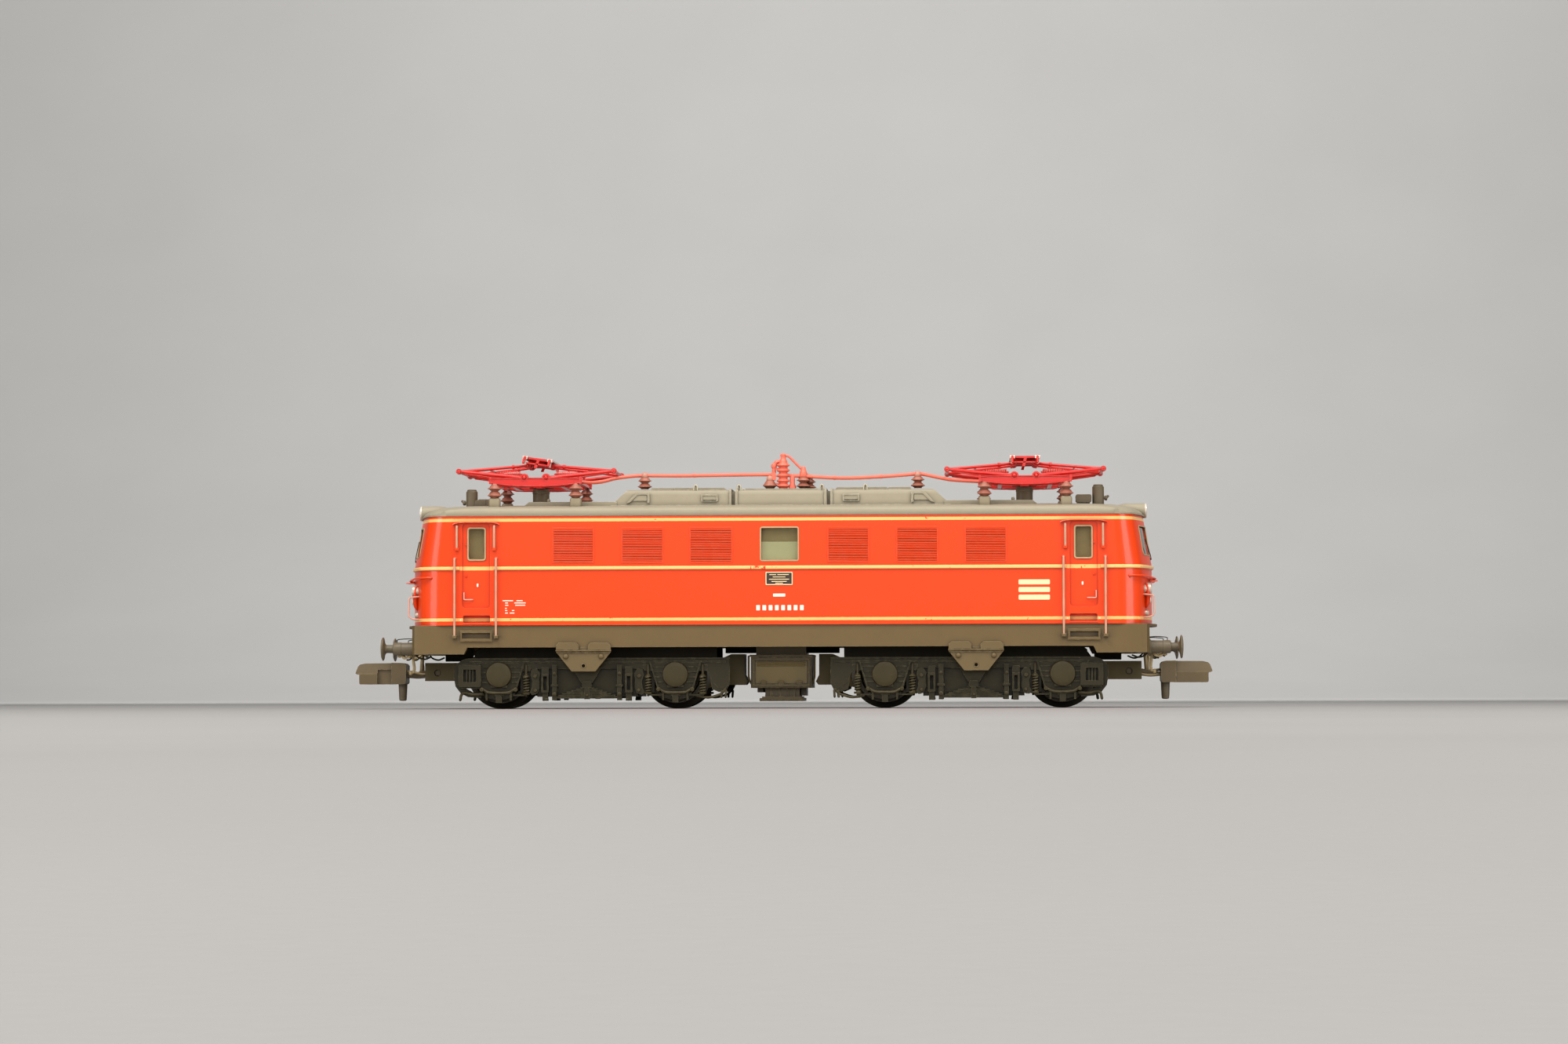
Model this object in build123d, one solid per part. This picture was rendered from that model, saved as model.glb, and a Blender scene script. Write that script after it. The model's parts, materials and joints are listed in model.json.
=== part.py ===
from build123d import *
from math import *
import os

os.makedirs("parts", exist_ok=True)

# Model electric locomotive, scale 1:160 on 9 mm gauge. All sizes in mm.
# X runs along it, toward the number 2 cab at +X, Y runs across it and Z is up.
# Z = 0 is the rail top and the origin is the middle of the locomotive.

# ---- driving dimensions -------------------------------------------------
BUFFER_FACE = 95.75 / 2          # half the length over buffers
BUFFER_Y, BUFFER_Z = 5.47, 6.6
BODY_BOTTOM, BODY_TOP = 9.33, 22.27
BELT_Z0, BELT_Z1 = 15.86, 16.32  # raised band around the body
WALL = 1.0                       # body shell
SKIRT_END, SKIRT_HALF_W = 43.75, 9.4
SKIRT_Z, SKIRT_END_Z = 6.70, 5.90   # lower edge between the ends, and at the ends
HOSE_Y, HOSE_Z = 4.25, 6.35
DOOR_RAIL_X = (33.61, 38.55)     # long handrails either side of a cab door
LAMP_Y, LAMP_Z = 6.0, 12.85      # lower lamps
TOP_LAMP_Z = 23.0

BOGIE_X = 22.975                 # bogie pivots
HALF_BASE = 10.525               # half of a bogie's wheelbase
AXLE_Z = 3.45
TREAD_R, FLANGE_R = 3.45, 4.05
STUB_R = 0.75                    # stub axle of a wheel

GEAR_MODULE = 0.4
WORM_WHEEL_TEETH, IDLER_TEETH, AXLE_TEETH = 20, 12, 13
MESH_PLAY = 0.05                 # added to each gear centre distance
WORM_WHEEL_Z = 7.5
WORM_PITCH_R = 1.5
SHAFT_Z = WORM_WHEEL_Z + GEAR_MODULE * WORM_WHEEL_TEETH / 2 + WORM_PITCH_R
SHAFT_R = 0.5

CHASSIS_END = 34.0
BOARD_Z0, BOARD_Z1 = 15.6, 16.4  # circuit board
SCREW_X, SCREW_Y = 32.4, 5.6

PANTO_X = 29.2
ARM_L = 8.04                     # pantograph arm, pivot to knee
ARM_REST = radians(6.0)          # above level when folded
PIVOT_X, PIVOT_Z = 1.3, 26.96    # base pivots from the pantograph middle
KNEE_X = PIVOT_X + ARM_L * cos(ARM_REST)
KNEE_Z = PIVOT_Z + ARM_L * sin(ARM_REST)
HEAD_Z = PIVOT_Z + 2 * ARM_L * sin(ARM_REST)

# "end" is the sign of x and "side" the sign of y throughout.
SIGNS = (-1, 1)
CORNERS = [(end, side) for end in SIGNS for side in SIGNS]


# ---- helpers --------------------------------------------------------------
def box(x0, x1, y0, y1, z0, z1):
    """Box between two opposite corners, in either order."""
    middle = Pos((x0 + x1) / 2, (y0 + y1) / 2, (z0 + z1) / 2)
    return middle * Box(abs(x1 - x0), abs(y1 - y0), abs(z1 - z0))


def cylinder(start, direction, radius, length):
    return Solid.make_cylinder(radius, length, Plane(origin=start, z_dir=direction))


def cyl_x(y, z, x0, x1, radius):
    return cylinder((min(x0, x1), y, z), (1, 0, 0), radius, abs(x1 - x0))


def cyl_y(x, z, y0, y1, radius):
    return cylinder((x, min(y0, y1), z), (0, 1, 0), radius, abs(y1 - y0))


def cyl_z(x, y, z0, z1, radius):
    return cylinder((x, y, z0), (0, 0, 1), radius, z1 - z0)


def cone(start, direction, radius0, radius1, length):
    return Solid.make_cone(radius0, radius1, length, Plane(origin=start, z_dir=direction))


def rod(start, stop, radius):
    span = Vector(*stop) - Vector(*start)
    return cylinder(start, (span.X, span.Y, span.Z), radius, span.length)


def polygon(points):
    return Wire.make_polygon([Vector(*point) for point in points], close=True)


def prism_x(points, x0, x1):
    """Outline of (y, z) points drawn out along x."""
    return Solid.extrude(Face(polygon([(x0, y, z) for y, z in points])), Vector(x1 - x0, 0, 0))


def prism_y(points, y0, y1):
    """Outline of (x, z) points drawn out along y."""
    return Solid.extrude(Face(polygon([(x, y0, z) for x, z in points])), Vector(0, y1 - y0, 0))


def prism_z(points, z0, z1):
    """Outline of (x, y) points drawn out along z."""
    return Solid.extrude(Face(polygon([(x, y, z0) for x, y in points])), Vector(0, 0, z1 - z0))


def solids_of(*shapes):
    """Flat list of the solids in shapes and nested lists of shapes."""
    out = []
    for shape in shapes:
        if isinstance(shape, (list, tuple)):
            out += solids_of(*shape)
        else:
            out += list(shape.solids())
    return out


def fuse(*shapes):
    first, *rest = solids_of(*shapes)
    return first.fuse(*rest) if rest else first


def cut(shape, *tools):
    return shape.cut(*solids_of(*tools))


def common(shape, other):
    return solids_of(shape.intersect(other))[0]


def biggest(shape):
    return max(solids_of(shape), key=lambda solid: solid.volume)


def wire_form(points, radius):
    """Bent wire along a line of points, with a ball at each bend."""
    parts = [rod(start, stop, radius) for start, stop in zip(points, points[1:])]
    parts += [Pos(*point) * Sphere(radius) for point in points[1:-1]]
    return fuse(*parts)


def turned(shape):
    return Rot(0, 0, 180) * shape


def both_ends(shape):
    return [shape, turned(shape)]


def shift_x(shape, x):
    return shape.moved(Location((x, 0, 0)))


def save(name, *shapes):
    parts = solids_of(*shapes)
    if len(parts) == 1:
        piece = parts[0]
    else:
        piece = Compound(children=[Solid(part.wrapped) for part in parts])
    export_step(piece, "parts/" + name + ".step")


# ---- body outline in plan ---------------------------------------------------
# One quarter, from the side to the middle of the front:
# x at the belt, x at the roof joint, y.
BODY_QUARTER = [
    (40.0, 39.5, 9.6), (40.9, 40.3, 9.42), (41.8, 41.0, 9.0), (42.4, 41.45, 8.55),
    (42.75, 41.75, 8.1), (43.15, 42.15, 7.0), (43.6, 42.55, 5.4), (44.0, 42.95, 3.6),
    (44.3, 43.25, 1.8), (44.42, 43.38, 0.0),
]


def quarter_plan(rise, grow):
    """Quarter outline; rise is 0 at the belt and 1 at the roof joint, grow is outward."""
    points = [(low + (high - low) * rise, y) for low, high, y in BODY_QUARTER]
    moved = []
    for i, (x, y) in enumerate(points):
        if i == 0:
            along_x, along_y = 1, 0
        elif i == len(points) - 1:
            along_x, along_y = 0, -1
        else:
            along_x = points[i + 1][0] - points[i - 1][0]
            along_y = points[i + 1][1] - points[i - 1][1]
        length = hypot(along_x, along_y)
        moved.append((x - along_y / length * grow, y + along_x / length * grow))
    return moved


def body_plan(rise, grow=0.0):
    quarter = quarter_plan(rise, grow)
    back = quarter[-2::-1]
    return (quarter + [(x, -y) for x, y in back]
            + [(-x, -y) for x, y in quarter] + [(-x, y) for x, y in back])


def body_block(grow, z0, z1):
    """Body outline grown outward: upright to the belt top and leaning in above it.

    z0 is no higher than the belt top.
    """
    solids = []
    if z0 < BELT_Z1:
        solids.append(prism_z(body_plan(0, grow), z0, min(z1, BELT_Z1)))
    if z1 > BELT_Z1:
        rise = (z1 - BELT_Z1) / (BODY_TOP - BELT_Z1)
        bottom = polygon([(x, y, BELT_Z1) for x, y in body_plan(0, grow)])
        top = polygon([(x, y, z1) for x, y in body_plan(rise, grow)])
        solids.append(Solid.make_loft([bottom, top], True))
    return fuse(*solids)


# ---- red body shell -----------------------------------------------------------
BELT_PROUD = 0.22
MID_WINDOW = (-2.2, 2.2, 16.93, 20.73)       # x0, x1, z0, z1
DOOR_WINDOW = (35.05, 36.85, 17.15, 20.65)   # x0, x1, z0, z1
SCREEN = (0.7, 6.3, 17.5, 21.0)              # y0, y1, z0, z1
DOOR_RECESS = (34.35, 37.68, 11.39, 21.3)    # x0, x1, z0, z1
STEP_RECESS = (34.34, 37.58, BODY_BOTTOM, 10.51)
LOUVRES = [(-26.95, -21.95), (-18.75, -13.7), (-10.65, -5.5),
           (5.7, 10.7), (13.85, 18.85), (21.95, 26.95)]   # x0, x1
SLATS, SLAT_Z, SLAT_PITCH, SLAT_H = 14, 16.85, 0.29, 0.15
LOUVRE_MARGIN = 0.15


def side_recess(end, side, opening, y_in, y_out=10.2):
    x0, x1, z0, z1 = opening
    return box(end * x0, end * x1, side * y_in, side * y_out, z0, z1)


def body_shell():
    shell = body_block(0, BODY_BOTTOM, BODY_TOP)
    shell = fuse(shell, prism_z(body_plan(0, BELT_PROUD), BELT_Z0, BELT_Z1))
    shell = cut(shell, body_block(-WALL, BODY_BOTTOM - 1, BODY_TOP + 0.0001))
    tools = []
    for side in SIGNS:
        tools.append(side_recess(1, side, MID_WINDOW, 8.0))
        for end in SIGNS:
            tools.append(side_recess(end, side, DOOR_WINDOW, 8.0))
            tools.append(side_recess(end, side, DOOR_RECESS, 9.45))
            tools.append(side_recess(end, side, STEP_RECESS, 8.95))
        for x0, x1 in LOUVRES:
            for k in range(SLATS):
                z = SLAT_Z + k * SLAT_PITCH
                tools.append(box(x0 + LOUVRE_MARGIN, x1 - LOUVRE_MARGIN,
                                 side * 9.42, side * 9.9, z, z + SLAT_H))
    y0, y1, z0, z1 = SCREEN
    for end in SIGNS:
        for side in SIGNS:
            tools.append(box(end * 39.0, end * 46.0, side * y0, side * y1, z0, z1))
            # bore for a lower lamp
            tools.append(cyl_x(side * LAMP_Y, LAMP_Z, end * 40.0, end * 46.0, 0.75))
        # relief for the lamp housing of the roof
        tools.append(cyl_x(0, TOP_LAMP_Z, end * 39.0, end * 46.0, 0.92))
    shell = cut(shell, *tools)
    canopies = [box(end * 33.26, end * 38.73, side * 9.55, side * 10.0, 21.38, 21.62)
                for side in SIGNS for end in SIGNS]
    return fuse(shell, *canopies)


save("body_shell", body_shell())

# ---- glazing ------------------------------------------------------------------
GLASS_GAP = 0.03


def side_pane(end, side, opening, y_face, margin):
    """Pane in a side opening, with a wider flange behind it."""
    x0, x1 = sorted((end * opening[0], end * opening[1]))
    z0, z1 = opening[2:]
    pane = box(x0 + GLASS_GAP, x1 - GLASS_GAP, side * 8.6, side * y_face,
               z0 + GLASS_GAP, z1 - GLASS_GAP)
    flange = box(x0 - margin, x1 + margin, side * 8.2, side * 8.6, z0 - margin, z1 + margin)
    return fuse(pane, flange)


def side_windows():
    panes = []
    for side in SIGNS:
        panes.append(side_pane(1, side, MID_WINDOW, y_face=9.4, margin=0.7))
        for end in SIGNS:
            panes.append(side_pane(end, side, DOOR_WINDOW, y_face=9.35, margin=0.6))
    return panes


def windscreens():
    """Panes that follow the lean of the front."""
    outer = body_block(-0.35, BELT_Z1, 21.5)
    inner = body_block(-WALL - 0.4, BELT_Z1, 21.6)
    y0, y1, z0, z1 = SCREEN
    screens = []
    for side in SIGNS:
        pane = box(40.5, 46.0, side * (y0 + GLASS_GAP), side * (y1 - GLASS_GAP),
                   z0 + GLASS_GAP, z1 - GLASS_GAP)
        pane = cut(common(pane, outer), inner)
        screens += both_ends(solids_of(pane)[0])
    return screens


save("side_windows", *side_windows())
save("windscreens", *windscreens())

# ---- roof moulding ------------------------------------------------------------
# Cross-section of the roof's top and of the hollow under it: y, z.
ROOF_SECTION = [
    (-9.62, 22.27), (-9.66, 22.9), (-9.45, 23.2), (-8.9, 23.42), (-6.4, 23.72),
    (-3.0, 23.88), (0, 23.92), (3.0, 23.88), (6.4, 23.72), (8.9, 23.42),
    (9.45, 23.2), (9.66, 22.9), (9.62, 22.27),
]
ROOF_HOLLOW = [(-8.4, 22.26), (-8.4, 22.6), (-6.0, 23.05), (6.0, 23.05), (8.4, 22.6),
               (8.4, 22.26)]
# Fall of the roof toward the -X end, seen from the side: x, z.
ROOF_FALL = [(-43.6, 22.27), (-43.45, 22.6), (-42.9, 22.95), (-42.0, 23.3),
             (-40.6, 23.6), (-38.6, 23.85), (-37.0, 24.1)]
HOOD_SECTION = [(-5.75, 23.3), (-5.6, 25.1), (-5.2, 25.5), (5.2, 25.5), (5.6, 25.1),
                (5.75, 23.3)]   # y, z
# x0, x1, slope at the x0 end, slope at the x1 end
HOODS = [(-20.23, -5.87, 1.84, 0.0), (-5.12, 5.27, 0.0, 0.0), (6.02, 20.23, 0.0, 1.84)]
HOOD_RIBS = [(-6.1, -5.87), (-5.12, -4.9), (5.05, 5.27), (6.02, 6.25)]   # x0, x1
ROOF_PLATES = [   # x0, x1, half width, z0, z1
    (-30.75, -19.5, 5.9, 23.4, 24.15), (19.5, 30.75, 5.9, 23.4, 24.15),
    (-4.2, 4.4, 4.6, 25.4, 25.85), (-17.2, -7.3, 4.4, 25.4, 25.8),
    (7.3, 17.2, 4.4, 25.4, 25.8),
]


def hood(x0, x1, slope0, slope1):
    profile = [(x0, 23.0), (x0, 23.9), (x0 + slope0, 25.6), (x1 - slope1, 25.6),
               (x1, 23.9), (x1, 23.0)]
    return common(prism_x(HOOD_SECTION, x0, x1), prism_y(profile, -7, 7))


def roof_panel():
    roof = common(prism_x(ROOF_SECTION, -44.5, 44.5), prism_z(body_plan(1.0, 0.10), BODY_TOP, 25))
    profile = ROOF_FALL + [(-x, z) for x, z in reversed(ROOF_FALL)]
    roof = common(roof, prism_y(profile, -11, 11))
    roof = cut(roof, prism_x(ROOF_HOLLOW, -40.0, 40.0))
    raised = [hood(*row) for row in HOODS]
    raised += [box(x0, x1, -5.95, 5.95, 23.3, 25.75) for x0, x1 in HOOD_RIBS]
    raised += [box(x0, x1, -half, half, z0, z1) for x0, x1, half, z0, z1 in ROOF_PLATES]
    # lifting lugs
    for x in (-10.2, -5.0, 5.0, 10.2):
        for y in (-5.0, 5.0):
            raised.append(box(x - 0.16, x + 0.16, y - 0.3, y + 0.3, 25.0, 26.05))
    for end in SIGNS:
        for side in SIGNS:
            raised.append(cyl_z(end * 28.5, side * 5.4, 23.9, 24.55, 0.22))
        # lamp housing
        raised.append(cyl_x(0, TOP_LAMP_Z, end * 40.3, end * 43.8, 0.9))
    roof = fuse(roof, *raised)
    return cut(roof, *[cyl_x(0, TOP_LAMP_Z, end * 43.3, end * 44.5, 0.62) for end in (1, -1)])


roof = roof_panel()
save("roof_panel", roof)

# ---- olive underframe skirt -----------------------------------------------------
SKIRT_PLAN = [   # x, y
    (-SKIRT_END, -8.6), (-43.4, -9.2), (-42.8, -SKIRT_HALF_W),
    (42.8, -SKIRT_HALF_W), (43.4, -9.2), (SKIRT_END, -8.6),
    (SKIRT_END, 8.6), (43.4, 9.2), (42.8, SKIRT_HALF_W),
    (-42.8, SKIRT_HALF_W), (-43.4, 9.2), (-SKIRT_END, 8.6),
]
LEDGE_PLAN = [(42.0, -8.2), (43.6, -7.4), (44.6, -4.6), (44.95, -1.8),
              (44.95, 1.8), (44.6, 4.6), (43.6, 7.4), (42.0, 8.2)]   # x, y


def underframe_skirt():
    skirt = prism_z(SKIRT_PLAN, SKIRT_END_Z, BODY_BOTTOM)
    lower_edge = [(-37.5, SKIRT_END_Z - 1), (-37.5, SKIRT_END_Z), (-37.1, SKIRT_Z),
                  (37.1, SKIRT_Z), (37.5, SKIRT_END_Z), (37.5, SKIRT_END_Z - 1)]
    tools = [prism_y(lower_edge, -12, 12), box(-42.7, 42.7, -7.2, 7.2, 0, 12),
             box(-42.7, 42.7, -8.4, 8.4, 0, 8.75)]
    # steps under the cab doors: slot, frame around it and handrail feet
    for end, side in CORNERS:
        tools.append(box(end * 34.35, end * 37.71, side * 9.1, side * 10.5, 7.75, 8.43))
    added = []
    for end in SIGNS:
        for side in SIGNS:
            added.append(box(end * 34.09, end * 37.92, side * 9.3, side * 9.62, 7.41, 8.72))
            for rail_x in DOOR_RAIL_X:
                x = end * rail_x
                added.append(box(x - 0.3, x + 0.3, side * 9.3, side * 9.62, 7.75, 8.15))
        # ledge in front of the cab
        added.append(prism_z([(end * x, y) for x, y in LEDGE_PLAN], 9.03, BODY_BOTTOM))
    skirt = fuse(skirt, *added)
    # holes for buffers and hoses
    for end in SIGNS:
        for side in SIGNS:
            tools.append(cyl_x(side * BUFFER_Y, BUFFER_Z, end * 42, end * 44, 0.36))
        for y in (-HOSE_Y, HOSE_Y):
            tools.append(cyl_x(y, HOSE_Z, end * 42, end * 44, 0.22))
    return cut(skirt, *tools)


def skirt_bracket(x, side):
    """Tapered plate under the skirt, with a lip, two pads and two bolts."""
    half, y_face = 3.25, side * SKIRT_HALF_W
    plate = prism_y([(x - half, 6.7), (x - half, 6.2), (x - 1.2, 3.81), (x + 1.2, 3.81),
                     (x + half, 6.2), (x + half, 6.7)], side * 8.95, y_face)
    lip = box(x - half, x + half, side * 9.35, side * 9.6, 6.2, 6.42)
    pads = [box(x - half, x - 0.5, y_face, side * 9.66, 6.2, 7.31),
            box(x + 0.5, x + half, y_face, side * 9.66, 6.2, 7.31)]
    bolts = [cyl_y(x + dx, 5.6, side * 9.3, side * 9.62, 0.28) for dx in (-2.1, 2.1)]
    return cut(fuse(plate, lip, *pads, *bolts), cyl_y(x, 4.47, side * 8, side * 10, 0.23))


save("underframe_skirt", underframe_skirt())
save("skirt_brackets", *[skirt_bracket(x, side) for x in (-23.26, 23.26) for side in SIGNS])


# ---- die-cast chassis ---------------------------------------------------------------
def motor_barrel(half_length, radius, half_width):
    """Cylinder about the shaft with flats on both sides."""
    barrel = cyl_x(0, SHAFT_Z, -half_length, half_length, radius)
    return common(barrel, box(-9, 9, -half_width, half_width, 0, 30))


def chassis_block():
    floor_z, floor_top, half = BODY_BOTTOM, 9.95, 8.2
    solids = [box(-CHASSIS_END, CHASSIS_END, -half, half, floor_z, floor_top)]
    for side in SIGNS:
        solids.append(box(-CHASSIS_END, CHASSIS_END, side * 6.6, side * half, floor_z, BOARD_Z0))
    for end in SIGNS:
        # bearing walls, end block and wall beside the motor
        for x0, x1 in ((17.1, 18.7), (27.3, 28.7)):
            solids.append(box(end * x0, end * x1, -6.8, 6.8, 11.2, BOARD_Z0))
        solids.append(box(end * 31.0, end * CHASSIS_END, -half, half, floor_z, BOARD_Z0))
        solids.append(box(end * 8.5, end * 9.4, -6.8, 6.8, floor_z, BOARD_Z0))
    # tray under the motor
    solids.append(box(-9.4, 9.4, -7.15, 7.15, 6.75, 7.35))
    for side in SIGNS:
        solids.append(box(-9.4, 9.4, side * 5.0, side * 7.15, 6.75, 10.0))
    tools = [motor_barrel(8.3, 5.56, 4.85)]
    for end in SIGNS:
        # bogie turntable
        tools.append(cyl_z(end * BOGIE_X, 0, 9.0, 10.5, 5.45))
        tools.append(cyl_z(end * BOGIE_X, 0, floor_top, 11.2, 6.3))
        # flywheel well
        tools.append(box(end * 9.8, end * 16.6, -4.9, 4.9, 9.0, 18))
        # bearing seats
        tools.append(cyl_x(0, SHAFT_Z, end * 17, end * 19, 0.9))
        tools.append(cyl_x(0, SHAFT_Z, end * 27, end * 29, 0.9))
        # slot for the shaft
        tools.append(box(end * 8.2, end * 9.5, -2.6, 2.6, 9.6, 16))
        # screw holes
        for side in (1, -1):
            tools.append(cyl_z(end * SCREW_X, side * SCREW_Y, 9.0, 20, 0.45))
    return cut(fuse(*solids), *tools)


def chassis_screw(x, y):
    """Slotted screw that holds the circuit board to the chassis."""
    screw = fuse(cyl_z(x, y, 11.0, BOARD_Z1, 0.42), cyl_z(x, y, BOARD_Z1, 16.9, 0.85))
    return cut(screw, box(x - 1, x + 1, y - 0.1, y + 0.1, 16.7, 17.2))


# Components on the board, mirrored in x for the other end: x0, x1, y0, y1, top.
BOARD_COMPONENTS = [(20.0, 23.0, -1.2, 1.2, 17.0), (24.5, 25.5, -2.0, 0.0, 16.9),
                    (26.8, 27.8, 0.6, 2.6, 16.9), (33.2, 34.2, -1.0, 1.0, 17.6)]


def circuit_board():
    board = box(-CHASSIS_END, CHASSIS_END, -7.6, 7.6, BOARD_Z0, BOARD_Z1)
    tools = [box(-16.8, 16.8, -5.3, 5.3, 15, 17)]
    for end, side in CORNERS:
        tools.append(cyl_z(end * SCREW_X, side * SCREW_Y, 15, 17, 0.5))
    components = [box(end * x0, end * x1, y0, y1, BOARD_Z1 - 0.05, top)
                  for end in SIGNS for x0, x1, y0, y1, top in BOARD_COMPONENTS]
    return fuse(cut(board, *tools), *components)


save("chassis_block", chassis_block())
save("chassis_screws", *[chassis_screw(end * SCREW_X, side * SCREW_Y) for end, side in CORNERS])
save("circuit_board", circuit_board())


# ---- motor and shaft --------------------------------------------------------------------
def motor_case():
    tools = [cyl_x(0, SHAFT_Z, -7.1, 7.1, 3.65), cyl_x(0, SHAFT_Z, -9, 9, 1.0)]
    for side in SIGNS:
        # brush slot
        tools.append(box(5.75, 6.65, side * 3.0, side * 5.0, SHAFT_Z - 0.45, SHAFT_Z + 0.45))
    return cut(motor_barrel(8.2, 5.5, 4.8), *tools)


def brush(side):
    return box(5.8, 6.6, side * 1.43, side * 4.95, SHAFT_Z - 0.4, SHAFT_Z + 0.4)


def bearing(x0, x1, radius):
    return cut(cyl_x(0, SHAFT_Z, x0, x1, radius), cyl_x(0, SHAFT_Z, x0 - 1, x1 + 1, 0.53))


def armature():
    stack = cyl_x(0, SHAFT_Z, -5.0, 4.6, 3.3)
    slots = []
    for k in range(5):
        slot = box(-5.1, 4.7, -0.25, 0.25, 1.9, 3.5).rotate(Axis.X, 72 * k + 18)
        slots.append(slot.translate(Vector(0, 0, SHAFT_Z)))
    commutator = cyl_x(0, SHAFT_Z, 4.5, 6.95, 1.38)
    collar = cyl_x(0, SHAFT_Z, -5.6, -5.0, 1.3)
    return cut(fuse(cut(stack, *slots), commutator, collar), cyl_x(0, SHAFT_Z, -9, 9, SHAFT_R))


def flywheel(end):
    return cut(cyl_x(0, SHAFT_Z, end * 10.4, end * 15.6, 3.9), cyl_x(0, SHAFT_Z, -20, 20, SHAFT_R))


BEARINGS = [   # x0, x1, radius
    (-8.2, -7.1, 1.0), (7.1, 8.2, 1.0), (-18.7, -17.1, 0.9),
    (17.1, 18.7, 0.9), (-28.7, -27.3, 0.9), (27.3, 28.7, 0.9),
]

save("motor_case", motor_case())
save("motor_brushes", *[brush(side) for side in SIGNS])
save("shaft_bearings", *[bearing(*row) for row in BEARINGS])
save("rotor_shaft", cyl_x(0, SHAFT_Z, -28.9, 28.9, SHAFT_R))
save("armature", armature())
save("flywheels", *[flywheel(end) for end in SIGNS])

# ---- worms --------------------------------------------------------------------------------
WORM_LEAD = GEAR_MODULE * pi
WORM_TURNS = 5
WORM_ROOT_R, WORM_TIP_R = 0.95, 1.84


def worm():
    """Single-start worm about the x axis, its thread pointing down at x = 0 and each lead on."""
    tip_angle = 0.28 / WORM_LEAD * pi    # half the thread's width at tip and root,
    root_angle = 0.50 / WORM_LEAD * pi   # as angles in the cross-section
    polar = [(WORM_ROOT_R, -root_angle)]
    polar += [(WORM_TIP_R, -tip_angle + 2 * tip_angle * i / 6) for i in range(7)]
    polar.append((WORM_ROOT_R, root_angle))
    polar += [(WORM_ROOT_R, root_angle + (2 * pi - 2 * root_angle) * i / 20)
              for i in range(1, 20)]
    section = polygon([(radius * cos(angle), radius * sin(angle), 0) for radius, angle in polar])
    thread = Solid.extrude_linear_with_rotation(
        section, Vector(0, 0, 0), Vector(0, 0, WORM_TURNS * WORM_LEAD), 360.0 * WORM_TURNS)
    thread = solids_of(cut(thread, cylinder((0, 0, -1), (0, 0, 1), SHAFT_R, 12)))[0]
    # local z goes to +X and local x to -Z
    return thread.moved(Location(Plane(origin=(0, 0, 0), x_dir=(0, 0, -1), z_dir=(1, 0, 0))))


# moved back two leads, so that one thread points down at each bogie pivot
worm_solid = worm()
save("worms", *[worm_solid.moved(Location((end * BOGIE_X - 2.0 * WORM_LEAD, 0, SHAFT_Z)))
                for end in SIGNS])


# ---- gears ------------------------------------------------------------------
def gear_points(teeth, phase, addendum=0.32, dedendum=0.46, thickness=0.45):
    """Involute outline about the gear's centre: x, z. One tooth's middle is at phase degrees."""
    pitch_r = GEAR_MODULE * teeth / 2
    pressure = radians(20)
    base_r = pitch_r * cos(pressure)
    tip_r, root_r = pitch_r + addendum, pitch_r - dedendum

    def half_angle(radius):
        base_half = thickness / (2 * pitch_r) + tan(pressure) - pressure
        if radius <= base_r:
            return base_half
        roll = acos(base_r / radius)
        return base_half - (tan(roll) - roll)

    radii = [root_r, max(root_r + 0.08, base_r), pitch_r, tip_r]
    points = []
    for k in range(teeth):
        middle = radians(phase) + 2 * pi * k / teeth
        for flank, order in ((-1, radii), (1, radii[::-1])):
            for radius in order:
                angle = middle + flank * half_angle(radius)
                points.append((radius * cos(angle), radius * sin(angle)))
    return points


def gear(teeth, phase, x, z, half_width):
    outline = [(x + dx, z + dz) for dx, dz in gear_points(teeth, phase)]
    return prism_y(outline, -half_width, half_width)


def mesh_phase(teeth1, phase1, teeth2, direction):
    """Phase of gear 2 that meshes with gear 1, gear 2 lying at direction from it, in degrees."""
    tooth = (direction - phase1) * teeth1 / 360.0
    return direction + 180.0 + (tooth + 0.5) * 360.0 / teeth2


# Place of the idler between worm wheel and -x axle, about the bogie pivot; the
# three centres make a triangle and the idler hangs below the line of the others.
WHEEL_TO_IDLER = GEAR_MODULE * (WORM_WHEEL_TEETH + IDLER_TEETH) / 2 + MESH_PLAY
IDLER_TO_AXLE = GEAR_MODULE * (IDLER_TEETH + AXLE_TEETH) / 2 + MESH_PLAY
WHEEL_TO_AXLE = hypot(HALF_BASE, AXLE_Z - WORM_WHEEL_Z)
UNIT_X = -HALF_BASE / WHEEL_TO_AXLE
UNIT_Z = (AXLE_Z - WORM_WHEEL_Z) / WHEEL_TO_AXLE
ALONG = (WHEEL_TO_IDLER ** 2 - IDLER_TO_AXLE ** 2 + WHEEL_TO_AXLE ** 2) / (2 * WHEEL_TO_AXLE)
ACROSS = sqrt(WHEEL_TO_IDLER ** 2 - ALONG ** 2)
IDLER_X = UNIT_X * ALONG - UNIT_Z * ACROSS
IDLER_Z = WORM_WHEEL_Z + UNIT_Z * ALONG + UNIT_X * ACROSS

WORM_WHEEL_PHASE = 90.0 + 180.0 / WORM_WHEEL_TEETH   # a gap on top, for the worm
IDLER_DIRECTION = degrees(atan2(IDLER_Z - WORM_WHEEL_Z, IDLER_X))
AXLE_DIRECTION = degrees(atan2(AXLE_Z - IDLER_Z, -HALF_BASE - IDLER_X))


def train_phases(idler_direction, axle_direction):
    idler_phase = mesh_phase(WORM_WHEEL_TEETH, WORM_WHEEL_PHASE, IDLER_TEETH, idler_direction)
    return idler_phase, mesh_phase(IDLER_TEETH, idler_phase, AXLE_TEETH, axle_direction)


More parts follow.
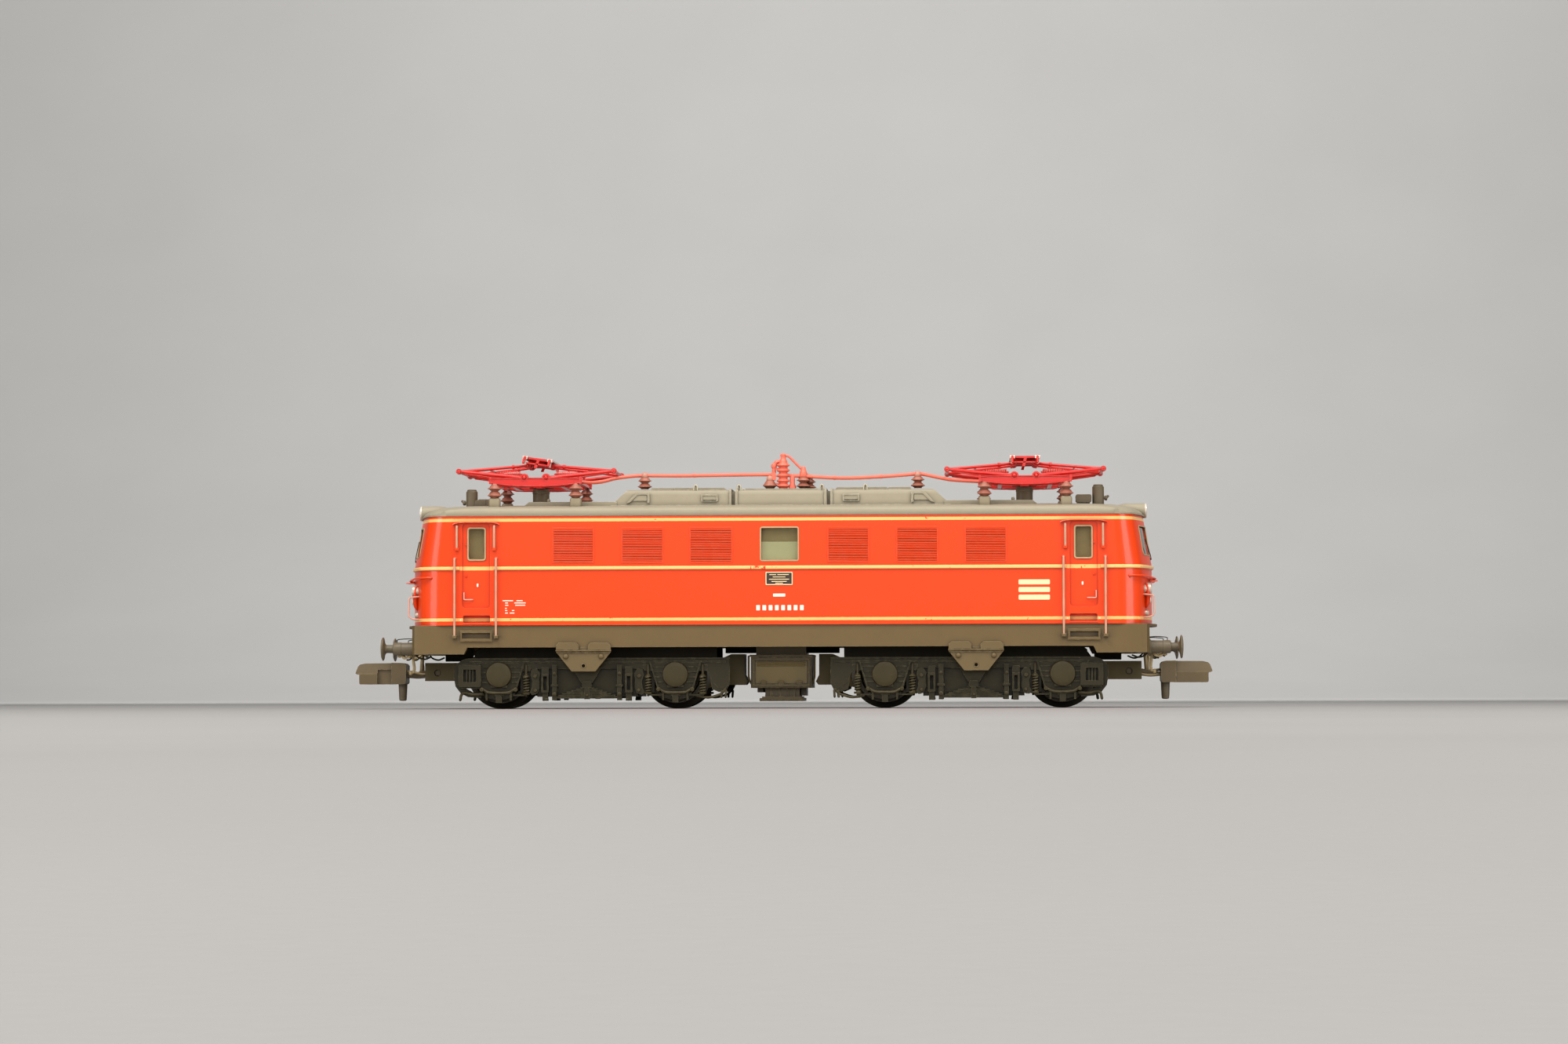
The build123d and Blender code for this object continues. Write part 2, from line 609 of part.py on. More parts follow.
def worm_wheel():
    return fuse(gear(WORM_WHEEL_TEETH, WORM_WHEEL_PHASE, 0, WORM_WHEEL_Z, 0.5),
                cyl_y(0, WORM_WHEEL_Z, -1.9, 1.9, 1.5), cyl_y(0, WORM_WHEEL_Z, -2.95, 2.95, 0.5))


def idler(x, phase):
    return fuse(gear(IDLER_TEETH, phase, x, IDLER_Z, 0.9),
                cyl_y(x, IDLER_Z, -1.9, 1.9, 1.0), cyl_y(x, IDLER_Z, -2.95, 2.95, 0.4))


def axle_gear(x, phase):
    """Gear with a sleeve that takes the two stub axles."""
    sleeve = cyl_y(x, AXLE_Z, -1.9, 1.9, 1.35)
    return cut(fuse(gear(AXLE_TEETH, phase, x, AXLE_Z, 0.9), sleeve),
               cyl_y(x, AXLE_Z, 0.25, 2.5, STUB_R), cyl_y(x, AXLE_Z, -2.5, -0.25, STUB_R))


# ---- bogies ---------------------------------------------------------------------------
# Bogie parts are drawn about the pivot, with the locomotive's end at -x.
GEARBOX_SIDE = [   # x, z
    (-14.9, 2.0), (-12.6, 1.6), (12.6, 1.6), (14.9, 2.0), (14.9, 5.0), (13.0, 5.3),
    (8.6, 7.2), (5.6, 9.3), (-5.6, 9.3), (-8.6, 7.2), (-13.0, 5.3), (-14.9, 5.0),
]
GEARBOX_TAIL = [(14.5, 2.2), (18.6, 2.2), (18.9, 2.6), (18.5, 3.4), (18.5, 5.9),
                (16.9, 5.9), (14.5, 4.8)]   # x, z
HITCH_X, HITCH_Z = -18.6, 3.75   # coupler pin


def gearbox():
    solids = [prism_y(GEARBOX_SIDE, 2.0, 3.0), prism_y(GEARBOX_SIDE, -3.0, -2.0),
              box(-14.9, -13.7, -3.0, 3.0, 2.0, 5.0), box(13.7, 14.9, -3.0, 3.0, 2.0, 5.0)]
    # coupler pocket at the outer end, tail at the inner end
    solids.append(box(-20.1, -14.5, -1.75, 1.75, 2.77, 4.95))
    solids.append(prism_y(GEARBOX_TAIL, -2.6, 2.6))
    # turntable neck and its retaining flange
    ring = fuse(cyl_z(0, 0, 8.6, 10.55, 5.4), cyl_z(0, 0, 10.0, 10.55, 6.2))
    solids.append(cut(ring, cyl_z(0, 0, 8.0, 11, 4.75)))
    solids.append(box(-5.3, -4.9, -3.0, 3.0, 8.2, 9.3))
    solids.append(box(4.9, 5.3, -3.0, 3.0, 8.2, 9.3))
    tools = [box(-20.2, -17.1, -1.08, 1.08, 3.0, 4.72), cyl_y(HITCH_X, HITCH_Z, -2, 2, 0.39)]
    for end in SIGNS:
        tools.append(cyl_y(end * HALF_BASE, AXLE_Z, -3.5, 3.5, 0.80))
        tools.append(cyl_y(-end * IDLER_X, IDLER_Z, -3.5, 3.5, 0.45))
    tools.append(cyl_y(0, WORM_WHEEL_Z, -3.5, 3.5, 0.55))
    return cut(fuse(*solids), *tools)


FRAME_Y = 7.1   # inner face of the side frames
# Side frame outlines: x, z.
BEAM = [
    (-16.0, 4.2), (-15.2, 5.1), (-14.6, 5.45), (16.6, 5.45), (16.9, 5.1), (16.9, 3.5),
    (15.6, 3.3), (15.0, 3.9), (-14.9, 3.9), (-15.3, 3.2), (-15.0, 1.2), (-15.3, 1.0),
    (-16.0, 2.9),
]
LEAF_SPRING = [(-3.6, 0.74), (3.6, 0.74), (3.6, 1.05), (1.4, 1.7), (0.5, 1.95),
               (-0.5, 1.95), (-1.4, 1.7), (-3.6, 1.05)]
SPRING_POST = [(-1.3, 4.0), (-0.35, 1.8), (0.35, 1.8), (1.3, 4.0)]
BRAKE_HANGER = [(5.6, 4.2), (6.3, 4.2), (6.2, 2.6), (6.6, 1.2), (5.9, 1.0), (5.5, 2.6)]
OUTER_IRON = [(-15.3, 1.4), (-15.0, 2.2), (-13.0, 1.6), (-12.1, 0.9), (-13.2, 1.25),
              (-14.6, 1.3), (-15.0, 0.35), (-15.2, 0.35)]
INNER_IRON = [
    (15.6, 3.4), (16.9, 3.6), (16.4, 1.9), (16.3, 1.35), (16.05, 1.35), (15.8, 2.2),
    (13.0, 1.0), (12.3, 1.0), (12.3, 1.4), (13.6, 2.0), (13.4, 4.2), (15.6, 4.2),
]


def coil_spring(x, axle_x, side):
    """Coil spring beside an axle box, with its seat and the arm that carries it."""
    y, y_in = side * 7.55, side * FRAME_Y
    out = [cyl_z(x, y, 0.9, 4.2, 0.16)]
    out += [cyl_z(x, y, 1.3 + 0.4 * k, 1.5 + 0.4 * k, 0.36) for k in range(5)]
    out.append(box(x - 0.4, x + 0.4, y_in, side * 7.95, 0.85, 1.2))
    arm_x = axle_x + (1.6 if x > axle_x else -1.6)
    out.append(box(x, arm_x, y_in, side * 7.6, 0.85, 1.45))
    return out


def axle_guard(end, side):
    """Pedestal and axle box with the pieces under them, and the springs beside them."""
    x, y_in = end * HALF_BASE, side * FRAME_Y
    out = [prism_y([(x - 3.1, 4.6), (x - 1.95, 1.3), (x + 1.95, 1.3), (x + 3.1, 4.6)],
                   y_in, side * 7.9),
           cyl_y(x, AXLE_Z, y_in, side * 8.3, 1.46),
           box(x - 1.95, x + 1.95, y_in, side * 8.15, 1.25, 1.65)]
    for dx in (-1.5, 1.45):
        out.append(box(x + dx - 0.12, x + dx + 0.12, y_in, side * 8.0, 0.45, 1.5))
    out.append(box(x - 0.33, x + 0.33, y_in, side * 8.0, 0.25, 1.4))
    for dx in (-3.25, 3.25):
        # the open box stands in place of the outermost spring
        if end > 0 or dx > 0:
            out += coil_spring(x + dx, x, side)
    return out


def side_frame(side):
    y_in = side * FRAME_Y
    out = [prism_y(BEAM, y_in, side * 7.9)]
    for end in SIGNS:
        out += axle_guard(end, side)
    # open box at the outer end
    out.append(cut(box(-15.28, -12.6, side * 7.5, side * 8.25, 2.0, 4.74),
                   box(-14.75, -13.15, side * 6.5, side * 9, 2.6, 4.25)))
    # hangers, links and the leaf spring between them
    for x in (-3.75, 3.75):
        out.append(box(x - 0.25, x + 0.25, y_in, side * 8.1, 0.42, 4.6))
    for x in (-4.95, 4.95):
        out.append(cut(box(x - 0.45, x + 0.45, y_in, side * 8.1, 1.2, 4.2),
                       box(x - 0.2, x + 0.2, side * 6.5, side * 9, 1.6, 3.3)))
        out.append(box(x - 0.3, x + 0.3, y_in, side * 7.8, 0.2, 1.4))
    out.append(prism_y(LEAF_SPRING, y_in, side * 8.0))
    out.append(prism_y(SPRING_POST, y_in, side * 8.05))
    for end in SIGNS:
        out.append(prism_y([(end * x, z) for x, z in BRAKE_HANGER], y_in, side * 7.7))
    out.append(prism_y(OUTER_IRON, y_in, side * 7.5))
    out.append(prism_y(INNER_IRON, y_in, side * 7.7))
    return out


def bogie_frame():
    # the cross plate under the gear train joins the two sides
    cross_plate = box(-6.0, 6.0, -7.15, 7.15, 0.85, 1.40)
    return fuse(*side_frame(-1), *side_frame(1), cross_plate)


def pickup_strip(side):
    """Thin bronze strip that rubs on the backs of the wheels."""
    strip = box(-9.6, 9.6, side * 3.0, side * 3.2, 5.0, 5.3)
    tips = [box(end * 9.2, end * 9.6, side * 3.15, side * 3.69, 4.7, 5.3) for end in SIGNS]
    return fuse(strip, *tips)


WHEEL_PROFILE = [   # radius, y
    (0, 3.7), (FLANGE_R - 0.1, 3.7), (FLANGE_R, 3.85), (FLANGE_R, 4.0),
    (TREAD_R + 0.08, 4.25), (TREAD_R, 4.35), (TREAD_R - 0.06, 5.7),
    (TREAD_R - 0.55, 5.7), (TREAD_R - 0.7, 5.2), (1.25, 5.1), (1.1, 5.7), (0, 5.7),
]


def wheel(x, side):
    """Turned wheel with its stub axle and a ring of six holes."""
    face = Face(polygon([(radius, y, 0) for radius, y in WHEEL_PROFILE]))
    disc = Solid.revolve(face, 360, Axis((0, 0, 0), (0, 1, 0)))
    disc = fuse(disc, cyl_y(0, 0, 0.25, 3.8, STUB_R))
    ring_r, angles = 2.05, [radians(60 * k) for k in range(6)]
    disc = cut(disc, *[cyl_y(ring_r * cos(a), ring_r * sin(a), 3, 6, 0.42) for a in angles])
    if side < 0:
        disc = disc.mirror(Plane.XZ)
    return disc.moved(Location((x, 0, AXLE_Z)))


COUPLER_HEAD = [   # x, z
    (-24.1, 2.5), (-26.2, 2.35), (-26.4, 2.9), (-28.2, 3.1), (-28.6, 3.7),
    (-28.45, 4.0), (-27.2, 4.95), (-26.2, 5.05), (-24.1, 4.9),
]


def coupler():
    """Hook coupling on a cross pin."""
    hub = cyl_y(HITCH_X, HITCH_Z, -1.0, 1.0, 0.7)
    pin = cyl_y(HITCH_X, HITCH_Z, -1.6, 1.6, 0.35)
    shank = box(-22.6, HITCH_X, -0.75, 0.75, 3.35, 3.95)
    block = box(-24.15, -22.3, -1.15, 1.15, 2.45, 4.9)
    drop_pin = fuse(cone((-22.95, 0, 2.55), (0, 0, -1), 0.52, 0.40, 2.15),
                    box(-23.5, -22.5, -0.5, 0.5, 2.3, 2.9))
    head = cut(prism_y(COUPLER_HEAD, -1.6, 1.6), box(-26.05, -24.4, -1.25, 1.25, 2.0, 4.5),
               box(-28.0, -26.5, -1.0, 1.0, 2.0, 3.6))
    # upper edges of the head taken off along its length
    for side in SIGNS:
        corner = [(side * 1.2, 5.3), (side * 1.8, 5.3), (side * 1.8, 4.5)]
        head = cut(head, prism_x(corner, -29, -24.2))
    return fuse(hub, pin, shank, block, head, drop_pin)


def place(shape, end):
    """Bogie part in its place, turned round for the bogie at +X."""
    return shift_x(turned(shape) if end > 0 else shape, end * BOGIE_X)


for end, name in ((-1, "a"), (1, "b")):
    save("bogie_gearbox_" + name, place(gearbox(), end))
    save("bogie_frame_" + name, place(bogie_frame(), end))
    save("pickup_strips_" + name, *[place(pickup_strip(side), end) for side in SIGNS])
    save("coupler_" + name, place(coupler(), end))
    # gear train: not turned, so that both bogies mesh with the same worm phase
    pivot_x = end * BOGIE_X
    save("worm_wheel_" + name, shift_x(worm_wheel(), pivot_x))
    trains = [("1", -1, IDLER_DIRECTION, AXLE_DIRECTION),
              ("2", 1, 180.0 - IDLER_DIRECTION, 180.0 - AXLE_DIRECTION)]
    for number, hand, idler_direction, axle_direction in trains:
        idler_phase, axle_phase = train_phases(idler_direction, axle_direction)
        axle_x = hand * HALF_BASE
        save("idler_" + name + number, shift_x(idler(-hand * IDLER_X, idler_phase), pivot_x))
        save("axle_gear_" + name + number, shift_x(axle_gear(axle_x, axle_phase), pivot_x))
        save("wheels_" + name + number, *[wheel(pivot_x + axle_x, side) for side in SIGNS])

# ---- equipment box between the bogies ---------------------------------------------------
EQUIPMENT = [   # x0, x1, half width, z0, z1
    (-3.61, 3.71, 4.9, 1.83, 5.69), (-2.6, 2.7, 4.3, 0.2, 0.7), (-1.94, 2.2, 3.9, 0.6, 1.9),
    (2.3, 2.94, 3.0, 0.9, 1.9), (-3.0, 3.0, 4.4, 5.6, 6.75),
]


def equipment_box():
    solids = [box(x0, x1, -half, half, z0, z1) for x0, x1, half, z0, z1 in EQUIPMENT]
    for side in SIGNS:
        # side panel, two ribs and three feet
        solids.append(box(-3.1, 3.2, side * 4.8, side * 5.05, 2.2, 5.3))
        for z0, z1 in ((4.75, 4.95), (4.35, 4.5)):
            solids.append(box(-2.6, 2.6, side * 5.0, side * 5.15, z0, z1))
        for x in (-2.1, 0.05, 2.2):
            solids.append(box(x - 0.3, x + 0.3, side * 5.0, side * 5.2, 2.2, 2.55))
    return fuse(*solids)


save("equipment_box", equipment_box())

# ---- buffers and hoses -------------------------------------------------------------------
BUFFER_HEAD = [(0, 47.5), (0.9, 47.5), (1.4, 47.62), (1.4, 47.72), (1.0, BUFFER_FACE),
               (0, BUFFER_FACE)]   # radius, x


def buffer(y):
    stem = fuse(cyl_x(y, BUFFER_Z, SKIRT_END, 46.4, 0.68), cyl_x(y, BUFFER_Z, 42.6, 47.6, 0.34),
                cyl_x(y, BUFFER_Z, 46.3, 47.55, 0.54))
    face = Face(polygon([(x, radius, 0) for radius, x in BUFFER_HEAD]))
    head = Solid.revolve(face, 360, Axis((0, 0, 0), (1, 0, 0)))
    head = head.moved(Location((0, y, BUFFER_Z)))
    plate = box(SKIRT_END, 44.05, y - 0.95, y + 0.95, BUFFER_Z - 0.66, BUFFER_Z + 0.75)
    return fuse(stem, head, plate)


def brake_hose(y):
    points = [(44.0, y, HOSE_Z), (44.25, y, 6.1), (44.25, y, 5.2), (44.25, y, 4.2),
              (44.6, y, 3.7), (45.2, y, 3.65)]
    return fuse(cyl_x(y, HOSE_Z, 42.8, 44.1, 0.2), wire_form(points, 0.22))


save("buffers", *[both_ends(buffer(y)) for y in (-BUFFER_Y, BUFFER_Y)])
save("brake_hoses", *[both_ends(brake_hose(y)) for y in (-HOSE_Y, HOSE_Y)])

# ---- handrails and lamps -----------------------------------------------------------------
# Lower body, taken out of the fittings that reach into the front.
lower_body = body_block(0.0, 9.4, 15.8)


def side_rail(x, side, y_foot, y_bar, top, bottom, radius):
    """Upright rail with a foot at each end."""
    return wire_form([(x, side * y_foot, top), (x, side * y_bar, top),
                      (x, side * y_bar, bottom), (x, side * y_foot, bottom)], radius)


def door_handle(end, side):
    x0, x1, y_in, y_out = end * 37.3, end * 36.2, side * 9.45, side * 9.72
    return wire_form([(x0, y_in, 13.2), (x0, y_out, 13.2), (x0, y_out, 12.35),
                      (x1, y_out, 12.35), (x1, y_in, 12.35)], 0.08)


def front_rails(side):
    y = side * 6.95
    upright = wire_form([(42.9, y, 13.0), (44.5, y, 12.95), (44.5, y, 10.25),
                         (42.9, y, 10.2)], 0.1)
    # runs round the front under the belt: x, y, z
    round_front = [(42.35, 8.6, 15.0), (42.9, 8.9, 15.0), (43.6, 7.4, 14.95),
                   (44.5, 4.2, 14.9), (44.75, 2.6, 14.9), (44.25, 2.5, 14.9)]
    level = wire_form([(x, side * y, z) for x, y, z in round_front], 0.12)
    return [biggest(cut(rail, lower_body)) for rail in (upright, level)]


def handrails():
    rails = []
    for end, side in CORNERS:
        for x in DOOR_RAIL_X:
            rails.append(side_rail(end * x, side, 9.62, 10.05, 17.2, 7.95, 0.13))
        for x in (33.87, 38.28):
            rails.append(side_rail(end * x, side, 9.6, 9.95, 21.0, 18.5, 0.12))
        rails.append(door_handle(end, side))
    for side in SIGNS:
        for rail in front_rails(side):
            rails += both_ends(rail)
    return rails


def reach(solid):
    """Furthest distance along x from the middle of the locomotive."""
    bounds = solid.bounding_box()
    return bounds.max.X if bounds.max.X > 0 else -bounds.min.X


def lamp_pod(y):
    """Lower lamp: a socket plug behind an upright, round-ended housing."""
    radius, z0, z1 = 0.72, 12.0, 13.6
    return fuse(cyl_x(y, LAMP_Z, 41.6, 43.2, radius), cyl_x(y, z1, 43.5, 44.15, radius),
                cyl_x(y, z0, 43.5, 44.15, radius),
                box(43.45, 44.0, y - radius, y + radius, z0, z1),
                cyl_x(y, LAMP_Z, 43.0, 43.9, radius))


def lamps():
    out = []
    for side in SIGNS:
        for pod in both_ends(lamp_pod(side * LAMP_Y)):
            out.append(max(solids_of(cut(pod, lower_body)), key=reach))
    return out + both_ends(cyl_x(0, TOP_LAMP_Z, 43.3, 43.75, 0.6))


save("handrails", *handrails())
save("lamps", *lamps())


# ---- cab interiors ---------------------------------------------------------------------------------
def cab_interior():
    desk = prism_y([(38.6, 16.3), (41.6, 16.3), (41.6, 17.2), (40.9, 17.6), (39.8, 17.1),
                    (38.6, 17.0)], -6.5, 6.5)
    floor = box(34.9, 39.0, -7.5, 7.5, 15.7, 16.35)
    seat = fuse(box(35.3, 36.9, 1.5, 3.3, 16.3, 17.6), box(35.3, 35.7, 1.5, 3.3, 17.5, 19.8))
    wall = box(34.55, 34.95, -7.9, 7.9, 15.7, 21.8)
    return fuse(desk, floor, seat, wall)


save("cab_interiors", *both_ends(cab_interior()))

# ---- roof insulators and fittings ---------------------------------------------------------------
BUS_Y = -3.0
BUS_POSTS = [   # x, z0, z1, sheds
    (-16.4, 25.8, 27.1, 3), (16.4, 25.8, 27.1, 3), (2.67, 25.85, 27.1, 3),
    (-1.35, 25.85, 26.75, 2),
]


def insulator(x, y, z0, z1, radius, sheds):
    """Post with a stack of tapered sheds."""
    parts = [cyl_z(x, y, z0, z1, radius * 0.55)]
    step = (z1 - z0) / sheds
    for k in range(sheds):
        shed_z = z0 + step * k + step * 0.25
        parts.append(cone((x, y, shed_z), (0, 0, 1), radius, radius * 0.6, step * 0.5))
    return fuse(*parts)


def roof_insulators():
    """Four feet under each pantograph and the posts of the high-voltage line."""
    out = []
    for end in SIGNS:
        for dx in (-4.85, 4.85):
            for y in (-7.2, 7.2):
                x = end * PANTO_X + dx
                out.append(fuse(box(x - 0.7, x + 0.7, y - 0.6, y + 0.6, 23.62, 24.55),
                                insulator(x, y, 24.5, 26.26, 0.82, 2)))
    out += [insulator(x, BUS_Y, z0, z1, 0.8, sheds) for x, z0, z1, sheds in BUS_POSTS]
    return [biggest(cut(post, roof)) for post in out]


def roof_fittings():
    """Post under each pantograph, and a horn and a box over each cab."""
    horn = fuse(cyl_z(-37.5, 3.0, 23.6, 26.2, 0.7), cyl_z(-37.5, 3.0, 25.9, 26.25, 0.62),
                cyl_x(3.0, 24.3, -38.6, -37.0, 0.25))
    small_box = fuse(box(-37.0, -35.1, -3.7, -2.3, 23.6, 24.8),
                     box(-38.3, -37.0, -3.2, -2.8, 23.9, 24.3))
    out = [cyl_z(end * PANTO_X, 0, 24.15, 25.9, 0.98) for end in SIGNS]
    out += both_ends(horn) + both_ends(small_box)
    return [biggest(cut(fitting, roof)) for fitting in out]


insulators = roof_insulators()
save("roof_insulators", *insulators)
save("roof_fittings", *roof_fittings())

# ---- high-voltage line with its breaker --------------------------------------------------------------
# Line wires: x, z.
WEST_LINE = [(-24.0, 26.9), (-20.5, 26.92), (-17.3, 27.3), (-16.4, 27.35), (-1.2, 27.35)]
EAST_LINE = [(0.9, 27.35), (16.4, 27.35), (17.3, 27.3), (20.5, 26.92), (24.0, 26.9)]
BREAKER_LINK = [(0.3, 29.7), (0.75, 29.72), (2.67, 28.15)]
BREAKER_X = 0.25


def bus_wire(points, radius):
    return wire_form([(x, BUS_Y, z) for x, z in points], radius)


def bus_box(x0, x1, half, z0, z1):
    return box(x0, x1, BUS_Y - half, BUS_Y + half, z0, z1)


def busbar_breaker():
    solids = [bus_wire(WEST_LINE, 0.25), bus_wire(EAST_LINE, 0.25),
              bus_box(-0.9, 1.4, 0.2, 27.1, 27.6), bus_box(-1.6, -0.7, 0.25, 26.75, 27.6)]
    # breaker column, ribbed, with its cap
    solids.append(cyl_z(BREAKER_X, BUS_Y, 25.85, 29.1, 0.5))
    for k in range(5):
        solids.append(cone((BREAKER_X, BUS_Y, 25.95 + 0.62 * k), (0, 0, 1), 0.74, 0.55, 0.4))
    solids.append(cyl_z(BREAKER_X, BUS_Y, 29.0, 29.9, 0.28))
    # upright plate and its bridge to the column
    solids.append(bus_box(-1.0, -0.72, 0.6, 27.0, 29.0))
    solids.append(bus_box(-0.9, 0.2, 0.2, 28.3, 28.7))
    # link down to the post on the +X side
    solids.append(bus_wire(BREAKER_LINK, 0.16))
    solids.append(cyl_z(2.67, BUS_Y, 27.11, 28.3, 0.42))
    solids.append(cyl_z(3.5, BUS_Y, 27.1, 27.7, 0.3))
    return biggest(cut(fuse(*solids), roof, *insulators))


save("busbar_breaker", busbar_breaker())


# ---- pantographs, drawn about their own middle ---------------------------------------------------
def panto_base():
    out = []
    for side in SIGNS:
        y0, y1 = side * 6.85, side * 7.5
        out.append(box(-5.6, 5.6, y0, y1, 26.26, 26.9))
        out.append(prism_y([(-3.9, 26.3), (-3.3, 25.9), (3.3, 25.9), (3.9, 26.3)], y0, y1))
        y0, y1 = side * 3.1, side * 3.5
        for end in SIGNS:
            out.append(cyl_y(end * PIVOT_X, PIVOT_Z, side * 6.85, side * 7.5, 0.62))
            # spring anchors
            out.append(box(end * 4.9 - 0.25, end * 4.9 + 0.25, y0, y1, 26.5, 27.65))
            out.append(box(end * 2.2 - 0.14, end * 2.2 + 0.14, y0, y1, 25.95, 27.65))
        out.append(box(-5.0, 5.0, y0, y1, 25.9, 26.3))
    # cross members
    for end in SIGNS:
        x0, x1 = end * 5.1 - 0.35, end * 5.1 + 0.35
        out.append(box(x0, x1, -7.4, 7.4, 26.26, 26.62))
        out.append(box(x0, x1, -3.5, 3.5, 25.95, 26.62))
        out.append(box(end * 3.0 - 0.3, end * 3.0 + 0.3, -7.0, 7.0, 25.92, 26.3))
    return cut(fuse(*out), *[cyl_y(end * PIVOT_X, PIVOT_Z, -8, 8, 0.33) for end in SIGNS])


def panto_spring(end, side):
    """Close-wound spring between its two anchors, as a ribbed bar."""
    y, z = side * 3.3, 27.45
    parts = [cyl_x(y, z, end * 2.34, end * 4.65, 0.16)]
    for k in range(8):
        x = end * (2.5 + 0.27 * k)
        parts.append(cyl_x(y, z, x - 0.08, x + 0.08, 0.3))
    return fuse(*parts)


def lower_arm(end):
    """Cross shaft at the base pivot, with two rods out to knee eyes."""
    pivot_x, knee_x = end * PIVOT_X, end * KNEE_X
    out = [cyl_y(pivot_x, PIVOT_Z, -7.45, 7.45, 0.29)]
    for side in SIGNS:
        out.append(rod((pivot_x, side * 6.05, PIVOT_Z), (knee_x, side * 5.85, KNEE_Z), 0.27))
        out.append(cyl_y(knee_x, KNEE_Z, side * 5.5, side * 6.15, 0.46))
    return cut(fuse(*out), cyl_y(knee_x, KNEE_Z, -8, 8, 0.27))


def upper_arm(end):
    """Cross shafts at the knee and the head, with two rods between them."""
    knee_x, head_x = end * KNEE_X, end * PIVOT_X
    out = [cyl_y(knee_x, KNEE_Z, -6.35, 6.35, 0.22), cyl_y(head_x, HEAD_Z, -2.75, 2.75, 0.2)]
    for side in SIGNS:
        out.append(rod((knee_x, side * 5.15, KNEE_Z), (head_x, side * 2.55, HEAD_Z), 0.2))
    return fuse(*out)


def panto_head(tilt):
    """Two cheeks that carry a pair of contact strips, the strips tilted about y by degrees."""
    cheek = [(-1.75, HEAD_Z - 0.35), (1.75, HEAD_Z - 0.35), (1.75, HEAD_Z + 0.3),
             (1.2, HEAD_Z + 0.45), (-1.2, HEAD_Z + 0.45), (-1.75, HEAD_Z + 0.3)]
    cheeks = [prism_y(cheek, side * 1.45, side * 1.85) for side in SIGNS]
    top = []
    for side in SIGNS:
        top.append(box(-1.3, 1.3, side * 1.5, side * 1.8, HEAD_Z + 0.2, 29.5))
        top.append(box(-1.45, 1.45, side * 4.2, side * 4.4, 29.2, 29.45))
    horn = [(4.4, 29.37), (5.1, 29.33), (5.7, 29.05), (6.1, 28.65)]   # y, z
    for x in (-1.5, 1.5):
        top.append(box(x - 0.3, x + 0.3, -4.6, 4.6, 29.22, 29.52))
        for side in SIGNS:
            top.append(wire_form([(x, side * y, z) for y, z in horn], 0.15))
    strips = fuse(*top)
    if tilt:
        strips = Pos(0, 0, 29.1) * Rot(0, tilt, 0) * Pos(0, 0, -29.1) * strips
    return cut(fuse(*cheeks, strips), *[cyl_y(end * PIVOT_X, HEAD_Z, -4, 4, 0.235)
                                        for end in SIGNS])


save("panto_bases", *[shift_x(panto_base(), end * PANTO_X) for end in SIGNS])
save("panto_springs", *[shift_x(panto_spring(end, side), middle * PANTO_X)
                        for middle in SIGNS for end, side in CORNERS])
for middle, name, tilt in ((-1, "a", 8.0), (1, "b", 0.0)):
    x = middle * PANTO_X
    for end, number in ((-1, "1"), (1, "2")):
        save("lower_arm_" + name + number, shift_x(lower_arm(end), x))
        save("upper_arm_" + name + number, shift_x(upper_arm(end), x))
    save("panto_head_" + name, shift_x(panto_head(tilt), x))
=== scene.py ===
"""Model electric locomotive with two bogies, knuckle couplers and two pantographs.

Lengths are in millimetres until a piece is finished, when it is scaled to metres. X runs
along the locomotive, Y across it and Z up, with the middle of the body at x = y = 0. The
camera looks from -y. "end" is -1 or 1 along x and "side" is -1 or 1 along y.
"""

import json
import math
import random
import bmesh
import bpy
from mathutils import Matrix, Vector

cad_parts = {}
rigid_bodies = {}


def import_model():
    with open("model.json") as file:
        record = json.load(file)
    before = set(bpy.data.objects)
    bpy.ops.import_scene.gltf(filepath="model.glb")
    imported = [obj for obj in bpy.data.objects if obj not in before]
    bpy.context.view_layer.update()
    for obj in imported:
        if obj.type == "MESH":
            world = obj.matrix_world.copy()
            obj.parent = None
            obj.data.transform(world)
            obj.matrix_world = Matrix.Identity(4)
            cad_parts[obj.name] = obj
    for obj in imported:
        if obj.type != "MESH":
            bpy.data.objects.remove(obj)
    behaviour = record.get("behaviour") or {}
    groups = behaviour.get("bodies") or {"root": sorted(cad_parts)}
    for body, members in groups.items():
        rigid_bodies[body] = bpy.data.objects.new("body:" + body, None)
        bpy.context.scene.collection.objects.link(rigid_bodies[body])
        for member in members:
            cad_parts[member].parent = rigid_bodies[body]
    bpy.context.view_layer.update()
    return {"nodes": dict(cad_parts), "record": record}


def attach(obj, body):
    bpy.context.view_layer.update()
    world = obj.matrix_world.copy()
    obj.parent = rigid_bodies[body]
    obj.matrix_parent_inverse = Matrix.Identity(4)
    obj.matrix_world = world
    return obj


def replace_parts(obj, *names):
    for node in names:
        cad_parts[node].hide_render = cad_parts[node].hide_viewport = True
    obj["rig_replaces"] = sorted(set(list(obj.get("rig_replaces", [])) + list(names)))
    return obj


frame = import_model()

NODES = frame["nodes"]
SLOT_OF = {part["node"]: part["material_slot"] for part in frame["record"]["subparts"]}
random.seed(4)
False  # both modes build the same model

MM = 0.001
SIDES = (-1, 1)
CORNERS = [(first, second) for first in SIDES for second in SIDES]
UNITS = ((-1, "a"), (1, "b"))  # end of the locomotive, letter of its bogie and pantograph
X_AXIS, Y_AXIS, Z_AXIS = (1, 0, 0), (0, 1, 0), (0, 0, 1)


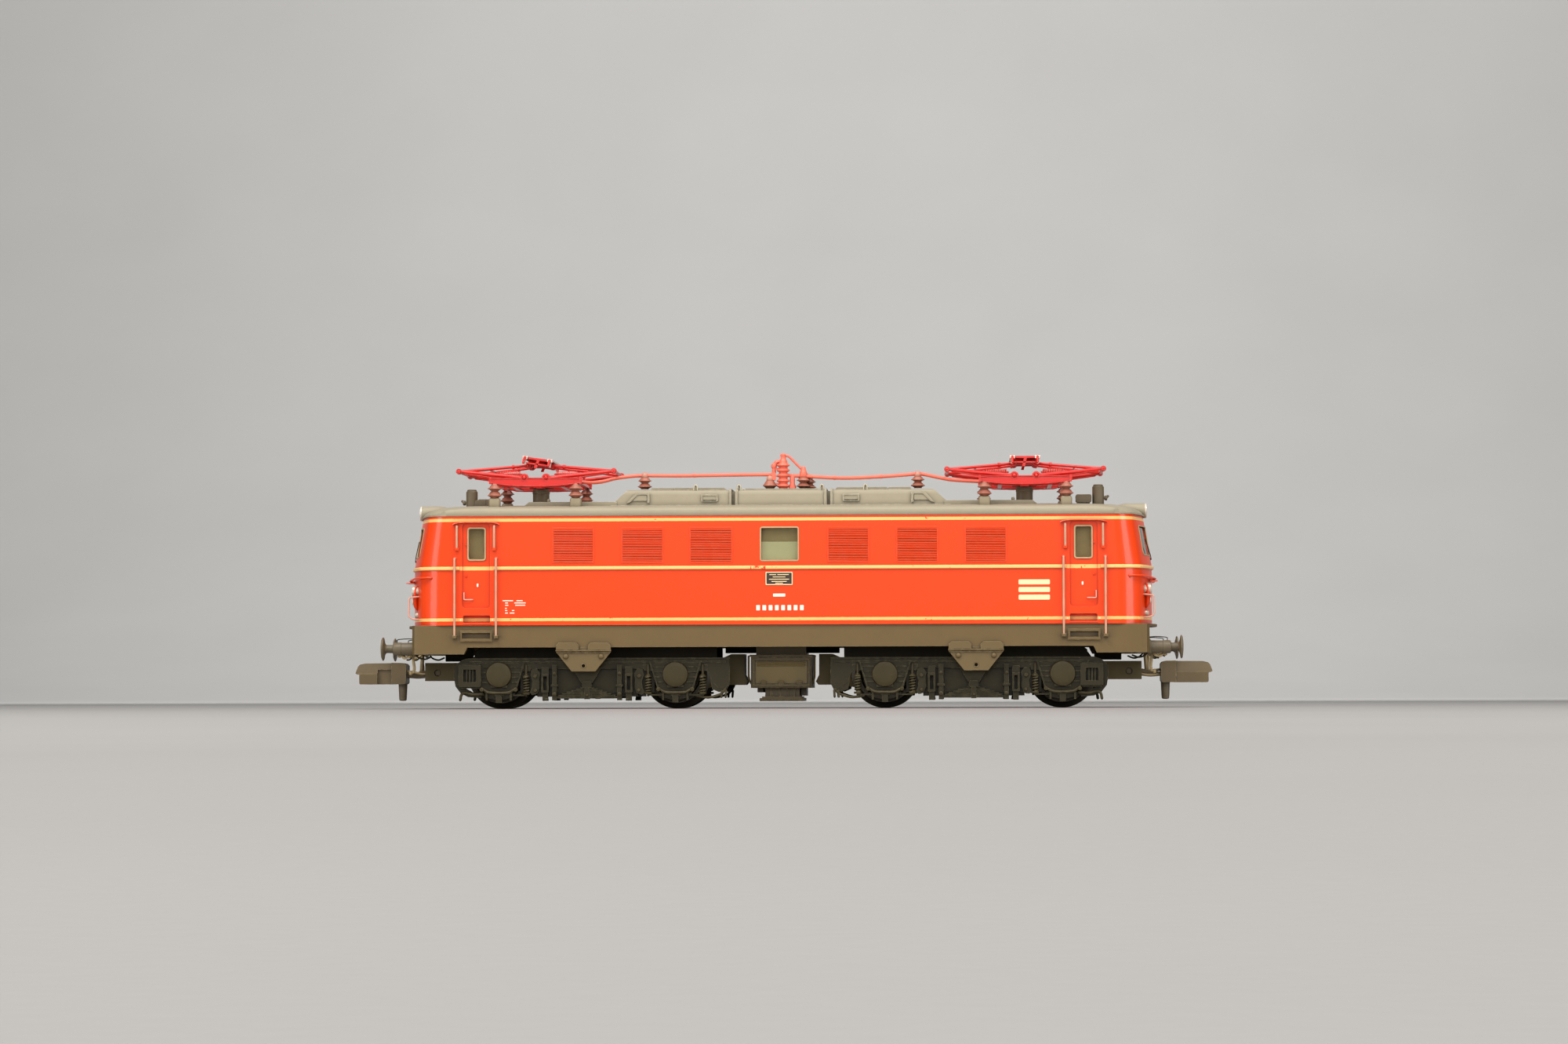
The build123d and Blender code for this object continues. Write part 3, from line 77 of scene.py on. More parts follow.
# ---------------------------------------------------------------- materials
class Graph:
    """Shorthand for building a node tree."""

    def __init__(self, material):
        material.use_nodes = True
        self.tree = material.node_tree
        self.tree.nodes.clear()

    def node(self, kind, **settings):
        made = self.tree.nodes.new(kind)
        for name, value in settings.items():
            setattr(made, name, value)
        return made

    def link(self, output, socket):
        self.tree.links.new(output, socket)

    def feed(self, socket, value):
        """Links an output, or sets a number or an RGB colour."""
        if hasattr(value, "links"):
            self.link(value, socket)
        elif isinstance(value, tuple):
            socket.default_value = value + (1.0,)
        else:
            socket.default_value = value

    def math(self, operation, *values, clamp=False):
        made = self.node("ShaderNodeMath", operation=operation, use_clamp=clamp)
        for i, value in enumerate(values):
            self.feed(made.inputs[i], value)
        return made.outputs[0]

    def sway(self, noise, amount, base, clamp=False):
        """The base value, moved up and down by a noise centred on 0.5."""
        centred = self.math("SUBTRACT", noise, 0.5)
        return self.math("MULTIPLY_ADD", centred, amount, base, clamp=clamp)

    def mix(self, factor, first, second, mode="MIX"):
        made = self.node("ShaderNodeMix", data_type="RGBA", blend_type=mode)
        # inputs 6 and 7 and output 2 are the colour sockets
        for i, value in ((0, factor), (6, first), (7, second)):
            self.feed(made.inputs[i], value)
        return made.outputs[2]

    def ramp(self, value, low, high):
        made = self.node("ShaderNodeMapRange", clamp=True)
        made.inputs[1].default_value = low
        made.inputs[2].default_value = high
        self.link(value, made.inputs[0])
        return made.outputs[0]

    def noise(self, place, scale, detail, rough):
        made = self.node("ShaderNodeTexNoise")
        made.inputs["Scale"].default_value = scale
        made.inputs["Detail"].default_value = detail
        made.inputs["Roughness"].default_value = rough
        self.link(place, made.inputs["Vector"])
        return made.outputs["Fac"]

    def place_mm(self):
        """Object coordinates in millimetres."""
        coords = self.node("ShaderNodeTexCoord")
        scaled = self.node("ShaderNodeVectorMath", operation="SCALE")
        scaled.inputs[3].default_value = 1 / MM
        self.link(coords.outputs["Object"], scaled.inputs[0])
        return scaled.outputs[0]

    def split(self, place):
        made = self.node("ShaderNodeSeparateXYZ")
        self.link(place, made.inputs[0])
        return made.outputs


MAT = {}
# colour that hollows darken to unless a material gives its own: dirt and painted shade
GRIME_AND_SHADE = (0.03, 0.025, 0.02)


def add_dirt_and_shade(graph, colour, mid, dirt, amount):
    """Darkens the corners that the ambient occlusion finds: dirt and painted shade."""
    occlusion = graph.node("ShaderNodeAmbientOcclusion", samples=6)
    occlusion.inputs["Distance"].default_value = 0.7 * MM
    hollow = graph.math("SUBTRACT", 1.0, occlusion.outputs["AO"], clamp=True)
    patchy = graph.math("MULTIPLY_ADD", mid, 1.1, 0.35)
    hollow = graph.math("MULTIPLY", hollow, patchy, clamp=True)
    hollow = graph.math("MULTIPLY", hollow, amount * 2.0, clamp=True)
    return graph.mix(hollow, colour, dirt)


def add_wear_and_highlight(graph, colour, mid, wear, amount):
    """Lightens edges where the bevelled normal leaves the true one: rubbed paint and a painted
    highlight.
    """
    bevel = graph.node("ShaderNodeBevel", samples=4)
    bevel.inputs["Radius"].default_value = 0.10 * MM
    geometry = graph.node("ShaderNodeNewGeometry")
    dot = graph.node("ShaderNodeVectorMath", operation="DOT_PRODUCT")
    graph.link(bevel.outputs[0], dot.inputs[0])
    graph.link(geometry.outputs["Normal"], dot.inputs[1])
    edge = graph.math("SUBTRACT", 1.0, dot.outputs["Value"], clamp=True)
    edge = graph.ramp(edge, low=0.02, high=0.18)
    edge = graph.math("MULTIPLY", edge, graph.ramp(mid, low=0.42, high=0.62))
    edge = graph.math("MULTIPLY", edge, amount, clamp=True)
    return graph.mix(edge, colour, wear)


def surface(key, name, rgb, rough=0.45, metal=0.0, cloud=0.10, fine=0.05, dirt=GRIME_AND_SHADE,
            dirt_amt=0.35, wear=None, wear_amt=0.0, bump=0.012, grain=9.0, coat=0.0,
            spec=0.5, pattern=None, transmission=0.0, ior=1.45, sss=0.0):
    """Makes MAT[key]; colours are linear.

    cloud and fine are the slow and the close colour variation, bump the height of the
    relief in mm, grain the scale of its finest noise, and pattern a function that paints
    the base colour.
    """
    material = MAT[key] = bpy.data.materials.new(name)
    graph = Graph(material)
    output = graph.node("ShaderNodeOutputMaterial")
    shader = graph.node("ShaderNodeBsdfPrincipled")
    graph.link(shader.outputs[0], output.inputs[0])
    place = graph.place_mm()
    slow = graph.noise(place, scale=0.35, detail=3, rough=0.55)
    mid = graph.noise(place, scale=1.7, detail=4, rough=0.6)
    tiny = graph.noise(place, scale=grain, detail=2, rough=0.5)

    colour = pattern(graph, place, rgb) if pattern else graph.mix(0.0, rgb, rgb)
    shade = graph.sway(slow, amount=cloud * 2.4, base=1.0)
    shade = graph.sway(mid, amount=fine * 2.4, base=shade)
    grey = graph.node("ShaderNodeCombineColor")
    for i in range(3):
        graph.link(shade, grey.inputs[i])
    colour = graph.mix(1.0, colour, grey.outputs[0], "MULTIPLY")
    # hollows are darkened: dirt and painted shade
    if dirt_amt > 0:
        colour = add_dirt_and_shade(graph, colour, mid, dirt, dirt_amt)
    # edges are lightened: rubbed paint and a painted highlight
    if wear:
        colour = add_wear_and_highlight(graph, colour, mid, wear, wear_amt)
    graph.link(colour, shader.inputs["Base Color"])

    gloss = graph.sway(mid, amount=0.25, base=rough, clamp=True)
    gloss = graph.sway(tiny, amount=0.12, base=gloss, clamp=True)
    graph.link(gloss, shader.inputs["Roughness"])
    for socket, value in (
            ("Metallic", metal), ("IOR", ior), ("Specular IOR Level", spec),
            ("Coat Weight", coat), ("Coat Roughness", 0.12),
            ("Transmission Weight", transmission), ("Subsurface Weight", sss)):
        shader.inputs[socket].default_value = value
    if sss:
        shader.inputs["Subsurface Radius"].default_value = (0.4 * MM, 0.15 * MM, 0.1 * MM)

    relief = graph.node("ShaderNodeBump")
    relief.inputs["Strength"].default_value = 0.6
    relief.inputs["Distance"].default_value = bump * MM
    height = graph.math("ADD", tiny, graph.math("MULTIPLY", mid, 0.8))
    graph.link(height, relief.inputs["Height"])
    graph.link(relief.outputs[0], shader.inputs["Normal"])


def srgb(*channels):
    """8-bit sRGB to linear."""
    def linear(value):
        value = value / 255
        return value / 12.92 if value <= 0.04045 else ((value + 0.055) / 1.055) ** 2.4
    return tuple(linear(value) for value in channels)


def paint(key, name, rgb, **looks):
    """A surface whose colours are given in 8-bit sRGB."""
    for tint in ("dirt", "wear"):
        if tint in looks:
            looks[tint] = srgb(*looks[tint])
    surface(key, name, srgb(*rgb), **looks)


RED = (242, 68, 9)
CREAM = (250, 198, 118)
CREAM_LINES = ((9.82, 10.17), (15.87, 16.31), (21.63, 21.99))  # lower and upper height


def stripes(graph, place, rgb):
    """Body paint: cream lines at their heights, with wavy edges and small chips."""
    z = graph.split(place)[2]
    flakes = graph.noise(place, scale=1.2, detail=4, rough=0.65)
    ripple = graph.noise(place, scale=2.5, detail=2, rough=0.5)
    height = graph.sway(ripple, amount=0.05, base=z)

    def band(low, high):
        above = graph.math("GREATER_THAN", height, low)
        below = graph.math("LESS_THAN", height, high)
        return graph.math("MULTIPLY", above, below)

    bottom, belt, top = CREAM_LINES
    lines = graph.math("ADD", band(*bottom), band(*belt))
    lines = graph.math("ADD", lines, band(*top), clamp=True)
    whole = graph.math("LESS_THAN", flakes, 0.66)
    lines = graph.math("MULTIPLY", lines, whole)
    return graph.mix(lines, rgb, srgb(*CREAM))


def chipped_belt(graph, place, rgb):
    """Belt paint: chipped to red all over, and ragged on a short stretch at -y."""
    x, y, _ = graph.split(place)
    flakes = graph.noise(place, scale=2.2, detail=4, rough=0.7)
    chip = graph.math("GREATER_THAN", flakes, 0.685)
    after = graph.math("GREATER_THAN", x, -3.4)
    before = graph.math("LESS_THAN", x, -1.6)
    inside = graph.math("MULTIPLY", after, before)
    ragged = graph.math("GREATER_THAN", graph.noise(place, scale=1.6, detail=3, rough=0.6), 0.50)
    worn = graph.math("MULTIPLY", inside, ragged)
    gone = graph.math("MULTIPLY", worn, graph.math("LESS_THAN", y, 0.0))
    bare = graph.math("ADD", chip, gone, clamp=True)
    return graph.mix(bare, rgb, srgb(*RED))


def make_materials():
    # red paint: the pale orange goes onto edges and corners as a painted highlight with some
    # rubbed paint, the dark red into hollows as painted shade and dirt
    red_coat = dict(rough=0.40, cloud=0.03, fine=0.025, dirt=(120, 22, 8), bump=0.006, grain=14,
                    coat=0.30, spec=0.30, wear=(255, 150, 110))
    paint("body_red", "paint_body_red", RED, dirt_amt=0.45, wear_amt=0.25, pattern=stripes,
          **red_coat)
    paint("plain_red", "paint_plain_red", RED, dirt_amt=0.5, wear_amt=0.3, **red_coat)
    paint("cream", "paint_cream", (255, 206, 122), cloud=0.05, dirt=(170, 90, 30), dirt_amt=0.3,
          bump=0.006, grain=12)
    decal = dict(rough=0.5, cloud=0.03, fine=0.03, dirt_amt=0.0, bump=0.003, grain=16)
    paint("decal_cream", "decal_cream", (252, 226, 176), **decal)
    # roof: the pale edge colour is a painted highlight on the rims, with some rubbed paint
    paint("roof_grey", "paint_roof", (156, 147, 125), rough=0.55, cloud=0.06, dirt=(60, 54, 40),
          dirt_amt=0.45, grain=11, wear=(228, 222, 204), wear_amt=0.7)
    paint("skirt_olive", "paint_skirt", (104, 84, 48), rough=0.5, cloud=0.06, fine=0.06,
          dirt=(40, 30, 16), dirt_amt=0.5, grain=11, wear=(200, 178, 130), wear_amt=0.5)
    paint("bogie_olive", "paint_bogie", (44, 39, 20), rough=0.52, spec=0.3, cloud=0.12,
          fine=0.10, dirt=(18, 16, 11), dirt_amt=0.5, bump=0.014, wear=(130, 124, 90),
          wear_amt=0.55)
    paint("cast_metal", "cast_zinc", (54, 50, 42), rough=0.6, metal=0.5, fine=0.1, dirt_amt=0.3,
          bump=0.03, grain=6)
    paint("screw_steel", "steel_screw", (170, 168, 162), rough=0.35, metal=1.0, cloud=0.05,
          dirt_amt=0.4, bump=0.004, grain=20)
    paint("board_green", "solder_mask", (24, 92, 48), rough=0.4, dirt_amt=0.2, bump=0.004,
          coat=0.3)
    paint("can_steel", "plated_can", (190, 190, 190), rough=0.3, metal=1.0, cloud=0.05,
          dirt_amt=0.3, bump=0.004)
    paint("brush_carbon", "carbon", (40, 40, 42), rough=0.6, dirt_amt=0.1, bump=0.01)
    paint("bearing_bronze", "bronze", (190, 140, 80), rough=0.4, metal=1.0, cloud=0.08,
          dirt_amt=0.3, bump=0.006)
    surface("window_clear", "clear_moulding", (0.80, 0.86, 0.80), rough=0.06, cloud=0.02,
            fine=0.02, dirt_amt=0.0, bump=0.002, grain=3, transmission=1.0, ior=1.35)
    paint("lens_white", "lamp_moulding", (240, 226, 205), rough=0.25, cloud=0.04,
          dirt=(110, 70, 50), dirt_amt=0.4, bump=0.004, coat=0.4)
    paint("wire_pale", "pale_wire", (202, 160, 132), rough=0.4, cloud=0.12, fine=0.16,
          dirt=(200, 60, 30), dirt_amt=0.4, bump=0.01, wear=(220, 70, 40), wear_amt=0.5)
    paint("buffer_grey", "buffer_plastic", (104, 92, 70), rough=0.42, fine=0.08,
          dirt=(30, 26, 18), dirt_amt=0.5, bump=0.01, wear=(190, 180, 150), wear_amt=0.6)
    paint("hose_cream", "hose_plastic", (170, 148, 104), rough=0.5, fine=0.08,
          dirt=(60, 46, 24), dirt_amt=0.5, bump=0.01)
    paint("interior_grey", "cab_interior", (92, 88, 66), rough=0.6, dirt_amt=0.4, bump=0.01)
    paint("insulator_brown", "insulator_glaze", (168, 102, 82), rough=0.35, cloud=0.12,
          fine=0.1, dirt=(50, 22, 16), dirt_amt=0.6, bump=0.006, coat=0.3,
          wear=(220, 170, 150), wear_amt=0.5)
    paint("busbar_coral", "coral_moulding", (244, 116, 92), rough=0.38, cloud=0.05,
          dirt=(150, 25, 15), dirt_amt=0.4, bump=0.006, coat=0.2, sss=0.15,
          wear=(255, 170, 150), wear_amt=0.4)
    paint("panto_red", "paint_panto", (214, 28, 18), rough=0.33, cloud=0.07, fine=0.06,
          dirt=(90, 5, 5), dirt_amt=0.45, bump=0.006, coat=0.3, wear=(255, 120, 100),
          wear_amt=0.5)
    paint("spring_red", "paint_spring", (226, 62, 48), rough=0.35, cloud=0.08, fine=0.08,
          dirt=(100, 10, 8), dirt_amt=0.4, bump=0.004, wear=(255, 200, 190), wear_amt=0.6)
    paint("shaft_steel", "ground_steel", (190, 190, 192), rough=0.22, metal=1.0, cloud=0.04,
          dirt_amt=0.2, bump=0.003, grain=20)
    paint("armature_copper", "armature", (150, 96, 66), rough=0.4, metal=0.7, cloud=0.12,
          dirt_amt=0.3, bump=0.01)
    paint("flywheel_brass", "turned_brass", (206, 168, 92), rough=0.25, metal=1.0, cloud=0.05,
          dirt_amt=0.2, bump=0.004)
    paint("worm_black", "black_acetal", (38, 38, 40), rough=0.4, cloud=0.08, dirt_amt=0.1,
          bump=0.004)
    paint("gear_white", "white_acetal", (205, 200, 186), rough=0.42, cloud=0.05,
          dirt=(80, 70, 50), dirt_amt=0.4, bump=0.005)
    paint("wheel_steel", "blackened_wheel", (48, 42, 32), rough=0.42, metal=0.55, cloud=0.15,
          fine=0.12, dirt=(15, 12, 9), dirt_amt=0.5, bump=0.008, wear=(150, 140, 120),
          wear_amt=0.7)
    paint("pickup_bronze", "spring_bronze", (190, 130, 70), rough=0.35, metal=1.0,
          dirt_amt=0.3, bump=0.004)
    paint("coupler_beige", "coupler_plastic", (96, 81, 54), rough=0.5, fine=0.08,
          dirt=(50, 42, 24), dirt_amt=0.5, wear=(215, 195, 150), wear_amt=0.5)
    paint("frame_cream", "window_frame", (186, 158, 116), rough=0.42, cloud=0.06,
          dirt=(110, 80, 50), dirt_amt=0.4, bump=0.005, wear=(245, 228, 196), wear_amt=0.5)
    paint("dark_plate", "dark_plate", (58, 44, 36), cloud=0.08, dirt_amt=0.0, bump=0.004)
    paint("dark_rubber", "dark_rubber", (40, 36, 30), rough=0.5, dirt_amt=0.2, bump=0.006)
    paint("metal_tip", "bright_tip", (225, 205, 190), rough=0.3, metal=0.7, cloud=0.08,
          dirt_amt=0.3, bump=0.005)
    paint("shade_panel", "shade_panel", (206, 174, 124), rough=0.6, cloud=0.05, dirt_amt=0.2,
          bump=0.004)
    paint("pale_panel", "pale_panel", (255, 238, 190), rough=0.5, cloud=0.04, fine=0.03,
          dirt_amt=0.1, bump=0.003)
    paint("belt", "belt_cream", (252, 204, 126), rough=0.38, cloud=0.03, fine=0.04,
          dirt=(190, 90, 30), dirt_amt=0.25, bump=0.006, grain=12, pattern=chipped_belt,
          coat=0.2)
    # door canopies: the pale pinkish edges are a painted highlight, with some rubbed paint
    paint("canopy", "canopy_red", RED, rough=0.4, spec=0.35, cloud=0.03, fine=0.03,
          dirt=(120, 22, 8), dirt_amt=0.4, bump=0.006, grain=14, coat=0.04,
          wear=(255, 214, 190), wear_amt=0.75)
    paint("window_dark", "window_dark", (52, 50, 38), rough=0.12, cloud=0.06, fine=0.02,
          dirt_amt=0.0, bump=0.001, grain=3, coat=0.6)
    paint("decal_white", "decal_white", (250, 240, 220), **decal)
    paint("wire_fine", "fine_wire", (222, 168, 148), rough=0.4, cloud=0.08, fine=0.10,
          dirt=(210, 70, 40), dirt_amt=0.3, bump=0.005)
    paint("lamp_ring", "lamp_ring", (216, 206, 190), rough=0.32, metal=0.25, cloud=0.06,
          dirt=(110, 70, 50), dirt_amt=0.5, bump=0.005)
    paint("cable_cream", "cable_cream", (196, 172, 124), rough=0.5, cloud=0.06,
          dirt=(60, 46, 24), dirt_amt=0.4, bump=0.006)
    paint("coupler_pale", "coupler_pale", (150, 130, 92), cloud=0.08, dirt=(60, 46, 24),
          dirt_amt=0.4, bump=0.008, wear=(230, 212, 170), wear_amt=0.5)
    paint("bogie_light", "bogie_light", (58, 50, 27), spec=0.3, rough=0.5, cloud=0.12,
          fine=0.10, dirt=(22, 18, 12), dirt_amt=0.5, wear=(150, 142, 108), wear_amt=0.6)
    paint("box_olive", "box_olive", (76, 64, 36), rough=0.48, cloud=0.06, dirt=(34, 26, 14),
          dirt_amt=0.5, bump=0.01, wear=(190, 166, 116), wear_amt=0.55)
    paint("bracket", "bracket_olive", (104, 86, 52), rough=0.48, cloud=0.07, dirt=(38, 28, 15),
          dirt_amt=0.5, bump=0.01, wear=(205, 184, 136), wear_amt=0.6)
    # near-black for the bracket holes: the shade inside a hole, painted
    paint("hole_shade_black", "hole_shade_black", (16, 14, 10), rough=0.9, spec=0.05, cloud=0.05,
          dirt_amt=0.0, bump=0.002)
    # darker copy of the bogie olive: painted shade for parts that sit in shadow
    paint("bogie_shade_olive", "bogie_shade_olive", (30, 26, 17), rough=0.7, spec=0.15, dirt=(8, 7, 5),
          dirt_amt=0.4, bump=0.01)
    paint("roof_pale", "roof_pale", (190, 182, 158), rough=0.5, cloud=0.06, dirt=(80, 72, 56),
          dirt_amt=0.4, bump=0.008, wear=(228, 222, 204), wear_amt=0.5)
    # insulator feet: the pale edge colour is a painted highlight, with some rubbed paint
    paint("roof_foot", "roof_foot", (146, 134, 108), rough=0.5, cloud=0.08, dirt=(60, 44, 34),
          dirt_amt=0.5, bump=0.008, wear=(214, 192, 170), wear_amt=0.6)
    paint("roof_dark", "roof_dark", (98, 86, 64), rough=0.5, cloud=0.08, dirt=(44, 38, 28),
          dirt_amt=0.5, bump=0.01, wear=(208, 200, 176), wear_amt=0.6)
    paint("insulator_cap", "insulator_cap", (196, 140, 120), rough=0.4, dirt=(90, 30, 20),
          dirt_amt=0.5, bump=0.006, wear=(240, 210, 196), wear_amt=0.6)
    paint("box_lid", "box_lid", (104, 88, 48), cloud=0.07, dirt=(40, 32, 16), dirt_amt=0.5,
          bump=0.008)
    # lighter copy of the bogie olive for the gearbox: painted light on a part that sits in shade
    paint("gearbox_lit_olive", "gearbox_lit_olive", (86, 75, 46), rough=0.55, spec=0.3, fine=0.08,
          dirt=(24, 20, 13), dirt_amt=0.5)


# ---------------------------------------------------------------- paths and outlines
def span(sign, near, far):
    """Two distances from the middle, mirrored by the sign and put in rising order."""
    return sorted((sign * near, sign * far))


def spline_point(before, start, stop, after, t):
    """Catmull-Rom point between start and stop."""
    return 0.5 * ((2 * start) + (stop - before) * t
                  + (2 * before - 5 * start + 4 * stop - after) * t * t
                  + (3 * start - before - 3 * stop + after) * t ** 3)


def spline(points, steps=6):
    """Open Catmull-Rom curve through the points."""
    knots = [Vector(point) for point in points]
    curve = []
    for i in range(len(knots) - 1):
        start, stop = knots[i], knots[i + 1]
        before = knots[i - 1] if i > 0 else start * 2 - stop
        after = knots[i + 2] if i + 2 < len(knots) else stop * 2 - start
        curve += [spline_point(before, start, stop, after, k / steps) for k in range(steps)]
    return curve + [knots[-1]]


def spline_xz(points):
    curve = spline([(x, 0, z) for x, z in points], 5)
    return [(point.x, point.z) for point in curve]


def round_corners(points, radius, steps=5):
    """The line of points with its corners rounded."""
    knots = [Vector(point) for point in points]
    path = [knots[0]]
    for before, corner, after in zip(knots, knots[1:], knots[2:]):
        back, ahead = (before - corner), (after - corner)
        reach = min(radius, back.length * 0.45, ahead.length * 0.45)
        enter = corner + back.normalized() * reach
        leave = corner + ahead.normalized() * reach
        for k in range(steps + 1):
            t = k / steps
            path.append(enter * (1 - t) ** 2 + corner * 2 * t * (1 - t) + leave * t * t)
    path.append(knots[-1])
    return path


def rounded_rect(x_lo, x_hi, z_lo, z_hi, radius, steps=5, grow=0.0):
    """Outline with rounded corners; the x limits may come in either order."""
    x_lo, x_hi = sorted((x_lo, x_hi))
    x_lo, x_hi, z_lo, z_hi = x_lo - grow, x_hi + grow, z_lo - grow, z_hi + grow
    points = []
    for x, z, start in ((x_hi - radius, z_hi - radius, 0), (x_lo + radius, z_hi - radius, 90),
                        (x_lo + radius, z_lo + radius, 180), (x_hi - radius, z_lo + radius, 270)):
        for k in range(steps + 1):
            angle = math.radians(start + 90 * k / steps)
            points.append((x + radius * math.cos(angle), z + radius * math.sin(angle)))
    return points


def symmetric(half):
    """Section mirrored in y; half is (distance from the middle, height)."""
    return [(-y, z) for y, z in half] + [(y, z) for y, z in reversed(half)]


def barrel(end_radius, end_half, radius, half, bore=0):
    """Lathe profile of a chamfered cylinder about its own middle, hollow if it has a bore."""
    profile = [(bore, -end_half), (end_radius, -end_half), (radius, -half), (radius, half),
               (end_radius, end_half), (bore, end_half)]
    return profile + profile[:1] if bore else profile


# ---------------------------------------------------------------- mesh building
def mark_sharp(data, limit_degrees):
    """Marks open edges, and edges folded past the limit, as sharp."""
    mesh = bmesh.new()
    mesh.from_mesh(data)
    limit = math.radians(limit_degrees)
    for edge in mesh.edges:
        edge.smooth = len(edge.link_faces) == 2 and edge.calc_face_angle(0.0) < limit
    mesh.to_mesh(data)
    mesh.free()


class Piece:
    """A mesh under construction, in millimetres."""

    def __init__(self):
        self.mesh = bmesh.new()

    def ring(self, points):
        return [self.mesh.verts.new(point) for point in points]

    def face(self, corners):
        self.mesh.faces.new(corners)

    def skin(self, outlines, closed=False):
        """Skin over closed outlines of equal point count; closed joins last to first."""
        rings = [self.ring(outline) for outline in outlines]
        if closed:
            rings.append(rings[0])
        for lower, upper in zip(rings[:-1], rings[1:]):
            for i in range(len(lower)):
                j = (i + 1) % len(lower)
                self.face([lower[i], lower[j], upper[j], upper[i]])
        return rings

    def box(self, x_a, x_b, y_a, y_b, z_a, z_b):
        """Each pair of limits may come in either order."""
        corners = self.ring((x, y, z) for x in sorted((x_a, x_b)) for y in sorted((y_a, y_b))
                            for z in sorted((z_a, z_b)))
        for face in ((0, 1, 3, 2), (4, 6, 7, 5), (0, 4, 5, 1), (2, 3, 7, 6), (0, 2, 6, 4),
                     (1, 5, 7, 3)):
            self.face([corners[k] for k in face])

    def prism(self, points, start, stop, axis="y"):
        """Polygon in XZ drawn out along y, or in YZ drawn out along x."""
        start, stop = sorted((start, stop))
        if axis == "x":
            low = self.ring((start, y, z) for y, z in points)
            high = self.ring((stop, y, z) for y, z in points)
        else:
            low = self.ring((x, start, z) for x, z in points)
            high = self.ring((x, stop, z) for x, z in points)
        self.face(low)
        self.face(list(reversed(high)))
        for i in range(len(low)):
            j = (i + 1) % len(low)
            self.face([low[j], low[i], high[i], high[j]])

    def frame(self, outer, inner, y_a, y_b, closed=True):
        """Frame between two XZ outlines of equal point count; if not closed, a U."""
        y_lo, y_hi = sorted((y_a, y_b))
        out_lo, out_hi, in_lo, in_hi = (
            self.ring((x, y, z) for x, z in outline)
            for outline, y in ((outer, y_lo), (outer, y_hi), (inner, y_lo), (inner, y_hi)))
        count = len(outer)
        for i in range(count if closed else count - 1):
            j = (i + 1) % count
            self.face([out_lo[i], out_lo[j], out_hi[j], out_hi[i]])
            self.face([in_lo[i], in_hi[i], in_hi[j], in_lo[j]])
            self.face([out_lo[i], in_lo[i], in_lo[j], out_lo[j]])
            self.face([out_hi[i], out_hi[j], in_hi[j], in_hi[i]])
        if not closed:
            self.face([out_lo[0], out_hi[0], in_hi[0], in_lo[0]])
            self.face([out_lo[-1], in_lo[-1], in_hi[-1], out_hi[-1]])

    def sleeve(self, first, second):
        """Faces between two rings of a turned or swept shape; a ring may be one point."""
        count = max(len(first), len(second))
        if count == 1:
            return
        for i in range(count):
            j = (i + 1) % count
            if len(first) == 1:
                self.face([first[0], second[i], second[j]])
            elif len(second) == 1:
                self.face([first[i], second[0], first[j]])
            else:
                self.face([first[i], second[i], second[j], first[j]])

    def lathe(self, profile, origin, axis, seg):
        """Profile of (radius, height along the axis), turned about the axis."""
        axis = Vector(axis).normalized()
        helper = Vector(Z_AXIS) if abs(axis.z) < 0.9 else Vector(X_AXIS)
        across = axis.cross(helper).normalized()
        other = axis.cross(across).normalized()
        angles = [2 * math.pi * k / seg for k in range(seg)]
        spokes = [across * math.cos(angle) + other * math.sin(angle) for angle in angles]
        rings = []
        for radius, height in profile:
            centre = Vector(origin) + axis * height
            on_axis = radius <= 1e-6
            rings.append(self.ring([centre] if on_axis else
                                   [centre + spoke * radius for spoke in spokes]))
        for first, second in zip(rings[:-1], rings[1:]):
            self.sleeve(first, second)

    def knob(self, origin, axis, start, shoulder, top, radius, top_radius, seg):
        """Short cylinder with a chamfered top."""
        self.lathe([(0, start), (radius, start), (radius, shoulder), (top_radius, top), (0, top)],
                   origin, axis, seg)

    def tube(self, points, radius, seg=10, cap=True):
        """Tube along a path, with domed ends. The radius may be a list spread along it."""
        path = [Vector(point) for point in points]
        count = len(path)
        radii = [radius] * count
        if isinstance(radius, list):
            last = len(radius) - 1
            for i in range(count):
                t = i * last / max(1, count - 1)
                k = min(int(t), last - 1)
                radii[i] = radius[k] + (radius[k + 1] - radius[k]) * (t - k)
        tangents = [(path[min(i + 1, count - 1)] - path[max(i - 1, 0)]).normalized()
                    for i in range(count)]
        helper = Vector(Y_AXIS) if abs(tangents[0].y) < 0.85 else Vector(Z_AXIS)
        across = tangents[0].cross(helper).normalized()
        angles = [2 * math.pi * k / seg for k in range(seg)]
        rings = []
        for centre, tangent, size in zip(path, tangents, radii):
            across = (across - tangent * across.dot(tangent)).normalized()
            other = tangent.cross(across).normalized()
            rings.append(self.ring(
                centre + (across * math.cos(angle) + other * math.sin(angle)) * size
                for angle in angles))
        if cap:
            for i, sign in ((0, -1), (count - 1, 1)):
                self.dome(rings[i], path[i], tangents[i] * sign, radii[i])
        for first, second in zip(rings[:-1], rings[1:]):
            self.sleeve(first, second)

    def dome(self, rim, centre, outward, radius):
        seg = len(rim)
        lower = rim
        for k in (1, 2):
            angle = math.pi / 2 * k / 3
            upper = self.ring(centre + (vert.co - centre) * math.cos(angle)
                              + outward * radius * math.sin(angle) for vert in rim)
            for i in range(seg):
                j = (i + 1) % seg
                self.face([lower[i], lower[j], upper[j], upper[i]])
            lower = upper
        tip = self.mesh.verts.new(centre + outward * radius)
        for i in range(seg):
            self.face([lower[i], lower[(i + 1) % seg], tip])

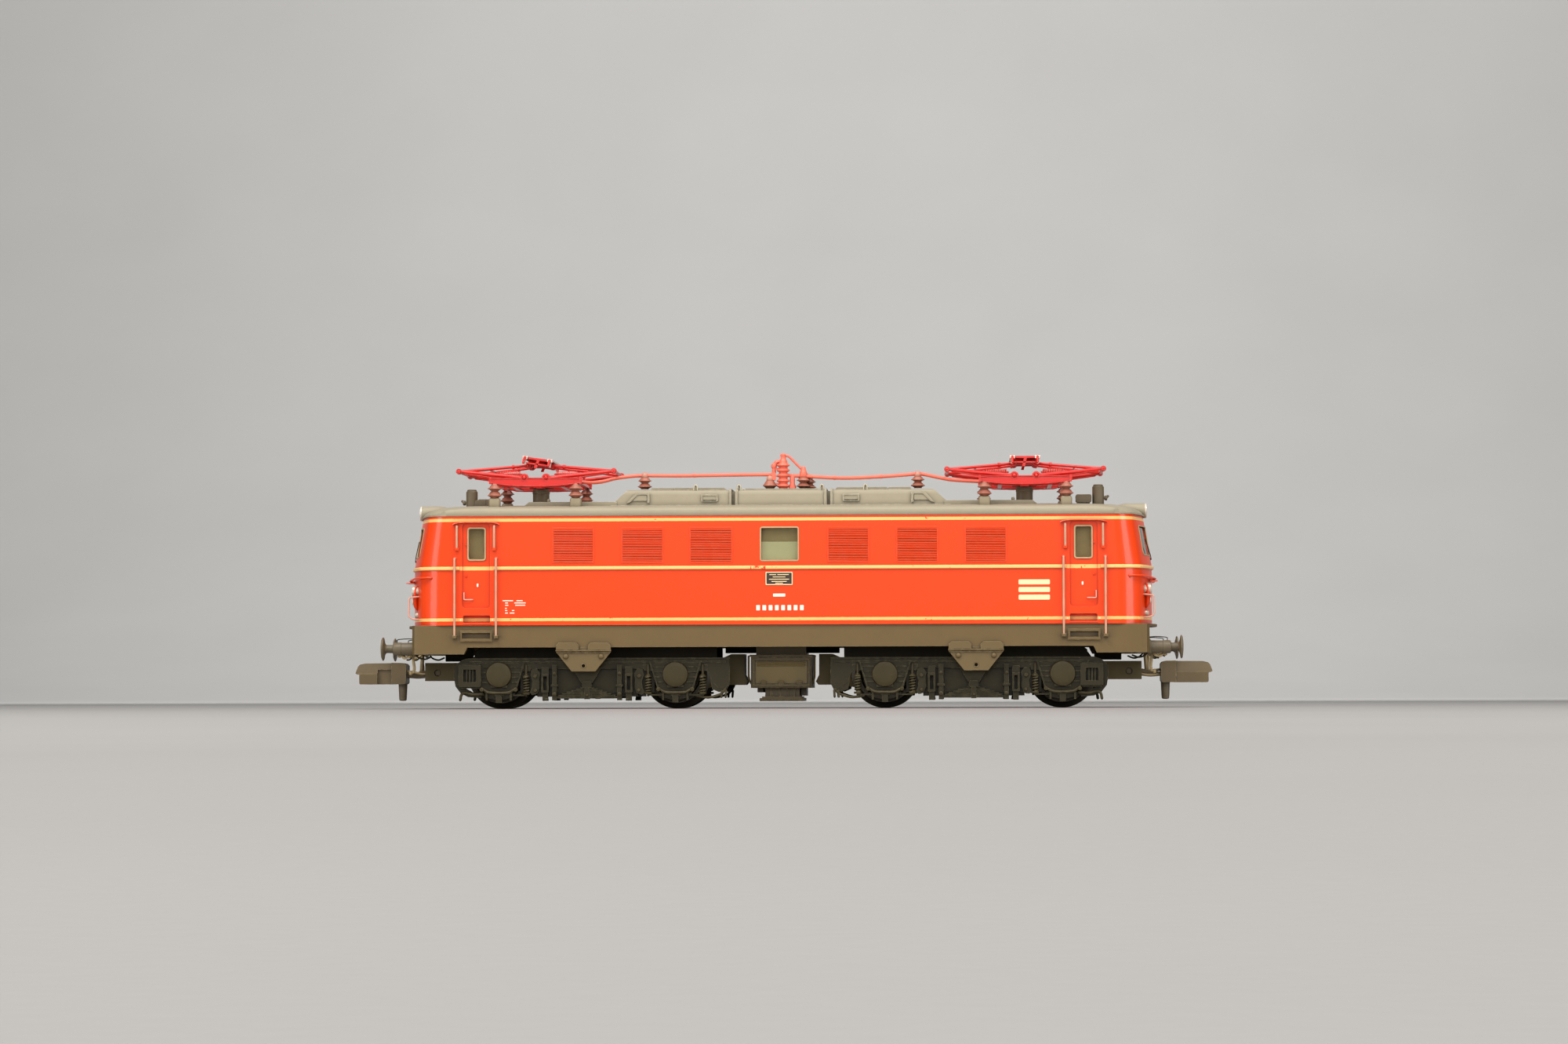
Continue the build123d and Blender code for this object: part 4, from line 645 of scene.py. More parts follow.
    def coil(self, start, stop, radius, wire, turns, seg, steps=14):
        start = Vector(start)
        axis = Vector(stop) - start
        length = axis.length
        axis.normalize()
        helper = Vector(Z_AXIS) if abs(axis.z) < 0.9 else Vector(X_AXIS)
        across = axis.cross(helper).normalized()
        other = axis.cross(across).normalized()
        count = int(turns * steps)
        path = []
        for i in range(count + 1):
            angle = 2 * math.pi * i / steps
            path.append(start + axis * length * i / count
                        + (across * math.cos(angle) + other * math.sin(angle)) * radius)
        self.tube(path, wire, seg=seg)

    def mark(self, side, x_a, x_b, z_lo, z_hi, y=9.6, thick=0.03, radius=0.02):
        """Thin round-cornered plate on a body side."""
        x_lo, x_hi = sorted((x_a, x_b))
        radius = min(radius, (x_hi - x_lo) / 2.2, (z_hi - z_lo) / 2.2)
        self.prism(rounded_rect(x_lo, x_hi, z_lo, z_hi, radius, 2),
                   side * (y - 0.02), side * (y + thick))

    def absorb(self, other):
        data = bpy.data.meshes.new("tmp")
        other.mesh.to_mesh(data)
        other.mesh.free()
        self.mesh.from_mesh(data)
        bpy.data.meshes.remove(data)

    def place_on_bogie(self, end):
        """Bogie pieces are drawn with the outer end at -x; at the +x end they turn round."""
        verts = self.mesh.verts
        if end > 0:
            bmesh.ops.rotate(self.mesh, verts=verts, cent=(0, 0, 0),
                             matrix=Matrix.Rotation(math.pi, 3, "Z"))
        bmesh.ops.translate(self.mesh, verts=verts, vec=(end * BOGIE_X, 0, 0))

    def recalc(self):
        bmesh.ops.recalc_face_normals(self.mesh, faces=self.mesh.faces)

    def finish(self, name, material, body="loco_frame", bevel=0.0, segments=2, smooth=35,
               replaces=None, slot=None, weld=False, angle=32):
        """Makes the object in metres, riding on a CAD body.
        The slot argument is not used."""
        if weld:
            bmesh.ops.remove_doubles(self.mesh, verts=self.mesh.verts, dist=0.0005)
        self.recalc()
        data = bpy.data.meshes.new(name)
        self.mesh.to_mesh(data)
        self.mesh.free()
        data.transform(Matrix.Scale(MM, 4))
        made = bpy.data.objects.new(name, data)
        bpy.context.scene.collection.objects.link(made)
        data.materials.append(MAT[material])
        for polygon in data.polygons:
            polygon.use_smooth = True
        mark_sharp(data, smooth)
        if bevel:
            rounding = made.modifiers.new("bevel", "BEVEL")
            rounding.width = bevel * MM
            rounding.segments = segments
            rounding.limit_method = "ANGLE"
            rounding.angle_limit = math.radians(angle)
            rounding.harden_normals = True
            rounding.miter_outer = "MITER_ARC"
        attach(made, body)
        if replaces:
            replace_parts(made, replaces)


def carving_object(piece):
    data = bpy.data.meshes.new("carving")
    piece.mesh.to_mesh(data)
    piece.mesh.free()
    made = bpy.data.objects.new("carving", data)
    bpy.context.scene.collection.objects.link(made)
    return made


def carve(base, *tools, operation="DIFFERENCE", recalc=True):
    """The base after an exact boolean with each tool in turn."""
    if recalc:
        base.recalc()
    target = carving_object(base)
    for tool in tools:
        tool.recalc()
        cutter = carving_object(tool)
        boolean = target.modifiers.new("cut", "BOOLEAN")
        boolean.operation = operation
        boolean.solver = "EXACT"
        boolean.object = cutter
        bpy.context.view_layer.update()
        depsgraph = bpy.context.evaluated_depsgraph_get()
        result = bpy.data.meshes.new_from_object(target.evaluated_get(depsgraph))
        target.modifiers.clear()
        target.data = result
        bpy.data.objects.remove(cutter)
    carved = Piece()
    carved.mesh.from_mesh(target.data)
    bpy.data.objects.remove(target)
    return carved


# ---------------------------------------------------------------- body shell
BODY_FOOT = 9.33
BELT_TOP = 16.32
ROOF_EDGE = 22.27
BODY_SIDE = 9.6   # y of the flat sides
WALL = 1.0

# Quarter plan of the end, (x, y) from the side round to the nose: at the belt and below,
# and at the roof edge.
PLAN_LOW = [(40.0, 9.6), (40.9, 9.42), (41.8, 9.0), (42.4, 8.55), (42.75, 8.1),
            (43.15, 7.0), (43.6, 5.4), (44.0, 3.6), (44.3, 1.8), (44.42, 0)]
PLAN_HIGH = [(39.5, 9.6), (40.3, 9.42), (41.0, 9.0), (41.45, 8.55), (41.75, 8.1),
             (42.15, 7.0), (42.55, 5.4), (42.95, 3.6), (43.25, 1.8), (43.38, 0)]


def quarter_curve(plan, steps=4):
    """Smooth quarter plan, led in along the side and mirrored past the nose."""
    extended = [(plan[0][0] - 1.2, plan[0][1])] + plan + [(plan[-2][0], -plan[-2][1])]
    knots = [Vector((x, y, 0)) for x, y in extended]
    curve = []
    for i in range(1, len(knots) - 2):
        for k in range(steps):
            point = spline_point(*knots[i - 1:i + 3], k / steps)
            curve.append((point.x, point.y))
    return curve + [(plan[-1][0], 0.0)]


def plan_loop(lean, offset=0.0):
    """Whole outline, counter-clockwise from (+x, 0), moved outwards by the offset.

    lean is 0 at the belt and below and 1 at the roof edge.
    """
    quarter = [(low[0] + (high[0] - low[0]) * lean, low[1] + (high[1] - low[1]) * lean)
               for low, high in zip(quarter_curve(PLAN_LOW), quarter_curve(PLAN_HIGH))]
    back = list(reversed(quarter))
    loop = (back + [(-x, y) for x, y in quarter] + [(-x, -y) for x, y in back][1:]
            + [(x, -y) for x, y in quarter][:-1])
    if not offset:
        return loop
    moved = []
    for i, (x, y) in enumerate(loop):
        before, after = loop[i - 1], loop[(i + 1) % len(loop)]
        run_x, run_y = after[0] - before[0], after[1] - before[1]
        length = math.hypot(run_x, run_y)
        moved.append((x + run_y / length * offset, y - run_x / length * offset))
    return moved


def at_height(loop, z):
    return [(x, y, z) for x, y in loop]


def end_x(y, z):
    """Distance from the middle to the body's end at a given y and z."""
    lean = max(0.0, (z - BELT_TOP) / (ROOF_EDGE - BELT_TOP))
    curve = [(low[0] + (high[0] - low[0]) * lean, low[1])
             for low, high in zip(PLAN_LOW, PLAN_HIGH)]
    y = abs(y)
    for (x_a, y_a), (x_b, y_b) in zip(curve[:-1], curve[1:]):
        if y_b <= y <= y_a:
            return x_a + (x_b - x_a) * (y_a - y) / (y_a - y_b)
    return curve[-1][0]


def on_end(end, y, z, out=0.0):
    return (end * (end_x(y, z) + out), y, z)


# Openings in a side: x limits, then z limits. The door window is mirrored to both ends.
WIN_SIDE = (-2.22, 2.30, 16.87, 20.86)
WIN_DOOR = (34.99, 36.95, 17.12, 20.84)
LOUVRES = [(-26.95, -21.95), (-18.75, -13.7), (-10.65, -5.5),
           (5.7, 10.7), (13.85, 18.85), (21.95, 26.95)]  # x limits
LOUVRE_FOOT, LOUVRE_TOP = 16.78, 20.92
SLATS = 19
SCREEN_Y = (0.7, 6.3)  # a windscreen's limits across, mirrored


def louvre_opening(x_lo, x_hi, steps):
    return rounded_rect(x_lo + 0.16, x_hi - 0.16, LOUVRE_FOOT + 0.02, LOUVRE_TOP - 0.27,
                        0.06, steps)


def make_body():
    shell = Piece()
    walls = []
    for offset in (0.0, -WALL):
        walls.append(shell.skin([at_height(plan_loop(0, offset), BODY_FOOT),
                                 at_height(plan_loop(0, offset), BELT_TOP),
                                 at_height(plan_loop(1, offset), ROOF_EDGE)]))
    outer, inner = walls
    for i in range(len(outer[0])):
        j = (i + 1) % len(outer[0])
        shell.face([outer[0][i], inner[0][i], inner[0][j], outer[0][j]])
        shell.face([outer[-1][i], outer[-1][j], inner[-1][j], inner[-1][i]])

    recesses = Piece()
    for side in SIDES:
        for end in SIDES:
            # door leaf, and the oblong below it
            recesses.prism(rounded_rect(end * 34.35, end * 37.68, 11.39, 21.42, 0.42, 6),
                           side * 9.38, side * 10.4)
            recesses.prism(rounded_rect(end * 34.34, end * 37.58, 9.62, 10.51, 0.18, 4),
                           side * 8.95, side * 10.4)
        for x_lo, x_hi in LOUVRES:
            recesses.prism(louvre_opening(x_lo, x_hi, 2), side * 9.28, side * 10.4)
    openings = Piece()
    for side in SIDES:
        openings.prism(rounded_rect(*WIN_SIDE, 0.28), side * 7.5, side * 10.6)
        for end in SIDES:
            x_lo, x_hi, z_lo, z_hi = WIN_DOOR
            openings.prism(rounded_rect(end * x_lo, end * x_hi, z_lo, z_hi, 0.28),
                           side * 7.5, side * 10.6)
    for end, side in CORNERS:
        openings.prism(rounded_rect(*span(side, *SCREEN_Y), 17.5, 21.0, 0.45),
                       end * 40.4, end * 46, axis="x")
    shell = carve(shell, recesses, openings)
    bmesh.ops.remove_doubles(shell.mesh, verts=shell.mesh.verts, dist=0.002)
    shell.finish("body_shell_fine", "body_red", bevel=0.045, smooth=32, replaces="body_shell",
                 angle=40)


def make_louvres():
    slats, frames = Piece(), Piece()
    pitch = (LOUVRE_TOP - 0.27 - LOUVRE_FOOT - 0.02) / SLATS
    # slat section: y, share of the pitch above the slat's foot
    section = ((9.34, 1.02), (9.575, 0.97), (9.62, 0.80), (9.655, 0.34), (9.64, 0.26),
               (9.34, 0.30))
    for side in SIDES:
        for x_lo, x_hi in LOUVRES:
            outline = rounded_rect(x_lo - 0.02, x_hi + 0.02, LOUVRE_FOOT - 0.16,
                                   LOUVRE_TOP + 0.02, 0.14, 4)
            frames.frame(outline, louvre_opening(x_lo, x_hi, 4), side * 9.55, side * 9.66)
            for k in range(SLATS):
                z = LOUVRE_FOOT + 0.02 + pitch * k
                slats.prism([(side * y, z + pitch * rise) for y, rise in section],
                            x_lo + 0.14, x_hi - 0.14, axis="x")
    slats.finish("louvre_slats", "plain_red", smooth=28, slot="body_red")
    frames.finish("louvre_frames", "plain_red", bevel=0.04, smooth=30, slot="body_red")


def make_belt():
    """Raised belt moulding round the body, stopped each side of the doors."""
    # offset from the body, height
    section = [(-0.3, 15.86), (0.10, 15.87), (0.20, 15.93), (0.235, 16.05), (0.22, 16.20),
               (0.12, 16.29), (-0.3, BELT_TOP)]
    belt = Piece()
    belt.skin([at_height(plan_loop(0, offset), z) for offset, z in section], closed=True)
    gaps = Piece()
    for side, end in CORNERS:
        gaps.box(end * 33.9, end * 38.0, side * 8.9, side * 10.4, 15.4, 16.8)
    carve(belt, gaps).finish("belt_moulding", "belt", smooth=40, slot="body_red", weld=True)


def make_canopies():
    top = [(33.22, 21.36), (33.5, 21.50), (33.95, 21.60), (34.6, 21.63),
           (37.4, 21.63), (38.05, 21.60), (38.5, 21.50), (38.78, 21.36)]  # x, z
    bottom = [(x, z - 0.13) for x, z in reversed(top)]
    canopies = Piece()
    for side, end in CORNERS:
        canopies.prism([(end * x, z) for x, z in top + bottom], side * 9.5, side * 10.0)
    canopies.finish("door_canopies", "canopy", bevel=0.035, smooth=30, slot="body_red")


def make_side_windows():
    frames, glass, shades, backs = Piece(), Piece(), Piece(), Piece()
    for side in SIDES:
        x_lo, x_hi, z_lo, z_hi = WIN_SIDE
        frames.frame(rounded_rect(*WIN_SIDE, 0.30, grow=0.06),
                     rounded_rect(x_lo + 0.10, x_hi - 0.10, z_lo + 0.10, z_hi - 0.12, 0.14),
                     side * 9.38, side * 9.66)
        glass.prism(rounded_rect(*WIN_SIDE, 0.2, 3, grow=0.1), side * 9.30, side * 9.42)
        # a low pale shade, and a panel behind the upper part
        shades.prism(rounded_rect(x_lo - 0.6, x_hi + 0.6, z_lo - 0.6, z_lo + 2.28, 0.05, 2),
                     side * 8.95, side * 9.08)
        backs.prism(rounded_rect(x_lo - 0.6, x_hi + 0.6, z_lo + 1.9, z_hi + 0.6, 0.05, 2),
                    side * 8.7, side * 8.82)
        for end in SIDES:
            z_lo, z_hi = WIN_DOOR[2:]
            opening = (*span(end, *WIN_DOOR[:2]), z_lo, z_hi)
            frames.frame(rounded_rect(*opening, 0.34, grow=0.13),
                         rounded_rect(*opening, 0.20, grow=-0.05), side * 9.30, side * 9.52)
            glass.prism(rounded_rect(*opening, 0.2, 3, grow=0.1), side * 9.24, side * 9.34)
            backs.prism(rounded_rect(end * 34.2, end * 37.8, z_lo - 0.5, z_hi + 0.5, 0.05, 2),
                        side * 8.6, side * 8.72)
    frames.finish("window_frames", "frame_cream", bevel=0.04, smooth=30, slot="lens_white")
    glass.finish("side_glass", "window_clear", bevel=0.02, segments=1, smooth=30,
                 replaces="side_windows")
    shades.finish("window_shades", "pale_panel", bevel=0.02, segments=1, smooth=30,
                  slot="interior_grey")
    backs.finish("window_back_panels", "shade_panel", bevel=0.02, segments=1, smooth=30,
                 slot="interior_grey")


def add_pane(panes, end, y_lo, y_hi):
    """Curved pane that follows the end of the body."""
    across, up = 12, 5  # cells
    grid = {}
    for layer, out in ((0, -0.22), (1, -0.34)):
        for i in range(across + 1):
            for j in range(up + 1):
                y = y_lo - 0.1 + (y_hi - y_lo + 0.2) * i / across
                z = 17.4 + 3.7 * j / up
                grid[layer, i, j] = panes.mesh.verts.new(on_end(end, y, z, out))
    for i in range(across):
        for j in range(up):
            panes.face([grid[0, i, j], grid[0, i + 1, j], grid[0, i + 1, j + 1],
                        grid[0, i, j + 1]])
            panes.face([grid[1, i, j], grid[1, i, j + 1], grid[1, i + 1, j + 1],
                        grid[1, i + 1, j]])
    edge = ([(i, 0) for i in range(across)] + [(across, j) for j in range(up)]
            + [(i, up) for i in range(across, 0, -1)] + [(0, j) for j in range(up, 0, -1)])
    for here, ahead in zip(edge, edge[1:] + edge[:1]):
        panes.face([grid[(0,) + here], grid[(1,) + here], grid[(1,) + ahead],
                    grid[(0,) + ahead]])


def add_screen_rim(rims, end, y_lo, y_hi):
    outline = rounded_rect(y_lo + 0.02, y_hi - 0.02, 17.52, 20.98, 0.42, 7)
    path = []
    for (y_a, z_a), (y_b, z_b) in zip(outline, outline[1:] + outline[:1]):
        steps = max(1, int(math.hypot(y_a - y_b, z_a - z_b) / 0.5))
        for k in range(steps):
            y, z = y_a + (y_b - y_a) * k / steps, z_a + (z_b - z_a) * k / steps
            path.append(on_end(end, y, z, 0.01))
    rims.tube(path + path[:1], 0.085, seg=8, cap=False)


def make_windscreens():
    panes, rims = Piece(), Piece()
    for end, side in CORNERS:
        y_lo, y_hi = span(side, *SCREEN_Y)
        add_pane(panes, end, y_lo, y_hi)
        add_screen_rim(rims, end, y_lo, y_hi)
    panes.finish("windscreen_glass", "window_dark", smooth=40, replaces="windscreens",
                 slot="window_clear")
    rims.finish("windscreen_rims", "frame_cream", smooth=60, slot="lens_white", weld=True)


def make_wipers():
    pivot_y, pivot_z = 1.2, 17.15
    wipers = Piece()
    for end, side in CORNERS:
        wipers.tube([on_end(end, side * (pivot_y + 3.0 * k / 8), pivot_z + 2.3 * k / 8, 0.13)
                     for k in range(9)], 0.05, seg=6)
        wipers.knob(on_end(end, side * pivot_y, pivot_z), (end, 0, 0), start=-0.05,
                    shoulder=0.10, top=0.16, radius=0.14, top_radius=0.08, seg=14)
    wipers.finish("wipers", "dark_rubber", smooth=50, slot="buffer_grey")


# ---------------------------------------------------------------- plain markings
# Lines on the builder's plate: z, x limits.
PLATE_LINES = ((15.22, -1.15, -0.35), (15.22, -0.2, 1.15), (14.95, -0.75, 0.75),
               (14.68, -1.2, 1.2), (14.41, -0.9, 0.9), (14.22, -0.45, 0.45))
# Small data blocks: z, then the start and end of each from DATA_X.
DATA_X = -32.85
DATA_ROWS = ((12.25, ((0, 1.25), (1.65, 2.4))), (11.98, ((0.3, 0.65), (1.4, 2.75))),
             (11.71, ((0.3, 0.7), (1.5, 2.7))), (11.35, ((0.3, 0.5),)),
             (11.08, ((0.3, 0.55), (1.1, 1.4))), (10.78, ((0.3, 0.62), (0.85, 1.4))))


def make_markings():
    cream, white, plate, rim = Piece(), Piece(), Piece(), Piece()
    for side in SIDES:
        flip = -side  # the marks read left to right from either side
        for z_lo, z_hi in ((13.95, 14.55), (13.05, 13.65), (12.15, 12.75)):
            cream.mark(side, flip * 28.3, flip * 32.0, z_lo, z_hi, radius=0.12)
        # a row of number blocks and the short bar above it
        for k in range(8):
            x = -2.72 + 0.74 * k
            white.mark(side, flip * x, flip * (x + 0.44), 11.0, 11.62, radius=0.05)
        white.mark(side, -0.72, 0.72, 12.62, 12.98, radius=0.05)
        # builder's plate with plain lines
        plate.mark(side, -1.55, 1.55, 14.05, 15.5, thick=0.06, radius=0.05)
        rim.frame(rounded_rect(-1.6, 1.6, 14.0, 15.55, 0.08, 3),
                  rounded_rect(-1.5, 1.5, 14.1, 15.45, 0.05, 3), side * 9.58, side * 9.69)
        for z, start, stop in PLATE_LINES:
            rim.mark(side, flip * start, flip * stop, z - 0.04, z + 0.04, y=9.66)
        for z, cells in DATA_ROWS:
            for start, stop in cells:
                white.mark(side, flip * (DATA_X + start), flip * (DATA_X + stop),
                           z - 0.055, z + 0.055)
        for end in SIDES:
            white.mark(side, end * 35.85 - 0.1, end * 35.85 + 0.1, 13.9, 14.3, y=9.45,
                       radius=0.05)
            for x in (34.05, 37.86):
                cream.mark(side, end * x - 0.11, end * x + 0.11, 9.84, 10.10, radius=0.1)
    cream.finish("plain_bars", "decal_cream", smooth=30, slot="lens_white")
    white.finish("plain_marks", "decal_white", smooth=30, slot="lens_white")
    plate.finish("plain_plate", "dark_plate", bevel=0.015, segments=1, smooth=30,
                 slot="interior_grey")
    rim.finish("plain_plate_rim", "decal_cream", smooth=30, slot="lens_white")


def make_door_details():
    fittings = Piece()
    for side, end in CORNERS:
        for z in (15.15, 18.9):
            fittings.knob((end * 37.2, side * 9.45, z), (0, side, 0), start=-0.02,
                          shoulder=0.08, top=0.12, radius=0.11, top_radius=0.06, seg=12)
        # step lip
        fittings.prism(rounded_rect(end * 34.3, end * 37.65, 9.46, 9.62, 0.06, 3),
                       side * 9.3, side * 9.68)
    fittings.finish("door_fittings", "plain_red", bevel=0.02, slot="body_red")


# ---------------------------------------------------------------- rails and lamps
RAIL_FOOT, RAIL_TOP = 7.98, 17.25


def add_long_rail(pale, olive, red, x, end, side):
    """Tall handrail beside a door, slightly uneven in thickness."""
    x_rail = end * x
    path = round_corners([(x_rail, side * 9.5, RAIL_TOP), (x_rail, side * 10.05, RAIL_TOP),
                          (x_rail, side * 10.05, RAIL_FOOT), (x_rail, side * 9.5, RAIL_FOOT)],
                         0.28)
    dense = [path[0]]
    for start, stop in zip(path[:-1], path[1:]):
        steps = max(1, int((stop - start).length / 0.6))
        dense += [start.lerp(stop, k / steps) for k in range(1, steps + 1)]
    pale.tube(dense, [0.125 + 0.012 * math.sin(i * 1.7 + x) for i in range(len(dense))])
    olive.box(x_rail - 0.24, x_rail + 0.24, side * 9.5, side * 10.16, RAIL_FOOT - 0.20,
              RAIL_FOOT + 0.14)
    red.knob((x_rail, side * 9.58, RAIL_TOP), (0, side, 0), start=0, shoulder=0.06, top=0.11,
             radius=0.24, top_radius=0.14, seg=14)


def add_side_rails(pale, red, olive, fine, end, side):
    for x in (33.61, 38.55):
        add_long_rail(pale, olive, red, x, end, side)
    for x in (33.83, 38.28):
        x_rail = end * x
        pale.tube(round_corners([(x_rail, side * 9.5, 21.1), (x_rail, side * 9.97, 21.1),
                                 (x_rail, side * 9.97, 18.45), (x_rail, side * 9.5, 18.45)],
                                0.22), 0.13)
        red.box(x_rail - 0.2, x_rail + 0.2, side * 9.5, side * 10.05, 18.22, 18.6)
    # L-shaped wire on the door
    x_wire = end * 37.45
    fine.tube(round_corners([(x_wire, side * 9.4, 13.2), (x_wire, side * 9.66, 13.2),
                             (x_wire, side * 9.68, 12.37), (end * 36.42, side * 9.68, 12.37),
                             (end * 36.42, side * 9.4, 12.37)], 0.12, 4), 0.075, seg=8)


def make_rails():
    pale, red, olive, fine = Piece(), Piece(), Piece(), Piece()
    # (x, y, z) of the bar round each nose corner
    nose_bar = ((41.45, 8.95, 14.72), (41.5, 9.35, 15.0), (42.55, 9.0, 15.0),
                (43.35, 7.9, 14.96), (43.9, 6.3, 14.88), (44.4, 4.4, 14.8),
                (44.72, 2.8, 14.75), (44.6, 2.4, 14.7), (44.1, 2.35, 14.7))
    # (x, z) of the upright wire on the end
    end_wire = ((42.7, 12.86), (44.32, 12.72), (44.40, 10.45), (43.9, 10.12), (42.7, 10.08))
    for end in SIDES:
        for side in SIDES:
            add_side_rails(pale, red, olive, fine, end, side)
        for side in SIDES:
            fine.tube(round_corners([(end * x, side * 6.95, z) for x, z in end_wire], 0.25),
                      0.10)
            red.tube(spline([(end * x, side * y, z) for x, y, z in nose_bar]), 0.125)
            red.box(end * 44.0, end * 44.9, side * 2.1, side * 5.2, 14.42, 14.52)
    pale.finish("side_handrails", "wire_pale", smooth=60, replaces="handrails")
    fine.finish("fine_wires", "wire_fine", smooth=60, slot="wire_pale")
    red.finish("red_grab_bars", "plain_red", bevel=0.03, smooth=50, slot="body_red")
    olive.finish("rail_feet", "skirt_olive", bevel=0.06, segments=3, smooth=50)


LAMP_Y = 6.0
HEADLAMP_Z = 23.0
# Upright lamp housing: z, half width, x reached at the front.
LAMP_HOUSING = ((11.15, 0.16, 43.45), (11.3, 0.38, 43.7), (11.6, 0.58, 43.88),
                (12.1, 0.68, 43.98), (12.7, 0.72, 44.0), (13.2, 0.72, 43.96),
                (13.7, 0.70, 43.9), (14.02, 0.52, 43.75), (14.14, 0.28, 43.5))
# Lamp profiles: radius, distance from the middle of the locomotive.
UPPER_RING = [(0, 42.9), (0.60, 42.9), (0.66, 43.1), (0.68, 43.9), (0.64, 44.04),
              (0.56, 44.06), (0.54, 43.96), (0, 43.96)]
UPPER_LENS = [(0, 43.9), (0.535, 43.9), (0.50, 44.02), (0.36, 44.10), (0.18, 44.14), (0, 44.15)]
MARKER_LENS = [(0, 43.9), (0.36, 43.9), (0.34, 44.03), (0.2, 44.08), (0, 44.09)]
LOW_RING = [(0, 42.7), (0.34, 42.7), (0.36, 42.9), (0.36, 43.55), (0.30, 43.72),
            (0.16, 43.8), (0, 43.82)]
HEAD_LENS = [(0, 43.2), (0.60, 43.2), (0.60, 43.62), (0.48, 43.74), (0.25, 43.80), (0, 43.82)]
HEAD_RING = [(0.60, 43.5), (0.66, 43.45), (0.86, 43.5), (0.90, 43.7), (0.86, 43.83),
             (0.72, 43.84), (0.62, 43.78), (0.60, 43.5)]


def add_lamp_housing(housings, end, y):
    back = end_x(LAMP_Y, 12) - 0.35
    angles = [2 * math.pi * k / 20 for k in range(20)]
    rings = housings.skin([
        [(end * (back + (front - back) * (0.5 + 0.5 * math.cos(angle)) ** 0.55),
          y + half_width * math.sin(angle), z) for angle in angles]
        for z, half_width, front in LAMP_HOUSING])
    housings.face(rings[0])
    housings.face(list(reversed(rings[-1])))


def make_lamps():
    housings, lenses, rings = Piece(), Piece(), Piece()
    for end in SIDES:
        axis = (end, 0, 0)
        for side in SIDES:
            y = side * LAMP_Y
            add_lamp_housing(housings, end, y)
            rings.lathe(UPPER_RING, (0, y, 13.48), axis, 28)
            lenses.lathe(UPPER_LENS, (0, y, 13.48), axis, 28)
            lenses.lathe(MARKER_LENS, (0, y, 12.15), axis, 24)
            rings.lathe(LOW_RING, (0, y, 10.62), axis, 22)
        lenses.lathe(HEAD_LENS, (0, 0, HEADLAMP_Z), axis, 28)
        rings.lathe(HEAD_RING, (0, 0, HEADLAMP_Z), axis, 30)
    housings.finish("lamp_housings", "plain_red", smooth=55, slot="body_red")
    rings.finish("lamp_rings", "lamp_ring", slot="lens_white", weld=True)
    lenses.finish("lamp_lenses", "lens_white", smooth=50, replaces="lamps")


# ---------------------------------------------------------------- buffers and hoses
BUFFER_Y, BUFFER_Z = 5.47, 6.6
# Buffer profile: radius, distance from the middle of the locomotive.
BUFFER = [(0, 43.6), (0.98, 43.6), (0.98, 43.9), (0.90, 43.98), (0.76, 44.05), (0.74, 45.4),
          (0.78, 45.45), (0.78, 46.25), (0.72, 46.38), (0.58, 46.42), (0.50, 46.42),
          (0.48, 47.2), (0.60, 47.36), (0.9, 47.46), (1.30, 47.54), (1.40, 47.60),
          (1.40, 47.70), (1.2, 47.80), (0.7, 47.86), (0, 47.875)]
# (x, y, z) of the thin pipe above a buffer sleeve
BUFFER_PIPE = ((43.7, 5.1, 7.75), (44.6, 5.0, 7.82), (45.4, 5.0, 7.78), (45.95, 5.1, 7.70),
               (46.0, 5.2, 7.40))


def make_buffers():
    buffers, pipes = Piece(), Piece()
    for end, side in CORNERS:
        axis, y = (end, 0, 0), side * BUFFER_Y
        buffers.lathe(BUFFER, (0, y, BUFFER_Z), axis, 40)
        for k in range(4):
            angle = math.radians(45 + 90 * k)
            buffers.knob((0, y + 0.80 * math.cos(angle), BUFFER_Z + 0.80 * math.sin(angle)),
                         axis, start=43.85, shoulder=43.99, top=44.03, radius=0.11,
                         top_radius=0.06, seg=8)
        pipes.tube(spline([(end * x, side * y, z) for x, y, z in BUFFER_PIPE], 5), 0.055, seg=6)
    buffers.finish("buffers_fine", "buffer_grey", bevel=0.015, segments=1, replaces="buffers",
                   weld=True)
    pipes.finish("buffer_pipes", "dark_rubber", smooth=60, slot="buffer_grey")


# Paths under the buffer beam. The hose and the cable lie in a plane: x, z.
HOSE_Y, CABLE_Y = 4.25, 4.95
HOSE = ((43.7, 6.35), (44.05, 6.32), (44.2, 6.0), (44.16, 5.2), (44.06, 4.4), (44.12, 3.92),
        (44.42, 3.72))
CABLE = ((43.8, 5.95), (44.25, 5.98), (44.7, 5.62), (45.1, 5.55), (45.55, 5.78), (45.85, 5.70))
INNER_LINK = ((43.6, 3.3, 6.0), (44.2, 3.3, 5.75), (44.7, 3.45, 5.35), (45.0, 3.7, 5.30))
OUTER_LINK = ((43.6, 6.9, 5.95), (43.2, 6.9, 5.55), (42.5, 6.8, 5.35), (41.8, 6.6, 5.6))
DRAW_HOOK = ((44.9, 6.1), (45.6, 6.2), (46.1, 5.95), (46.2, 5.45), (45.9, 5.1), (45.6, 5.2),
             (45.75, 5.5), (45.6, 5.72), (45.1, 5.62), (44.7, 5.75), (43.7, 5.75), (43.7, 6.1))


